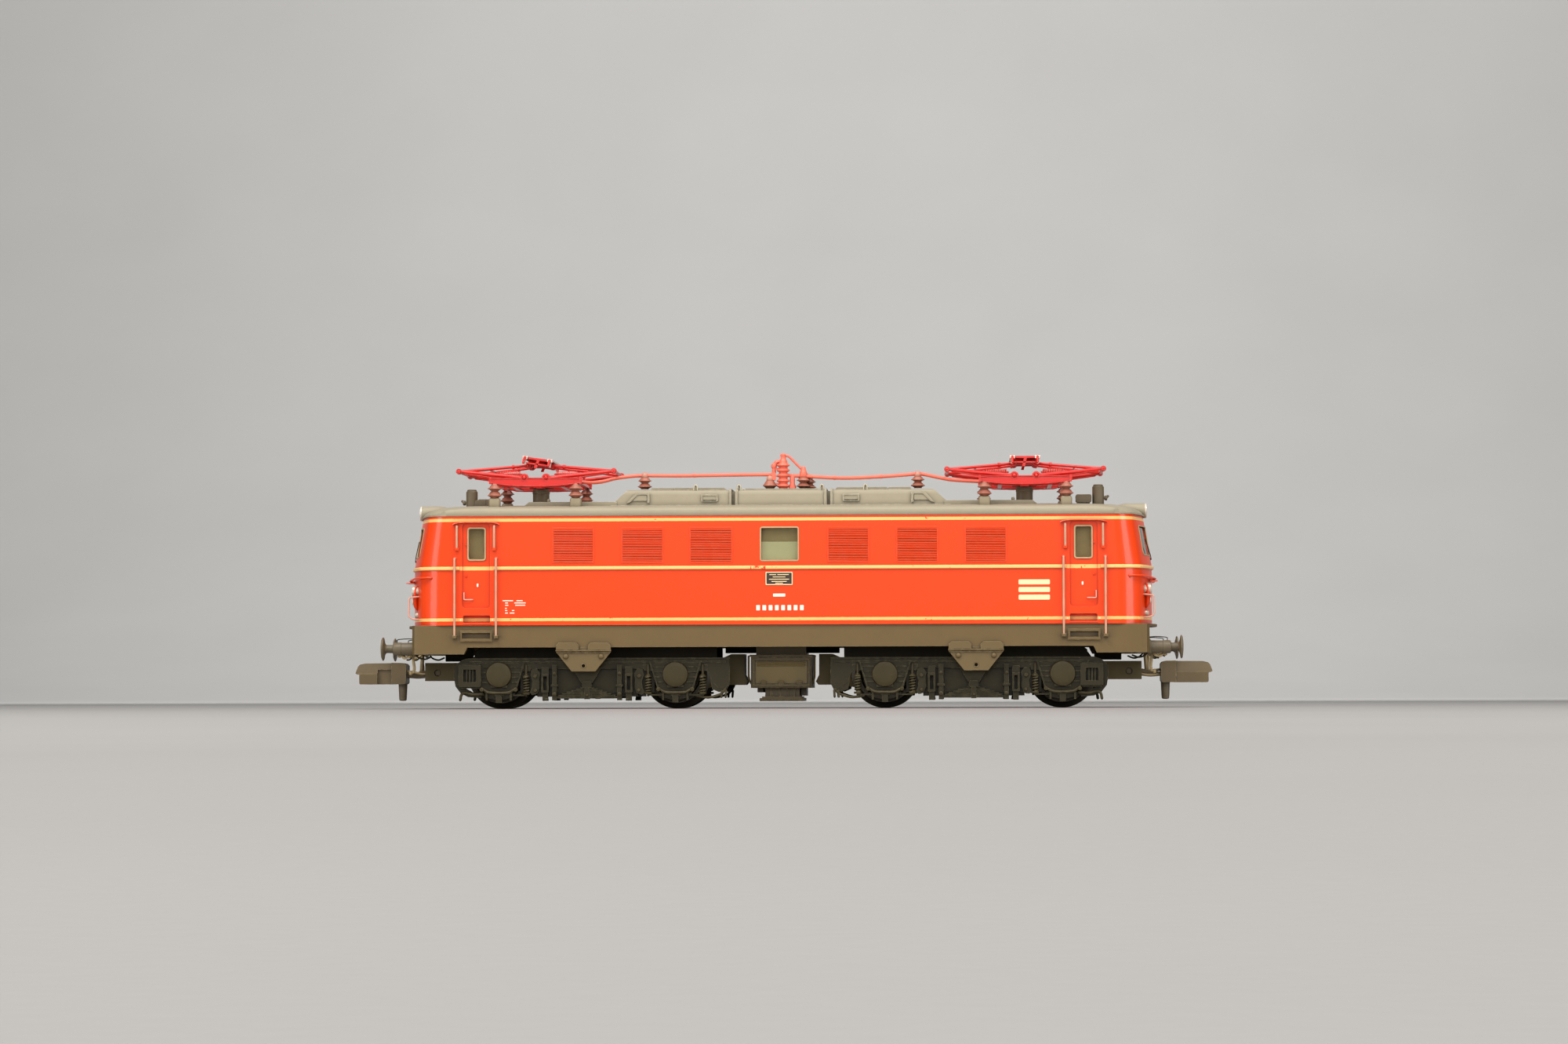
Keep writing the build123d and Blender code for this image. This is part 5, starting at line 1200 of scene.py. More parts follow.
def make_hoses():
    hoses, cables, fittings = Piece(), Piece(), Piece()
    for end in SIDES:
        for side in SIDES:
            y = side * HOSE_Y
            hoses.tube(spline([(end * x, y, z) for x, z in HOSE]), 0.17)
            hoses.knob((end * 43.72, y, 6.35), (end, 0, 0), start=0, shoulder=0.28, top=0.36,
                       radius=0.27, top_radius=0.2, seg=12)
            hoses.lathe([(0, 0), (0.24, 0), (0.27, 0.06), (0.27, 0.22), (0.16, 0.3), (0, 0.3)],
                        (end * 44.38, y, 3.72), (end, 0, 0.02), 12)
            cables.tube(spline([(end * x, side * CABLE_Y, z) for x, z in CABLE], 5),
                        [0.17 + 0.05 * math.sin(i * 0.9) for i in range(26)])
            for path, radius in ((INNER_LINK, 0.10), (OUTER_LINK, 0.11)):
                fittings.tube(spline([(end * x, side * y, z) for x, y, z in path], 5), radius,
                              seg=8)
        fittings.prism([(end * x, z + 0.35) for x, z in DRAW_HOOK], -0.28, 0.28)
    hoses.finish("brake_hoses_fine", "hose_cream", smooth=50, replaces="brake_hoses")
    cables.finish("jumper_cables", "cable_cream", smooth=60, slot="hose_cream")
    fittings.finish("beam_fittings", "bogie_olive", bevel=0.03, smooth=40, slot="buffer_grey")


# ---------------------------------------------------------------- couplers
BOGIE_X = 22.975   # bogie centre from the middle of the locomotive
HUB_X, HUB_Z = -18.6, 3.75
HEAD_SIDE = [(-28.59, 3.72), (-28.30, 4.55), (-28.05, 4.78), (-27.4, 4.92), (-24.05, 4.95),
             (-24.05, 2.38), (-28.0, 2.38), (-28.1, 2.50), (-28.1, 3.55), (-28.4, 3.60)]  # x, z
HEAD_SECTION = [(-1.6, 2.3), (-1.62, 3.62), (-1.45, 3.74), (-1.18, 4.98), (1.18, 4.98),
                (1.45, 3.74), (1.62, 3.62), (1.6, 2.3)]  # y, z
COUPLER_BLOCK = [(-24.2, 2.40), (-22.55, 2.40), (-22.42, 2.6), (-22.40, 4.6), (-22.6, 4.85),
                 (-23.0, 4.96), (-24.2, 4.99)]
SHANK = [(-22.5, 3.30), (-20.6, 3.18), (-18.6, 3.32), (-18.6, 4.05), (-20.3, 4.05),
         (-21.3, 3.72), (-22.5, 3.70)]
TRIP_PIN = [(0, 2.6), (0.50, 2.6), (0.50, 2.42), (0.56, 2.40), (0.54, 2.2), (0.47, 0.75),
            (0.44, 0.50), (0.34, 0.40), (0, 0.38)]  # radius, z


def coupler_head():
    side_view, section, pockets = Piece(), Piece(), Piece()
    side_view.prism(HEAD_SIDE, -1.7, 1.7)
    section.prism(HEAD_SECTION, -29.0, -24.0, axis="x")
    head = carve(side_view, section, operation="INTERSECT")
    # a pocket in the -y face, and two from below
    pockets.prism([(-25.9, 2.2), (-24.0, 2.2), (-24.0, 4.15), (-25.9, 4.15)], -2.0, -1.15)
    pockets.box(-25.7, -24.4, -1.0, 1.2, 2.0, 4.4)
    pockets.box(-27.8, -26.3, -0.9, 0.9, 2.0, 3.4)
    return carve(head, pockets, recalc=False)


def make_couplers():
    for end, letter in UNITS:
        body = "coupler_" + letter
        head = coupler_head()
        head.prism(COUPLER_BLOCK, -1.75, 1.75)
        head.prism(SHANK, -0.55, 0.55)
        head.lathe(barrel(0.68, 1.0, 0.70, 0.9), (HUB_X, 0, HUB_Z), Y_AXIS, 24)
        head.lathe([(0, -1.55), (0.33, -1.55), (0.33, 1.55), (0, 1.55)], (HUB_X, 0, HUB_Z),
                   Y_AXIS, 16)
        links = Piece()
        for path, radius, seg in (
                ([(-22.5, -0.75, 3.95), (-21.4, -0.75, 3.78), (-20.6, -0.75, 3.6),
                  (-19.6, -0.75, 3.66)], 0.16, 8),
                ([(-22.4, 0.75, 3.32), (-21.2, 0.75, 3.22), (-20.4, 0.75, 3.3),
                  (-19.4, 0.75, 3.5)], 0.17, 8),
                ([(-20.75, 0.0, 3.7), (-20.7, 0.0, 4.6), (-20.62, 0.0, 5.72)], 0.23, 12)):
            links.tube(round_corners(path, 0.3), radius, seg=seg)
        pin = Piece()
        pin.lathe(TRIP_PIN, (-23.0, 0, 0), Z_AXIS, 24)
        for piece in (head, links, pin):
            piece.place_on_bogie(end)
        head.finish("coupler_head_" + letter, "coupler_beige", body, bevel=0.07, segments=3,
                    replaces=body, angle=28)
        links.finish("coupler_links_" + letter, "coupler_pale", body, smooth=50,
                     slot="coupler_beige")
        pin.finish("coupler_trip_pin_" + letter, "buffer_grey", body, bevel=0.02, segments=1,
                   smooth=40, slot="coupler_beige", weld=True)


# ---------------------------------------------------------------- bogies
# Drawn about the bogie's centre with the outer end at -x. Outlines are (x, z).
AXLE_X, AXLE_Z = 10.525, 3.45
TREAD_R, FLANGE_R = 3.45, 4.05
WEB_PLATE = [(-13.5, 5.0), (15.4, 5.0), (15.4, 6.8), (14.9, 7.2), (-12.4, 7.2), (-13.5, 6.3)]
MAIN_BEAM = [(-15.95, 3.2), (-15.9, 4.3), (-15.5, 4.85), (-14.9, 5.25), (-14.2, 5.45),
             (16.6, 5.45), (16.95, 5.15), (16.95, 2.7), (16.75, 2.1), (16.3, 1.75),
             (15.6, 1.9), (14.9, 2.6), (14.55, 3.6), (13.9, 4.15), (-14.4, 4.15),
             (-14.9, 3.6), (-15.1, 2.4), (-15.5, 2.3)]
OUTER_SWEEP = [(-15.95, 3.3), (-15.0, 3.3), (-14.9, 2.1), (-13.6, 1.35), (-12.6, 1.1),
               (-12.7, 0.72), (-14.2, 0.82), (-15.1, 1.25), (-15.75, 2.1)]
INNER_END = [(14.6, 4.6), (17.0, 4.6), (17.0, 2.4), (16.6, 1.6), (15.7, 1.35), (14.9, 1.7),
             (14.7, 2.6)]
BRAKE_LEVER = [(6.0, 4.2), (6.65, 4.1), (6.75, 3.4), (6.55, 2.7), (6.6, 1.9), (6.85, 1.35),
               (6.55, 1.05), (5.9, 1.25), (5.65, 2.0), (5.75, 2.9), (5.6, 3.6)]
# Outlines measured from the axle.
GUARD = ((-3.05, 5.0), (-2.1, 1.5), (2.1, 1.5), (3.05, 5.0))
GUARD_RIBS = ((-3.12, -2.95, -1.95, -2.12), (2.95, 3.12, 2.12, 1.95))  # two upper x, two lower
TIE = ((-2.05, 1.72), (-1.7, 1.62), (-1.35, 1.42), (-0.8, 1.32), (0.8, 1.32), (1.35, 1.42),
       (1.7, 1.62), (2.05, 1.72))
LOWER_APRON = ((-2.0, 1.35), (2.0, 1.35), (1.6, 0.78), (0.6, 0.52), (-0.6, 0.52), (-1.6, 0.78))
AXLE_COVER = [(0, 7.2), (1.56, 7.2), (1.56, 7.62), (1.50, 7.70), (1.49, 8.04), (1.44, 8.14),
              (1.34, 8.18), (0.9, 8.21), (0, 8.22)]  # radius, y
SPRING_SEAT = [(0, 1.12), (0.42, 1.12), (0.44, 1.2), (0.44, 1.33), (0.38, 1.38), (0, 1.38)]
SPRING_CAP = [(0, 3.15), (0.38, 3.15), (0.42, 3.22), (0.30, 3.42), (0.2, 3.5), (0, 3.5)]
SPRING_Y = 7.62
LEAVES = ((3.6, 0.74), (3.4, 0.92), (2.95, 1.10), (2.4, 1.28), (1.85, 1.46), (1.25, 1.64),
          (0.75, 1.82))  # half length, z


class BogieSide:
    """One side frame: flat parts go into `flat`, turned and bent parts into `turned`."""

    def __init__(self, flat, turned, side):
        self.flat, self.turned, self.side = flat, turned, side

    def plate(self, points, outer, inner=7.15):
        self.flat.prism(points, self.side * inner, self.side * outer)

    def block(self, x_a, x_b, z_lo, z_hi, outer):
        self.flat.box(x_a, x_b, self.side * 7.2, self.side * outer, z_lo, z_hi)

    def bolt(self, x, z, start, shoulder, top, radius, top_radius, seg):
        self.turned.knob((x, 0, z), (0, self.side, 0), start, shoulder, top, radius,
                         top_radius, seg)

    def rod(self, points, radius, y=7.6, seg=8):
        self.turned.tube([(x, self.side * y, z) for x, z in points], radius, seg=seg)

    def beam(self):
        self.plate(MAIN_BEAM, 7.55)
        self.plate([(-14.0, 5.05), (16.5, 5.05), (16.5, 4.86), (-14.0, 4.86)], 7.68)
        self.plate([(-12.6, 5.46), (17.0, 5.46), (17.0, 5.30), (-12.6, 5.30)], 7.72)

    def axle_guard(self, axle):
        """Trapezium with ribbed edges."""
        self.plate([(axle + x, z) for x, z in GUARD], 7.62)
        for rib in GUARD_RIBS:
            self.plate([(axle + x, z) for x, z in zip(rib, (5.0, 5.0, 1.7, 1.7))], 7.85)
        for z in (4.35, 3.75, 3.15, 2.55):
            for sign in SIDES:
                self.block(axle + sign * 1.35, axle + sign * (2.25 + 0.28 * (z - 2.5)),
                           z - 0.05, z + 0.05, 7.72)

    def axle_box(self, axle):
        facing = (0, self.side, 0)
        self.turned.lathe(AXLE_COVER, (axle, 0, AXLE_Z), facing, 48)
        for degrees in (225, 270, 315):
            angle = math.radians(degrees)
            self.turned.lathe([(0, 8.0), (0.10, 8.0), (0.10, 8.14), (0, 8.17)],
                              (axle + 1.22 * math.cos(angle), 0,
                               AXLE_Z + 1.22 * math.sin(angle)), facing, 8)
        self.block(axle - 0.95, axle + 0.95, 1.95, 2.25, 7.98)
        # curved tie under the box, with its bolts
        self.rod(spline_xz([(axle + x, z) for x, z in TIE]), 0.17, y=7.98)
        for x in (-2.0, 2.0):
            self.bolt(axle + x, 1.70, 7.6, 8.18, 8.26, radius=0.26, top_radius=0.18, seg=12)
        for x in (-1.45, 1.45):
            self.block(axle + x - 0.11, axle + x + 0.11, 0.42, 1.45, 7.98)
        self.block(axle - 0.36, axle + 0.36, 0.14, 1.28, 7.95)
        self.block(axle - 0.52, axle + 0.52, 0.95, 1.20, 7.88)
        self.plate([(axle + x, z) for x, z in LOWER_APRON], 7.45)

    def coil_spring(self, axle, offset):
        x, y = axle + offset, self.side * SPRING_Y
        self.turned.coil((x, y, 1.38), (x, y, 3.15), radius=0.30, wire=0.105, turns=5.5, seg=7)
        self.turned.tube([(x, y, 1.0), (x, y, 4.6)], 0.15)
        self.turned.lathe(SPRING_SEAT, (x, y, 0), Z_AXIS, 20)
        self.turned.lathe(SPRING_CAP, (x, y, 0), Z_AXIS, 20)
        # seat strip towards the axle box, and the socket above
        arm = axle + (1.7 if offset > 0 else -1.7)
        x_lo, x_hi = min(x, arm) - 0.1, max(x, arm) + 0.1
        self.plate([(x_lo, 1.12), (x_hi, 1.12), (x_hi, 0.95), (x_lo, 0.95)], 7.8)
        self.plate([(x - 0.62, 4.6), (x - 0.5, 3.9), (x + 0.5, 3.9), (x + 0.62, 4.6)], 7.6)

    def outer_box(self):
        """Open box at the outer end, and the sweep of the frame below it."""
        self.flat.frame(rounded_rect(-15.3, -12.62, 2.05, 4.62, 0.12, 3),
                        rounded_rect(-14.72, -13.2, 2.62, 4.10, 0.08, 3),
                        self.side * 7.55, self.side * 8.26)
        self.block(-15.0, -12.9, 2.3, 4.4, 7.58)
        for x in (-14.35, -13.98, -13.6):
            self.block(x - 0.09, x + 0.09, 2.5, 4.2, 7.95)
        self.block(-15.1, -12.8, 4.62, 4.78, 7.95)
        self.block(-15.1, -12.8, 1.86, 2.05, 7.95)
        self.plate(OUTER_SWEEP, 7.42)

    def brake_gear(self, end):
        self.plate([(end * x, z) for x, z in BRAKE_LEVER], 7.72)
        self.bolt(end * 6.2, 3.3, 7.4, 7.88, 7.95, radius=0.24, top_radius=0.16, seg=14)
        self.bolt(end * 6.15, 1.6, 7.4, 7.86, 7.92, radius=0.2, top_radius=0.14, seg=14)
        # hollow link
        x_lo, x_hi = span(end, 4.55, 5.42)
        self.flat.frame(rounded_rect(x_lo, x_hi, 1.35, 3.55, 0.1, 3),
                        rounded_rect(x_lo + 0.22, x_hi - 0.22, 1.62, 3.28, 0.06, 3),
                        self.side * 7.3, self.side * 8.08)
        self.block(x_lo, x_hi, 3.5, 4.4, 7.85)
        self.block(x_lo + 0.1, x_hi - 0.1, 0.36, 1.38, 7.85)
        self.block(end * 4.62, end * 5.05, 0.36, 0.62, 8.02)
        # hanger post of the leaf spring
        self.block(end * 3.6, end * 4.15, 0.42, 4.6, 8.02)
        self.block(end * 3.45, end * 4.3, 2.05, 2.3, 8.10)
        self.bolt(end * 3.88, 1.15, 7.6, 8.14, 8.2, radius=0.24, top_radius=0.16, seg=14)
        self.bolt(end * 3.88, 3.6, 7.6, 8.12, 8.18, radius=0.2, top_radius=0.12, seg=14)

    def leaf_spring(self):
        """Separate leaves, shorter towards the top, with their buckle and hanger."""
        for k, (half, z) in enumerate(LEAVES):
            self.plate([(-half, z), (half, z), (half, z + 0.145), (-half, z + 0.145)],
                       7.98 - 0.02 * (k % 2), 7.2)
        self.block(-3.62, 3.62, 0.62, 0.75, 7.9)
        self.plate([(-0.62, 2.2), (-0.5, 1.9), (0.5, 1.9), (0.62, 2.2), (0.45, 2.62),
                    (-0.45, 2.62)], 8.12)
        self.block(-0.3, 0.3, 0.55, 2.0, 8.08)
        self.bolt(0, 1.0, 7.6, 8.16, 8.22, radius=0.17, top_radius=0.1, seg=12)
        self.plate([(-1.75, 4.3), (-0.66, 2.45), (0.66, 2.45), (1.75, 4.3)], 8.02, 7.3)

    def frame_ends(self):
        """Bent rods at both ends, lugs at the inner end, and the middle web."""
        self.rod(spline_xz([(-12.4, 1.2), (-13.6, 1.15), (-14.6, 1.35), (-15.0, 1.1),
                            (-15.15, 0.5)]), 0.17)
        self.rod(spline_xz([(13.0, 0.95), (14.4, 0.72), (15.6, 1.0), (16.1, 1.25),
                            (16.45, 1.7)]), 0.15)
        for x in (16.05, 16.55):
            self.rod([(x, 1.5), (x - 0.05, 0.78)], 0.14)
        self.plate(INNER_END, 7.5)
        self.plate([(-8.0, 4.3), (8.0, 4.3), (8.0, 1.3), (-8.0, 1.3)], 7.22, 7.08)

    def build(self):
        self.beam()
        for end in SIDES:
            axle = end * AXLE_X
            self.axle_guard(axle)
            self.axle_box(axle)
            for offset in (-3.25, 3.25):
                # there is no spring at the outermost place
                if not (end < 0 and offset < 0):
                    self.coil_spring(axle, offset)
        self.outer_box()
        for end in SIDES:
            self.brake_gear(end)
        self.leaf_spring()
        self.frame_ends()


def make_bogie_frames():
    for end, letter in UNITS:
        flat, turned, webs = Piece(), Piece(), Piece()
        for side in SIDES:
            webs.prism(WEB_PLATE, side * 6.12, side * 6.30)
            BogieSide(flat, turned, side).build()
        flat.box(-6.0, 6.0, -7.15, 7.15, 0.85, 1.40)
        for piece in (flat, turned, webs):
            piece.place_on_bogie(end)
        body = "bogie_" + letter
        # the inner web plates take the darker copy of the olive: painted shade
        webs.finish("bogie_web_plates_" + letter, "bogie_shade_olive", body, bevel=0.04,
                    slot="bogie_olive")
        flat.finish("bogie_side_frames_" + letter, "bogie_olive", body, bevel=0.045,
                    replaces="bogie_frame_" + letter, angle=28)
        turned.finish("bogie_springs_covers_" + letter, "bogie_light", body, smooth=40,
                      slot="bogie_olive")


def make_wheels():
    # radius, y: axle, inner face, flange, tread, rim, dished disc, hub
    profile = [(0, 0.27), (0.74, 0.27), (0.74, 3.72), (2.9, 3.72), (FLANGE_R - 0.12, 3.74),
               (FLANGE_R - 0.02, 3.82), (FLANGE_R, 3.90), (FLANGE_R - 0.04, 4.0),
               (TREAD_R + 0.16, 4.18), (TREAD_R + 0.04, 4.30), (TREAD_R, 4.42),
               (TREAD_R - 0.05, 5.62), (TREAD_R - 0.12, 5.70), (TREAD_R - 0.50, 5.70),
               (TREAD_R - 0.58, 5.62), (TREAD_R - 0.72, 5.22), (1.35, 5.12), (1.22, 5.2),
               (1.12, 5.62), (1.02, 5.70), (0, 5.72)]
    for unit_end, letter in UNITS:
        for end, number in ((-1, "1"), (1, "2")):
            pair = Piece()
            x = unit_end * BOGIE_X + end * AXLE_X
            for side in SIDES:
                pair.lathe(profile, (x, 0, AXLE_Z), (0, side, 0), 72)
            tag = letter + number
            pair.finish("wheel_pair_" + tag, "wheel_steel", "wheelset_" + tag, smooth=32,
                        replaces="wheels_" + tag, weld=True)


# ---------------------------------------------------------------- under the floor
# x, y and z limits of the blocks that make the box between the bogies
BOX_BLOCKS = (
    (-3.61, 3.71, -4.9, 4.9, 1.83, 5.62), (-3.75, 3.85, -5.0, 5.0, 5.55, 5.80),
    (-3.0, 3.0, -4.4, 4.4, 5.7, 6.75), (-1.94, 2.2, -3.9, 3.9, 0.62, 1.9),
    (-2.6, 2.7, -4.3, 4.3, 0.25, 0.62), (-2.3, 2.45, -4.35, 4.35, 0.42, 0.80),
    *((x - 0.1, x + 0.1, -4.0, 4.0, 0.75, 1.85) for x in (-1.2, -0.2, 0.8, 1.6)),
    (2.3, 2.94, -3.0, 3.0, 0.9, 1.9), (-2.9, -2.2, -3.2, 3.2, 1.3, 1.9))


def add_box_lid(box, lids, side):
    box.frame(rounded_rect(-3.45, 3.52, 1.98, 5.42, 0.16, 4),
              rounded_rect(-3.12, 3.2, 2.30, 5.10, 0.12, 4), side * 4.85, side * 5.12)
    lids.prism(rounded_rect(-3.05, 3.12, 2.38, 5.02, 0.1, 3), side * 4.85, side * 4.98)
    for z in (4.86, 4.52):
        lids.tube([(-2.75, side * 5.0, z), (2.82, side * 5.0, z)], 0.1, seg=8)
    for x in (-2.1, 0.05, 2.2):
        box.box(x - 0.30, x + 0.30, side * 4.9, side * 5.2, 2.2, 2.62)
        lids.tube([(x - 0.26, side * 5.16, 2.58), (x + 0.26, side * 5.16, 2.58)], 0.1, seg=8)
    for x in (-3.25, 3.32):
        for z in (2.2, 3.7, 5.2):
            lids.knob((x, 0, z), (0, side, 0), start=5.05, shoulder=5.18, top=5.21,
                      radius=0.1, top_radius=0.05, seg=8)


def make_equipment_box():
    box, lids, keel = Piece(), Piece(), Piece()
    for limits in BOX_BLOCKS:
        box.box(*limits)
    for side in SIDES:
        add_box_lid(box, lids, side)
    for x in (-3.9, 4.0):
        lids.tube(spline([(x, -4.2, 5.6), (x, -4.3, 4.2), (x * 0.99, -4.3, 3.0),
                          (x * 0.9, -4.1, 2.2)], 5), 0.12, seg=8)
    box.finish("equipment_box_fine", "box_olive", bevel=0.05, replaces="equipment_box",
               slot="bogie_olive", angle=28)
    lids.finish("equipment_box_lids", "box_lid", smooth=40, slot="bogie_olive")
    # dark strip between the bogies, and dark blocks under the cab floors: dark fillers standing
    # in for the shaded underside, painted shade
    keel.box(-6.85, 6.85, -1.0, 1.0, 6.02, 6.95)
    for end in SIDES:
        keel.box(end * 37.5, end * 40.7, -1.0, 1.0, 5.12, 9.4)
    keel.finish("underfloor_keel", "bogie_shade_olive", bevel=0.04, slot="bogie_olive")


def add_bracket(brackets, bolts, x, side):
    brackets.prism([(x - 3.25, 6.75), (x - 3.25, 6.12), (x - 1.42, 3.83), (x + 1.42, 3.83),
                    (x + 3.25, 6.12), (x + 3.25, 6.75)], side * 8.98, side * 9.36)
    brackets.box(x - 3.22, x + 3.22, side * 9.3, side * 9.5, 6.02, 6.14)
    brackets.box(x - 3.3, x + 3.3, side * 9.3, side * 9.62, 6.22, 6.40)
    # tabs with their upper corners cut off
    for start, stop in ((-3.25, -0.52), (0.52, 3.25)):
        brackets.prism([(x + start, 6.38), (x + start, 6.95), (x + start + 0.35, 7.28),
                        (x + stop - 0.35, 7.28), (x + stop, 6.95), (x + stop, 6.38)],
                       side * 9.32, side * 9.66)
    brackets.box(x - 0.5, x + 0.5, side * 9.0, side * 9.42, 6.4, 6.7)
    for offset in (-2.1, 2.1):
        bolts.lathe([(0, 9.3), (0.32, 9.3), (0.32, 9.44), (0.24, 9.56), (0.12, 9.61),
                     (0, 9.62)], (x + offset, 0, 5.62), (0, side, 0), 20)
    bolts.lathe([(0.21, 9.3), (0.27, 9.33), (0.29, 9.38), (0.27, 9.42), (0.21, 9.4)],
                (x, 0, 4.5), (0, side, 0), 20)


def make_brackets():
    brackets, bolts, holes = Piece(), Piece(), Piece()
    for x in (-23.26, 23.26):
        for side in SIDES:
            add_bracket(brackets, bolts, x, side)
            # thin near-black discs on the bracket face stand for the holes: painted shade
            holes.lathe([(0, 9.30), (0.215, 9.30), (0.215, 9.375), (0, 9.375)], (x, 0, 4.5),
                        (0, side, 0), 18)
    brackets.finish("skirt_brackets_fine", "bracket", bevel=0.05, replaces="skirt_brackets",
                    slot="skirt_olive", angle=28)
    bolts.finish("skirt_bracket_bolts", "bracket", smooth=40, slot="skirt_olive")
    holes.finish("skirt_bracket_holes", "hole_shade_black", smooth=40, slot="interior_grey")


# ---------------------------------------------------------------- roof
# Height of the roof against the distance in from its side edge and from its end edge.
SIDE_RISE = [(0, 22.88), (0.06, 23.02), (0.2, 23.17), (0.45, 23.28), (0.9, 23.38),
             (1.8, 23.48), (3.2, 23.60), (5.5, 23.76), (7.5, 23.86), (9.7, 23.92)]
END_RISE = [(0, 22.45), (0.12, 22.66), (0.4, 22.88), (0.9, 23.12), (1.7, 23.36),
            (3.0, 23.62), (4.6, 23.80), (6.5, 23.95), (9.0, 24.1)]
ROOF_OVERHANG = 0.06
ROOF_STEPS = (0.0, 0.007, 0.02, 0.045, 0.09, 0.16, 0.26, 0.40, 0.57, 0.78, 1.0)
SIDE_CELLS = 44
SPINE_HALF = 33.0  # the roof rings shrink to a line of this half length


def interpolate(table, place):
    if place <= table[0][0]:
        return table[0][1]
    for (start, low), (stop, high) in zip(table[:-1], table[1:]):
        if place <= stop:
            return low + (high - low) * (place - start) / (stop - start)
    return table[-1][1]


def smooth_min(first, second, blend):
    share = max(0.0, min(1.0, 0.5 + 0.5 * (second - first) / blend))
    return second * (1 - share) + first * share - blend * share * (1 - share)


def roof_height(x, y):
    """The lower of the side and the end rise, blended."""
    x, y = abs(x), abs(y)
    line = [(point[0] + ROOF_OVERHANG, point[1]) for point in PLAN_HIGH[1:]]
    inset = 99.0
    for (x_a, y_a), (x_b, y_b) in zip(line[:-1], line[1:]):
        run_x, run_y = x_b - x_a, y_b - y_a
        t = ((x - x_a) * run_x + (y - y_a) * run_y) / (run_x * run_x + run_y * run_y)
        t = max(0.0, min(1.0, t))
        inset = min(inset, math.hypot(x - x_a - run_x * t, y - y_a - run_y * t))
    side = interpolate(SIDE_RISE, max(0.0, BODY_SIDE + ROOF_OVERHANG - y))
    return smooth_min(side, interpolate(END_RISE, inset), blend=0.4)


def make_roof_skin():
    outline = []
    loop = plan_loop(1, ROOF_OVERHANG)
    for here, ahead in zip(loop, loop[1:] + loop[:1]):
        outline.append(here)
        # only the straight sides are long enough to need dividing
        if math.hypot(here[0] - ahead[0], here[1] - ahead[1]) > 3:
            outline += [(here[0] + (ahead[0] - here[0]) * k / SIDE_CELLS,
                         here[1] + (ahead[1] - here[1]) * k / SIDE_CELLS)
                        for k in range(1, SIDE_CELLS)]
    flare_x, flare_y = 1.0006, 1.003  # the rim stands out a little from the body
    levels = [at_height(outline, ROOF_EDGE),
              [(x * flare_x, y * flare_y, 22.30) for x, y in outline]]
    for step in ROOF_STEPS:
        level = []
        for x, y in outline:
            spine_x = max(-SPINE_HALF, min(SPINE_HALF, x))
            x, y = x + (spine_x - x) * step, y * (1 - step)
            z = roof_height(x, y)
            if step == 0.0:
                x, y = x * flare_x, y * flare_y
            level.append((x, y, z))
        levels.append(level)
    roof = Piece()
    rings = roof.skin(levels)
    roof.face(list(reversed(rings[0])))
    bmesh.ops.remove_doubles(roof.mesh, verts=roof.mesh.verts, dist=0.002)
    bmesh.ops.dissolve_degenerate(roof.mesh, edges=roof.mesh.edges, dist=0.0005)
    roof.finish("roof_skin", "roof_grey", smooth=45, replaces="roof_panel")


def make_headlamp_tubes():
    """Tubes round the head lamps, and the gutters above the windscreens."""
    profile = [(0, 39.4), (0.3, 39.6), (0.62, 40.2), (0.86, 41.0), (0.90, 41.6),
               (0.90, 43.45), (0.885, 43.66), (0.84, 43.78), (0.70, 43.80), (0.64, 43.74),
               (0.62, 43.3), (0, 43.3)]
    tubes = Piece()
    for end in SIDES:
        tubes.lathe(profile, (0, 0, HEADLAMP_Z), (end, 0, 0), 36)
        across = [-7.6 + 15.2 * k / 20 for k in range(21)]
        tubes.tube([(end * (end_x(y, ROOF_EDGE) + 0.10), y, 22.34) for y in across], 0.10,
                   seg=8)
    tubes.finish("headlamp_tubes", "roof_grey", smooth=45)


# Hood sections, (distance from the middle, z).
HOOD_SECTION = [(5.75, 23.3), (5.72, 24.9), (5.66, 25.18), (5.50, 25.38), (5.25, 25.48),
                (4.6, 25.53)]
FLANGE_SECTION = [(5.9, 23.35), (5.9, 25.0), (5.82, 25.32), (5.58, 25.56), (5.2, 25.64)]
# x limits, and the length of the slope at each end
HOODS = ((-20.25, -5.87, 1.98, 0.0), (-5.12, 5.27, 0.0, 0.0), (6.02, 20.25, 0.0, 1.98))
LIDS = ((-15.45, -12.85, 0.28, 0.06), (-12.72, -6.75, 0.06, 0.28),
        (6.75, 12.72, 0.28, 0.06), (12.85, 15.45, 0.06, 0.28))
# Large scoop, (x, z).
SCOOP_OUTER = [(18.42, 23.88), (17.30, 25.05), (17.05, 25.16), (15.78, 25.16),
               (15.64, 25.02), (15.64, 23.88)]
SCOOP_INNER = [(17.98, 23.98), (17.10, 24.86), (16.98, 24.92), (15.98, 24.92),
               (15.90, 24.84), (15.90, 23.98)]
SCOOP_BACK = [(17.98, 24.20), (17.15, 24.9), (15.95, 24.9), (15.95, 24.20)]


def hood_block(x_lo, x_hi, slope_lo, slope_hi):
    profile = [(x_lo, 23.0), (x_lo, 23.62), (x_lo + 0.04, 23.74),
               (x_lo + slope_lo * 0.93, 25.40), (x_lo + slope_lo + 0.1, 25.52),
               (x_lo + slope_lo + 0.5, 25.6), (x_hi - slope_hi - 0.5, 25.6),
               (x_hi - slope_hi - 0.1, 25.52), (x_hi - slope_hi * 0.93, 25.40),
               (x_hi - 0.04, 23.74), (x_hi, 23.62), (x_hi, 23.0)]
    along, across = Piece(), Piece()
    along.prism(symmetric(HOOD_SECTION), x_lo - 0.01, x_hi + 0.01, axis="x")
    across.prism(profile, -7, 7)
    return carve(along, across, operation="INTERSECT")


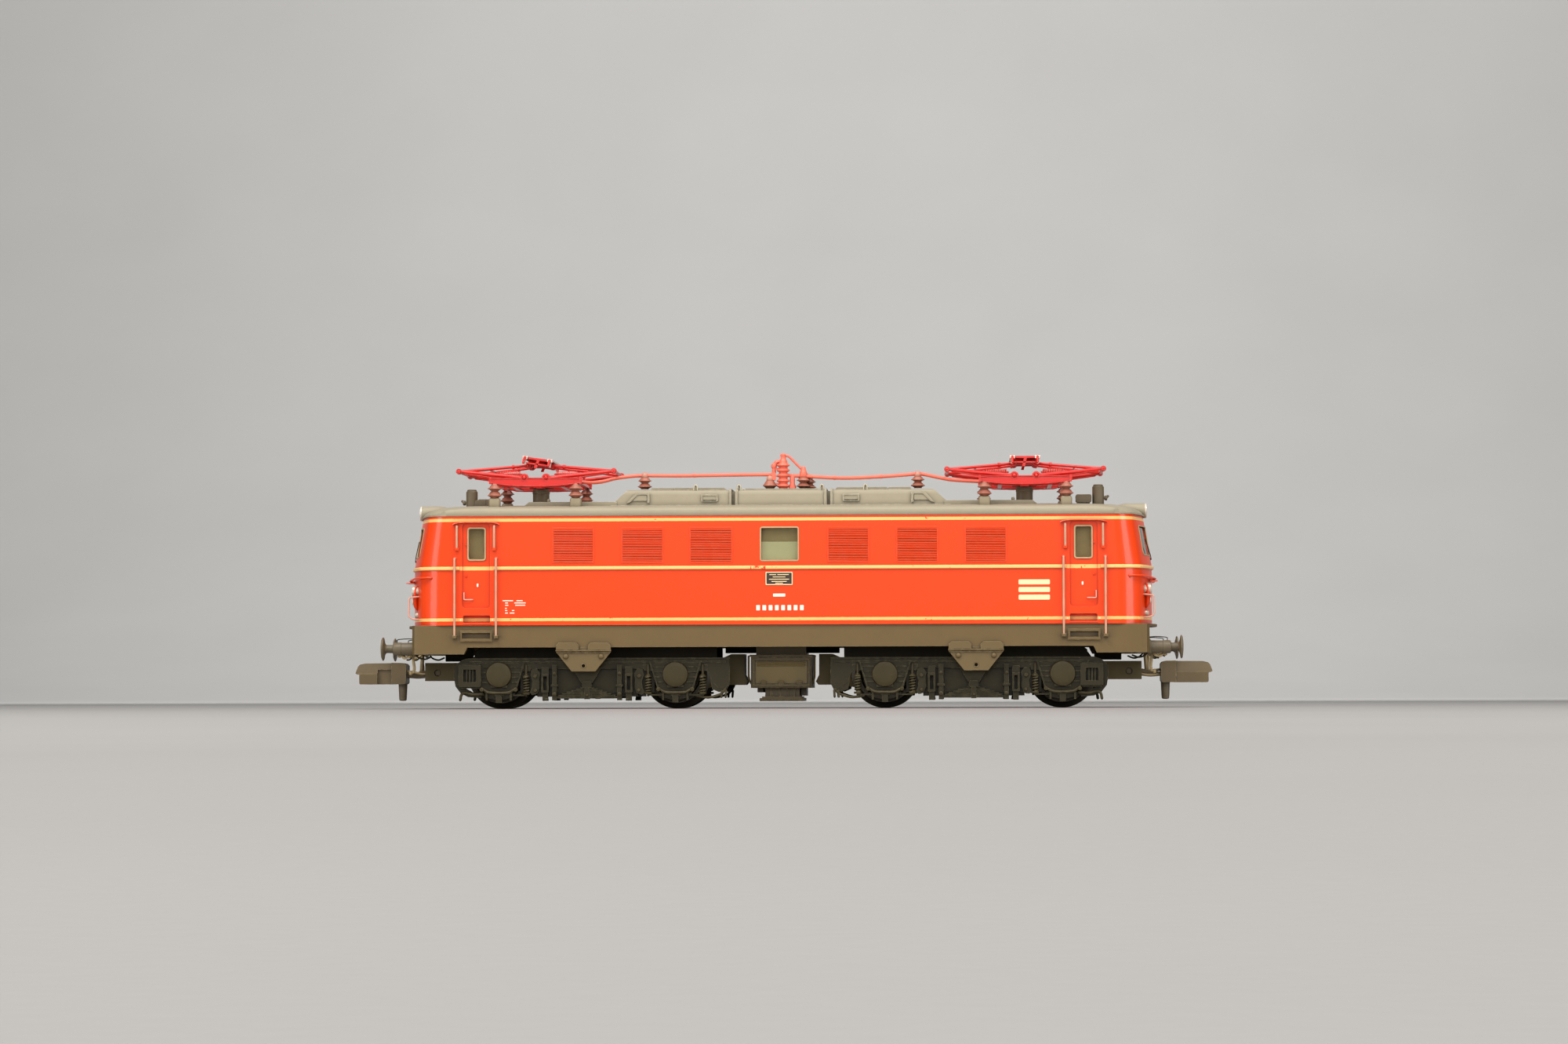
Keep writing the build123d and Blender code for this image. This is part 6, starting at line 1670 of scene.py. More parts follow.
def add_scoops(hoods, side, end):
    hoods.frame([(end * x, z) for x, z in SCOOP_OUTER], [(end * x, z) for x, z in SCOOP_INNER],
                side * 5.6, side * 6.0, closed=False)
    hoods.prism([(end * x, z) for x, z in SCOOP_BACK], side * 5.6, side * 5.9)
    # small oblong scoop
    x_lo, x_hi = span(end, 7.46, 9.44)
    hoods.frame(rounded_rect(x_lo, x_hi, 24.08, 24.93, 0.12, 3),
                rounded_rect(x_lo + 0.17, x_hi - 0.17, 24.14, 24.76, 0.08, 3),
                side * 5.6, side * 5.95)
    hoods.box(end * 7.62, end * 9.28, side * 5.6, side * 5.88, 24.28, 24.8)


def make_hoods():
    hoods = Piece()
    for hood in HOODS:
        hoods.absorb(hood_block(*hood))
    # flanges at the joints, and the necks between them
    for x_lo, x_hi in ((-6.10, -5.84), (-5.40, -5.10), (5.24, 5.54), (5.98, 6.24)):
        hoods.prism(symmetric(FLANGE_SECTION), x_lo, x_hi, axis="x")
    hoods.box(-5.9, -5.3, -5.3, 5.3, 23.4, 25.3)
    hoods.box(5.4, 6.1, -5.3, 5.3, 23.4, 25.3)
    for x_lo, x_hi, slope_lo, slope_hi in LIDS:
        hoods.prism([(x_lo - slope_lo, 25.45), (x_lo, 25.80), (x_hi, 25.80),
                     (x_hi + slope_hi, 25.45)], -4.5, 4.5)
    hoods.box(-4.2, 4.4, -4.4, 4.4, 25.4, 25.68)
    for side in SIDES:
        for end in SIDES:
            add_scoops(hoods, side, end)
        # ledge along the hood foot
        hoods.box(-20.3, 20.3, side * 5.6, side * 6.05, 23.30, 23.66)
    # walkways under the pantographs
    for end in SIDES:
        hoods.prism([(end * x, z) for x, z in ((19.6, 23.3), (19.6, 24.05), (20.0, 24.12),
                                               (30.05, 24.12), (30.95, 23.45), (30.95, 23.3))],
                    -5.9, 5.9)
    # domed bolts
    for end, side in CORNERS:
        hoods.lathe([(0, 23.5), (0.19, 23.5), (0.19, 24.2), (0.22, 24.26), (0.17, 24.42),
                     (0.08, 24.48), (0, 24.49)], (end * 27.75, side * 5.6, 0), Z_AXIS, 14)
    hoods.finish("roof_hoods", "roof_grey", bevel=0.055, angle=28)


def make_lifting_eyes():
    """Bent strips, each with a bar in its loop."""
    bend = ((-0.20, 24.75), (-0.20, 25.75), (-0.12, 26.0), (0, 26.08), (0.12, 26.0),
            (0.20, 25.75), (0.20, 24.75))  # x from the eye's middle, z
    eyes = Piece()
    for x in (-10.15, -4.95, 4.95, 10.15):
        for side in SIDES:
            y = side * 5.35
            eyes.tube(spline([(x + offset, y, z) for offset, z in bend], 4), 0.085, seg=8)
            eyes.tube([(x, y * 0.97, 24.9), (x, y * 0.97, 25.9)], 0.10, seg=8)
    eyes.finish("lifting_eyes", "roof_pale", smooth=50, slot="roof_grey")


# ---------------------------------------------------------------- roof equipment
PANTO_X = 29.2   # pantograph centre from the middle of the locomotive
LINE_Y = -3.0    # the high-voltage line


def shed(radius, z_lo, z_hi, core):
    """Profile of one insulator shed."""
    height = z_hi - z_lo
    return [(size, z_lo + height * share) for size, share in (
        (core, 0), (core * 1.08, 0.10), (radius * 0.80, 0.30), (radius * 0.97, 0.36),
        (radius, 0.43), (radius * 0.96, 0.50), (radius * 0.80, 0.60), (core * 1.35, 0.80),
        (core, 0.97))]


def add_insulator_foot(feet, x, y):
    """Rounded square block standing in the roof edge."""
    # half length, half width, z
    levels = ((0.66, 0.60, 23.2), (0.68, 0.62, 24.25), (0.64, 0.58, 24.42),
              (0.54, 0.50, 24.52), (0.3, 0.3, 24.55))
    rings = feet.skin([
        [(x + off_x, y + off_y, z) for off_x, off_y in
         rounded_rect(-half_x, half_x, -half_y, half_y, min(half_x, half_y) * 0.45, 4)]
        for half_x, half_y, z in levels])
    feet.face(list(reversed(rings[0])))
    feet.face(rings[-1])


def make_insulators():
    posts, feet, caps = Piece(), Piece(), Piece()
    profile = ([(0, 24.45), (0.46, 24.45)] + shed(0.86, 24.5, 25.32, 0.46)
               + shed(0.84, 25.34, 26.10, 0.42) + [(0.42, 26.14), (0.34, 26.24), (0, 26.24)])
    for end in SIDES:
        for offset in (-4.85, 4.85):
            for side in SIDES:
                x, y = end * PANTO_X + offset, side * 7.2
                add_insulator_foot(feet, x, y)
                posts.lathe(profile, (x, y, 0), Z_AXIS, 36)
    # insulators of the high-voltage line: x, y, z limits, number of sheds
    for x, y, z_lo, z_hi, count in ((-16.4, LINE_Y, 25.72, 27.12, 2),
                                    (16.4, LINE_Y, 25.72, 27.12, 2),
                                    (2.67, LINE_Y, 25.72, 27.10, 2),
                                    (-1.35, LINE_Y, 25.62, 26.72, 1),
                                    (3.35, -2.2, 25.62, 26.9, 2)):
        profile = [(0, z_lo), (0.5, z_lo)]
        pitch = (z_hi - z_lo) / count
        for k in range(count):
            profile += shed(0.86 - 0.05 * k, z_lo + pitch * k, z_lo + pitch * (k + 1),
                            0.44 - 0.03 * k)
        profile += [(0.36, z_hi), (0.30, z_hi + 0.02), (0, z_hi + 0.02)]
        posts.lathe(profile, (x, y, 0), Z_AXIS, 36)
        caps.lathe([(0, z_hi - 0.05), (0.36, z_hi - 0.05), (0.42, z_hi + 0.04),
                    (0.40, z_hi + 0.32), (0.30, z_hi + 0.52), (0.14, z_hi + 0.60),
                    (0, z_hi + 0.62)], (x, y, 0), Z_AXIS, 24)
    posts.finish("post_insulators", "insulator_brown", smooth=40, replaces="roof_insulators",
                 weld=True)
    feet.finish("insulator_feet", "roof_foot", smooth=45, slot="roof_grey")
    caps.finish("insulator_caps", "insulator_cap", smooth=45, slot="insulator_brown", weld=True)


def make_fittings():
    posts, valves = Piece(), Piece()
    for end in SIDES:
        posts.lathe([(0, 23.6), (1.0, 23.6), (1.0, 25.3), (1.04, 25.34), (1.04, 25.62),
                     (0.98, 25.68), (0.98, 25.86), (0.9, 25.92), (0, 25.92)],
                    (end * PANTO_X, 0, 0), Z_AXIS, 40)
        # capped post with a nozzle near the end of the roof
        x, y = end * 37.95, -end * 3.0
        posts.lathe([(0, 23.2), (0.70, 23.2), (0.70, 25.70), (0.66, 25.80), (0.58, 25.86),
                     (0.58, 25.98), (0.50, 26.04), (0, 26.05)], (x, y, 0), Z_AXIS, 32)
        posts.tube([(x, y, 24.42), (x + end * 0.9, y, 24.42),
                    (x + end * 1.15, y - 0.05, 24.62)], 0.17)
        posts.lathe([(0, -0.1), (0.26, -0.1), (0.3, 0.0), (0.3, 0.18), (0.2, 0.26), (0, 0.26)],
                    (x + end * 0.85, y, 24.42), (end, 0, 0), 14)
        # valve beside the post, and a smaller one across the roof
        x_lo, x_hi = end * 36.2 - 0.95, end * 36.2 + 0.95
        valves.prism(rounded_rect(x_lo, x_hi, 23.9, 24.85, 0.22, 4), y - 0.7, y + 0.7)
        valves.box(x_lo + 0.2, x_hi - 0.2, y - 0.5, y + 0.5, 23.3, 24.0)
        valves.prism(rounded_rect(x_lo + 0.3, x_hi - 0.3, 23.5, 24.5, 0.2, 4),
                     -y - 0.5, -y + 0.5)
    posts.finish("roof_posts", "roof_dark", bevel=0.03, smooth=40, replaces="roof_fittings",
                 slot="roof_grey")
    valves.finish("roof_valves", "roof_dark", bevel=0.04, smooth=40, slot="roof_grey")


# The two lengths of the line: x, z.
LEFT_LINE = ((-24.0, 26.62), (-22.6, 26.55), (-21.4, 26.68), (-20.2, 26.98), (-19.0, 27.18),
             (-17.4, 27.34), (-15.6, 27.36), (-12, 27.33), (-8.5, 27.36), (-5, 27.40),
             (-1.0, 27.42))
RIGHT_LINE = ((0.9, 27.30), (3.4, 27.16), (6.4, 26.99), (9.0, 26.98), (12, 27.12),
              (14.5, 27.28), (16.4, 27.42), (17.3, 27.32), (18.8, 27.0), (20.2, 26.72),
              (21.8, 26.58), (24.0, 26.45))
BREAKER_ARM = ((0.25, 29.62), (0.65, 29.66), (1.0, 29.52), (1.6, 28.9), (2.2, 28.3),
               (2.6, 27.95))
# One rib of the breaker column: radius, rise above the rib's foot.
BREAKER_RIB = ((0.52, 0), (0.60, 0.08), (0.76, 0.16), (0.79, 0.24), (0.74, 0.34),
               (0.56, 0.44), (0.50, 0.56))
BREAKER_NECK = [(0.50, 28.95), (0.44, 29.15), (0.34, 29.25), (0.30, 29.5), (0.34, 29.62),
                (0.36, 29.78), (0.26, 29.90), (0.12, 29.96), (0, 29.97)]


def on_line(points):
    return [(x, LINE_Y, z) for x, z in points]


def add_breaker(line):
    """Ribbed column with its neck and arm, and the smaller columns beside it."""
    profile = [(0, 25.66), (0.50, 25.66)]
    foot = 25.8
    for _ in range(5):
        profile += [(radius, foot + rise) for radius, rise in BREAKER_RIB]
        foot += 0.62
    line.lathe(profile + BREAKER_NECK, (0.25, LINE_Y, 0), Z_AXIS, 36)
    side_x = -0.86
    line.tube(round_corners(on_line([(side_x, 26.9), (side_x, 28.55), (-0.55, 28.95),
                                     (0.1, 29.0)]), 0.35), 0.24, seg=12)
    line.lathe([(0, 28.2), (0.30, 28.2), (0.34, 28.3), (0.34, 28.62), (0.26, 28.72),
                (0, 28.74)], (side_x, LINE_Y, 0), Z_AXIS, 16)
    line.box(-1.12, -0.62, LINE_Y - 0.24, LINE_Y + 0.24, 26.72, 27.62)
    for z in (26.3, 27.2, 28.1):
        line.box(-0.75, 0.3, LINE_Y - 0.14, LINE_Y + 0.14, z - 0.09, z + 0.09)
    line.tube(spline(on_line(BREAKER_ARM)), 0.15)
    line.lathe([(0, 27.1), (0.42, 27.1), (0.46, 27.2), (0.46, 27.6), (0.38, 27.8),
                (0.30, 28.0), (0.26, 28.25), (0.14, 28.36), (0, 28.38)],
               (2.67, LINE_Y, 0), Z_AXIS, 24)
    line.lathe([(0, 26.7), (0.3, 26.7), (0.3, 27.2), (0.22, 27.42), (0, 27.46)],
               (1.35, LINE_Y, 0), Z_AXIS, 18)
    line.lathe([(0, 25.6), (0.42, 25.6), (0.46, 25.9), (0.3, 26.3), (0.3, 26.7), (0, 26.72)],
               (1.35, LINE_Y, 0), Z_AXIS, 18)


def make_high_voltage_line():
    line = Piece()
    for stretch in (LEFT_LINE, RIGHT_LINE):
        line.tube(spline(on_line(stretch), 8), 0.215, seg=12)
    # clamps on the insulators, then joint collars
    for x, z in ((-16.4, 27.36), (16.4, 27.42), (2.67, 27.2)):
        line.lathe(barrel(0.24, 0.34, 0.30, 0.28), (x, LINE_Y, z), X_AXIS, 16)
    for x, z in ((-10.45, 27.36), (6.4, 27.0), (12.0, 27.13)):
        line.lathe([(0, -0.12), (0.26, -0.12), (0.27, 0), (0.26, 0.12), (0, 0.12)],
                   (x, LINE_Y, z), X_AXIS, 14)
    add_breaker(line)
    line.finish("high_voltage_line", "busbar_coral", smooth=45, replaces="busbar_breaker")


# ---------------------------------------------------------------- pantographs
# Drawn about the pantograph's centre.
PIVOT_X, PIVOT_Z = 1.3, 26.96    # lower arm on the base
KNEE_X, KNEE_Z = 9.296, 27.80    # lower arm to upper arm
HEAD_Z = 28.64                   # upper arm to collector head
SPRING_LINE_Y = 3.3
RAIL_TOP_EDGE = [(-5.5, 26.70), (-5.3, 26.84), (-4.2, 26.90), (-1.9, 26.93), (1.9, 26.93),
                 (4.2, 26.90), (5.3, 26.84), (5.5, 26.70)]  # x, z
RAIL_LOW_EDGE = [(5.45, 26.34), (4.3, 26.16), (2.9, 26.02), (1.4, 25.95), (-1.4, 25.95),
                 (-2.9, 26.02), (-4.3, 26.16), (-5.45, 26.34)]
HEAD_BLOCK = ((-1.72, -0.18), (-1.5, -0.34), (-1.1, -0.34), (-0.8, -0.1), (0.8, -0.1),
              (1.1, -0.34), (1.5, -0.34), (1.72, -0.18), (1.72, 0.2), (1.4, 0.36),
              (-1.4, 0.36), (-1.72, 0.2))  # x, z above HEAD_Z


def oblong(x_a, x_b, z_lo, z_hi):
    return [(x_a, z_lo), (x_b, z_lo), (x_b, z_hi), (x_a, z_hi)]


def add_base_side(base, side):
    """Side rail with folded edges, bearings, end posts, anchors and stays."""
    base.prism(RAIL_TOP_EDGE + RAIL_LOW_EDGE, side * 6.95, side * 7.42)
    base.tube([(x, side * 7.46, z - 0.03) for x, z in RAIL_TOP_EDGE], 0.07, seg=6)
    base.tube([(x, side * 7.46, z + 0.02) for x, z in RAIL_LOW_EDGE], 0.06, seg=6)
    for end in SIDES:
        base.lathe(barrel(0.46, 0.26, 0.50, 0.18, bore=0.30),
                   (end * PIVOT_X, side * 7.2, PIVOT_Z), Y_AXIS, 28)
        base.box(end * 5.28, end * 5.52, side * 6.9, side * 7.5, 26.22, 27.02)
        # spring anchors
        base.box(end * 4.9 - 0.16, end * 4.9 + 0.16, side * 3.12, side * 3.48, 26.4, 27.62)
        base.box(end * 2.2 - 0.12, end * 2.2 + 0.12, side * 3.14, side * 3.46, 26.0, 27.62)
        base.lathe(barrel(0.2, 0.3, 0.22, 0.2), (end * 4.9, side * SPRING_LINE_Y, 27.6),
                   Y_AXIS, 14)
        # stays under the frame
        base.tube(round_corners([(end * 4.6, side * 6.6, 26.5), (end * 3.9, side * 6.3, 26.05),
                                 (end * 2.2, side * 5.9, 25.98),
                                 (end * 0.6, side * 4.2, 26.02)], 0.4), 0.12, seg=8)
        base.tube([(end * 0.9, side * 6.9, 26.3), (end * 3.8, side * 3.3, 26.2)], 0.11, seg=8)
    base.box(-4.95, 4.95, side * 3.12, side * 3.48, 25.95, 26.22)


def panto_base():
    base = Piece()
    for side in SIDES:
        add_base_side(base, side)
    for end in SIDES:
        # cross members
        base.prism(oblong(end * 4.85, end * 5.35, 26.28, 26.58), -7.0, 7.0)
        base.prism(oblong(end * 2.75, end * 3.25, 25.96, 26.22), -7.0, 7.0)
        base.tube([(end * 4.2, -6.0, 26.12), (end * 4.2, 6.0, 26.12)], 0.13, seg=8)
    # lift cylinder with its rod
    base.lathe([(0, -1.5), (0.34, -1.5), (0.38, -1.4), (0.38, 1.4), (0.34, 1.5), (0.15, 1.5),
                (0.15, 2.6), (0, 2.6)], (0, 0.9, 26.35), X_AXIS, 18)
    base.tube([(-2.6, 0.9, 26.35), (-4.4, 0.9, 26.35)], 0.14, seg=8)
    base.box(-0.5, 0.5, -1.3, 1.3, 25.93, 26.2)
    return base


def panto_spring(end, side):
    spring = Piece()
    y, z = side * SPRING_LINE_Y, 27.56
    spring.coil((end * 2.10, y, z), (end * 4.66, y, z), radius=0.36, wire=0.075, turns=12,
                seg=6)
    spring.tube([(end * 2.0, y, z), (end * 4.9, y, z)], 0.11, seg=8)
    return spring


def tapered_tube(piece, start, stop, start_radius, stop_radius, seg, steps=10):
    start, stop = Vector(start), Vector(stop)
    piece.tube([start.lerp(stop, i / steps) for i in range(steps + 1)],
               [start_radius + (stop_radius - start_radius) * i / steps
                for i in range(steps + 1)], seg=seg)


def lower_arm(end):
    arm = Piece()
    x_low, x_knee = end * PIVOT_X, end * KNEE_X
    run, rise = x_knee - x_low, KNEE_Z - PIVOT_Z
    arm.tube([(x_low, -7.42, PIVOT_Z), (x_low, 7.42, PIVOT_Z)], 0.27, seg=16)
    for side in SIDES:
        tapered_tube(arm, (x_low, side * 6.02, PIVOT_Z), (x_knee, side * 5.85, KNEE_Z),
                     0.25, 0.19, seg=14)
        arm.lathe(barrel(0.31, 0.29, 0.34, 0.22, bore=0.2), (x_knee, side * 5.82, KNEE_Z),
                  Y_AXIS, 22)
        arm.lathe(barrel(0.36, 0.28, 0.38, 0.2, bore=0.2), (x_low, side * 6.05, PIVOT_Z),
                  Y_AXIS, 20)
        # web along the underside: share of the arm, y, drop
        arm.tube([(x_low + run * share, side * y, PIVOT_Z + rise * share - drop)
                  for share, y, drop in ((0.12, 6.0, 0.26), (0.55, 5.93, 0.30),
                                         (0.92, 5.87, 0.20))], 0.11, seg=8)
    return arm


def upper_arm(end):
    arm = Piece()
    x_knee, x_top = end * KNEE_X, end * PIVOT_X
    run, rise = x_top - x_knee, HEAD_Z - KNEE_Z
    arm.tube([(x_knee, -6.25, KNEE_Z), (x_knee, 6.25, KNEE_Z)], 0.19, seg=14)
    arm.tube([(x_top, -2.72, HEAD_Z), (x_top, 2.72, HEAD_Z)], 0.19, seg=14)
    for side in SIDES:
        tapered_tube(arm, (x_knee, side * 5.15, KNEE_Z), (x_top, side * 2.5, HEAD_Z),
                     0.20, 0.16, seg=12)
        arm.lathe(barrel(0.29, 0.24, 0.31, 0.18, bore=0.1), (x_knee, side * 5.18, KNEE_Z),
                  Y_AXIS, 18)
        arm.lathe(barrel(0.25, 0.10, 0.27, 0.05), (x_knee, side * 6.28, KNEE_Z), Y_AXIS, 18)
        arm.lathe(barrel(0.30, 0.18, 0.32, 0.1, bore=0.1), (x_top, side * 2.5, HEAD_Z),
                  Y_AXIS, 18)
        # collar part of the way up the arm
        share = 0.78
        arm.lathe(barrel(0.24, 0.14, 0.26, 0.08, bore=0.1),
                  (x_knee + run * share, side * (5.15 - 2.65 * share), KNEE_Z + rise * share),
                  (run, -2.65 * side, rise), 16)
    x_bar, z_bar = x_knee + run * 0.42, KNEE_Z + rise * 0.42
    arm.tube([(x_bar, -4.0, z_bar), (x_bar, 4.0, z_bar)], 0.12, seg=8)
    return arm


def collector_head(tilted):
    """The red frame and the bright strips; the tilt leaves the end blocks level."""
    head, pan, strips = Piece(), Piece(), Piece()
    for side in SIDES:
        head.prism([(x, HEAD_Z + z) for x, z in HEAD_BLOCK], side * 1.48, side * 1.82)
    for side in SIDES:
        pan.prism([(-1.35, HEAD_Z + 0.22), (1.35, HEAD_Z + 0.22), (1.45, 29.3), (-1.45, 29.3)],
                  side * 1.53, side * 1.77)
        for outline in (oblong(-1.5, 1.5, 29.18, 29.42), oblong(-1.35, 1.35, 28.62, 28.80),
                        [(-0.35, 28.2), (0.0, 28.2), (0.25, 29.2), (-0.1, 29.2)]):
            pan.prism(outline, side * 4.22, side * 4.40)
        for end in SIDES:
            strips.prism(oblong(end * 1.56 - 0.12, end * 1.56 + 0.12, 28.50, 29.3),
                         side * 4.25, side * 4.52)
        pan.tube(spline([(-1.3, side * 4.1, 29.1), (-0.6, side * 3.4, 28.9),
                         (0.5, side * 2.4, 28.86), (1.2, side * 1.7, 29.05)], 5), 0.13, seg=8)
    pan.prism(oblong(-1.5, 1.5, 29.36, 29.45), -4.3, 4.3)
    for end in SIDES:
        x = end * 1.5
        strips.prism([(x - 0.28, 29.24), (x + 0.28, 29.24), (x + 0.28, 29.44),
                      (x + 0.18, 29.52), (x - 0.18, 29.52), (x - 0.28, 29.44)], -4.62, 4.62)
        for side in SIDES:
            # horn turned down at the end
            pan.tube(spline([(x, side * y, z) for y, z in (
                (4.5, 29.36), (5.0, 29.33), (5.45, 29.20), (5.8, 28.95), (6.08, 28.62))], 5),
                0.15)
            strips.prism(oblong(x - 0.32, x + 0.32, 29.12, 29.50), side * 4.5, side * 4.95)
    if tilted:
        tilt = (Matrix.Translation((0, 0, 29.1)) @ Matrix.Rotation(math.radians(8), 4, "Y")
                @ Matrix.Translation((0, 0, -29.1)))
        pan.mesh.transform(tilt)
        strips.mesh.transform(tilt)
    head.absorb(pan)
    return head, strips


def make_pantographs():
    bases, springs = Piece(), Piece()
    for unit_end, letter in UNITS:
        place = Matrix.Translation((unit_end * PANTO_X, 0, 0))
        base = panto_base()
        base.mesh.transform(place)
        bases.absorb(base)
        for end, side in CORNERS:
            spring = panto_spring(end, side)
            spring.mesh.transform(place)
            springs.absorb(spring)
        for end, number in ((-1, "1"), (1, "2")):
            for kind, build in (("lower_arm_", lower_arm), ("upper_arm_", upper_arm)):
                body = kind + letter + number
                arm = build(end)
                arm.mesh.transform(place)
                arm.finish("panto_" + body, "panto_red", body, smooth=45, replaces=body)
        head, strips = collector_head(tilted=unit_end < 0)
        head.mesh.transform(place)
        strips.mesh.transform(place)
        body = "panto_head_" + letter
        head.finish("panto_head_frame_" + letter, "panto_red", body, bevel=0.03, smooth=40,
                    replaces=body)
        strips.finish("panto_strips_" + letter, "metal_tip", body, bevel=0.03, smooth=40,
                      slot="panto_red")
    bases.finish("panto_base_frames", "panto_red", bevel=0.025, smooth=40,
                 replaces="panto_bases")
    springs.finish("panto_coil_springs", "spring_red", smooth=60, replaces="panto_springs")


# ---------------------------------------------------------------- carried-over pieces
def polish_carried():
    """CAD pieces with no replacement get their material, a weld and a small bevel."""
    taken = set()
    for item in bpy.data.objects:
        names = item.get("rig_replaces")
        if names:
            # the names may be stored as one comma-separated string or as a list
            taken |= set(names.split(",") if isinstance(names, str) else list(names))
    for name in list(NODES):
        if name in taken:
            continue
        # the nodes may be a dictionary of objects or a list of names
        item = NODES[name] if isinstance(NODES, dict) else bpy.data.objects[name]
        data = item.data
        data.materials.clear()
        # the gearbox gets the lighter copy of the bogie olive, painted light
        is_gearbox = name.startswith("bogie_gearbox")
        data.materials.append(MAT["gearbox_lit_olive" if is_gearbox else SLOT_OF[name]])
        if "custom_normal" in data.attributes:
            data.attributes.remove(data.attributes["custom_normal"])
        for polygon in data.polygons:
            polygon.use_smooth = True
        weld = item.modifiers.new("weld", "WELD")
        weld.merge_threshold = 0.0004 * MM
        bevel = item.modifiers.new("bevel", "BEVEL")
        bevel.width = 0.03 * MM
        bevel.segments = 2
        bevel.limit_method = "ANGLE"
        bevel.angle_limit = math.radians(40)
        bevel.harden_normals = True


# ---------------------------------------------------------------- floor, light, camera
FLOOR_Z = -0.6
BEND_START, BEND_RADIUS = 500, 350   # where the floor curves up into the backdrop
FLOOR_FRONT, BACKDROP_TOP, FLOOR_HALF = -1400, 1800, 2600


def make_paper():
    material = bpy.data.materials.new("studio_paper")
    graph = Graph(material)
    output = graph.node("ShaderNodeOutputMaterial")
    shader = graph.node("ShaderNodeBsdfPrincipled")
    graph.link(shader.outputs[0], output.inputs[0])
    place = graph.place_mm()
    broad = graph.noise(place, scale=0.02, detail=3, rough=0.5)
    fibre = graph.noise(place, scale=3.0, detail=2, rough=0.5)
    colour = graph.mix(broad, (0.30, 0.296, 0.29), (0.33, 0.326, 0.32))
    graph.link(colour, shader.inputs["Base Color"])
    # roughness from 0.62 to 0.70
    graph.link(graph.math("MULTIPLY_ADD", fibre, 0.08, 0.62), shader.inputs["Roughness"])
    shader.inputs["Specular IOR Level"].default_value = 0.25
    return material


def make_stage():
    paper = make_paper()
    profile = [(FLOOR_FRONT, 0.0), (BEND_START, 0.0)]  # y, z
    for i in range(1, 25):
        angle = math.radians(90 * i / 24)
        profile.append((BEND_START + BEND_RADIUS * math.sin(angle),
                        BEND_RADIUS * (1 - math.cos(angle))))
    profile.append((BEND_START + BEND_RADIUS, BACKDROP_TOP))
    sheet = Piece()
    rows = [sheet.ring((x * MM, y * MM, (z + FLOOR_Z) * MM) for x in (-FLOOR_HALF, 0, FLOOR_HALF))
            for y, z in profile]
    for near, far in zip(rows[:-1], rows[1:]):
        for i in range(2):
            sheet.face([near[i], near[i + 1], far[i + 1], far[i]])
    data = bpy.data.meshes.new("studio_floor")
    sheet.mesh.to_mesh(data)
    sheet.mesh.free()
    for polygon in data.polygons:
        polygon.use_smooth = True
    data.materials.append(paper)
    floor = bpy.data.objects.new("studio_floor", data)
    bpy.context.scene.collection.objects.link(floor)


def area_light(name, place, aim, size, power, color):
    """Square light; place, aim and size in mm, power in watts."""
    data = bpy.data.lights.new(name, "AREA")
    data.energy = power
    data.color = color
    data.shape = "SQUARE"
    data.size = size * MM
    light = bpy.data.objects.new(name, data)
    bpy.context.scene.collection.objects.link(light)
    light.location = Vector(place) * MM
    direction = (Vector(aim) - Vector(place)).normalized()
    light.rotation_mode = "QUATERNION"
    light.rotation_quaternion = direction.to_track_quat("-Z", "Y")


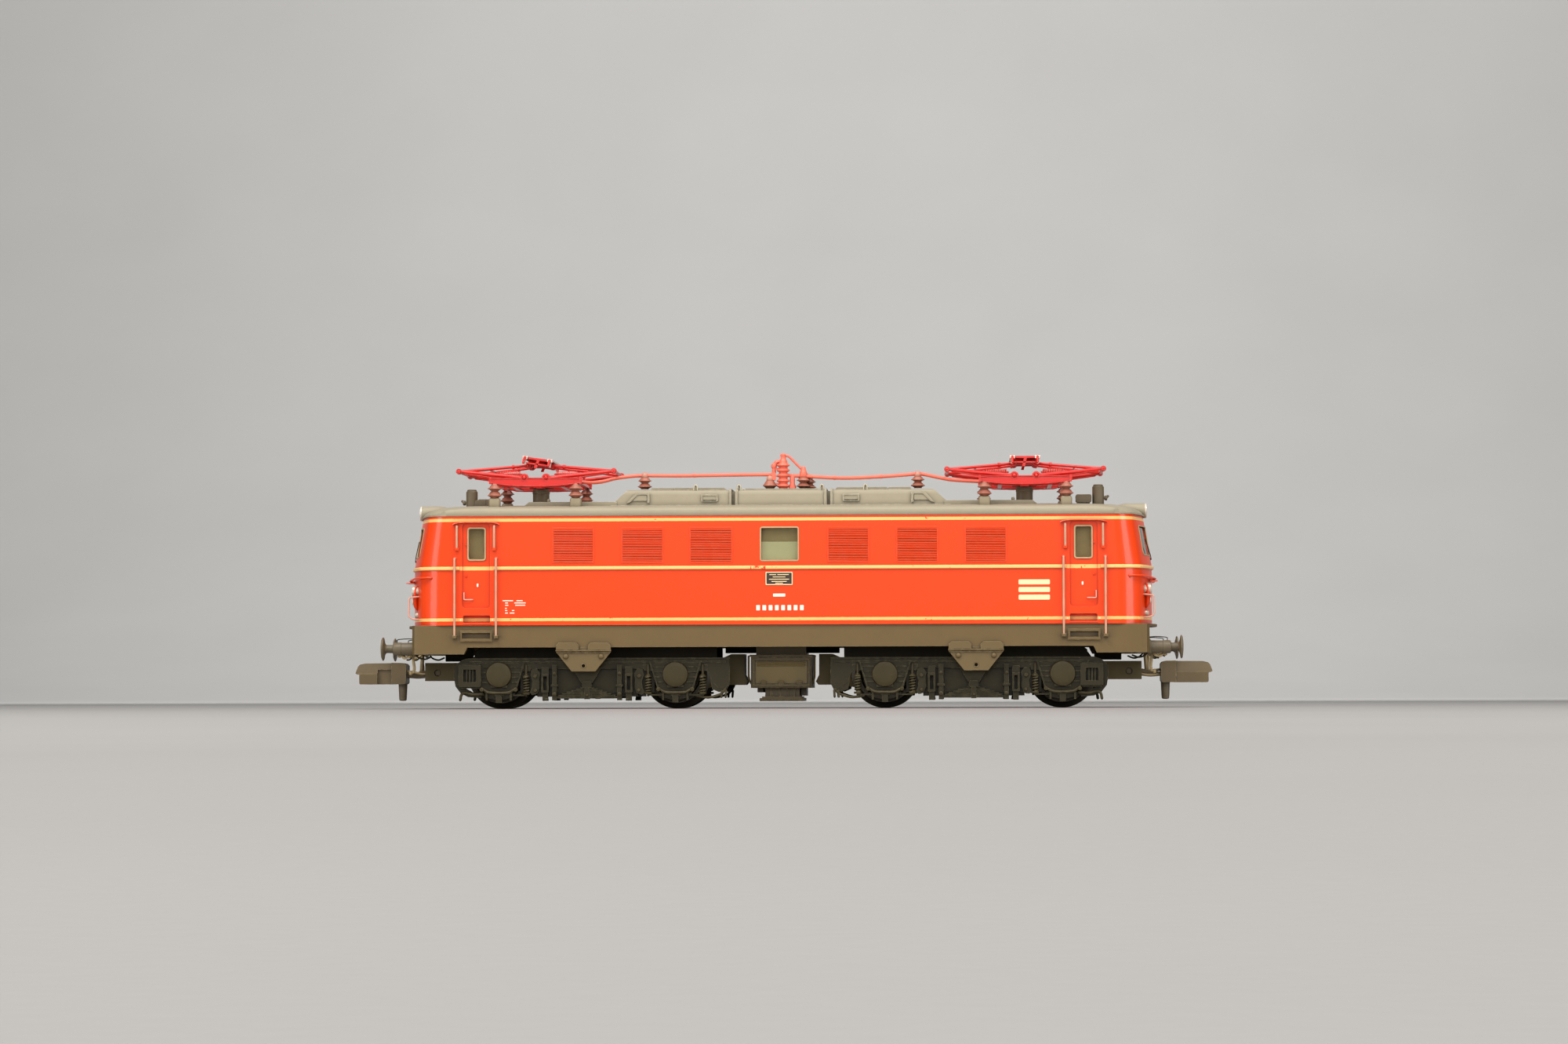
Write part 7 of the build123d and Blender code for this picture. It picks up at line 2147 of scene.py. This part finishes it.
def make_lights():
    area_light("key_top_left", place=(-150, -250, 400), aim=(-6, 0, 12), size=200, power=1.38,
               color=(1.0, 0.97, 0.93))
    area_light("key_top_right", place=(190, -240, 380), aim=(8, 0, 12), size=200, power=1.02,
               color=(1.0, 0.97, 0.94))
    area_light("front_soft", place=(10, -560, 190), aim=(0, 0, 12), size=260, power=0.88,
               color=(1.0, 0.97, 0.94))
    area_light("top_soft", place=(0, 30, 440), aim=(0, 0, 20), size=320, power=0.62,
               color=(1.0, 0.99, 0.97))
    area_light("side_left", place=(-400, -310, 75), aim=(-40, 0, 15), size=190, power=0.72,
               color=(1.0, 0.98, 0.96))
    area_light("side_right", place=(440, -290, 75), aim=(40, 0, 15), size=190, power=0.78,
               color=(1.0, 0.98, 0.96))
    area_light("backdrop_wash", place=(0, 330, 420), aim=(0, 900, 260), size=520, power=5.0,
               color=(1.0, 0.99, 0.98))


def make_world():
    world = bpy.data.worlds.new("studio_world")
    bpy.context.scene.world = world
    world.use_nodes = True
    background = world.node_tree.nodes["Background"]
    background.inputs["Color"].default_value = (1.0, 0.985, 0.96, 1)
    background.inputs["Strength"].default_value = 0.13


CAMERA_PLACE = (21.398, -512.727, 1.5)
YAW, PITCH, ROLL = 0.0413171, 0.0396, -0.00269365   # radians; yaw turns from +y to -x


def make_camera():
    data = bpy.data.cameras.new("camera")
    data.sensor_width = 36.0
    data.lens = 97.69
    data.clip_start = 0.01
    data.clip_end = 20.0
    camera = bpy.data.objects.new("camera", data)
    bpy.context.scene.collection.objects.link(camera)
    forward = Vector((-math.sin(YAW) * math.cos(PITCH), math.cos(YAW) * math.cos(PITCH),
                      math.sin(PITCH)))
    right = Vector((math.cos(YAW), math.sin(YAW), 0))
    above = right.cross(forward)
    rolled_right = right * math.cos(ROLL) + above * math.sin(ROLL)
    rolled_up = above * math.cos(ROLL) - right * math.sin(ROLL)
    rotation = Matrix((rolled_right, rolled_up, -forward)).transposed()
    camera.rotation_mode = "QUATERNION"
    camera.location = Vector(CAMERA_PLACE) * MM
    camera.rotation_quaternion = rotation.to_quaternion()
    bpy.context.scene.camera = camera


make_materials()
make_body()
make_louvres()
make_belt()
make_canopies()
make_side_windows()
make_windscreens()
make_wipers()
make_markings()
make_door_details()
make_rails()
make_lamps()
make_buffers()
make_hoses()
make_couplers()
make_bogie_frames()
make_wheels()
make_equipment_box()
make_brackets()
make_roof_skin()
make_headlamp_tubes()
make_hoods()
make_lifting_eyes()
make_insulators()
make_fittings()
make_high_voltage_line()
make_pantographs()
polish_carried()
make_stage()
make_lights()
make_world()
make_camera()

bpy.context.scene.view_settings.view_transform = "Standard"
bpy.context.scene.view_settings.look = "None"

bpy.context.view_layer.update()
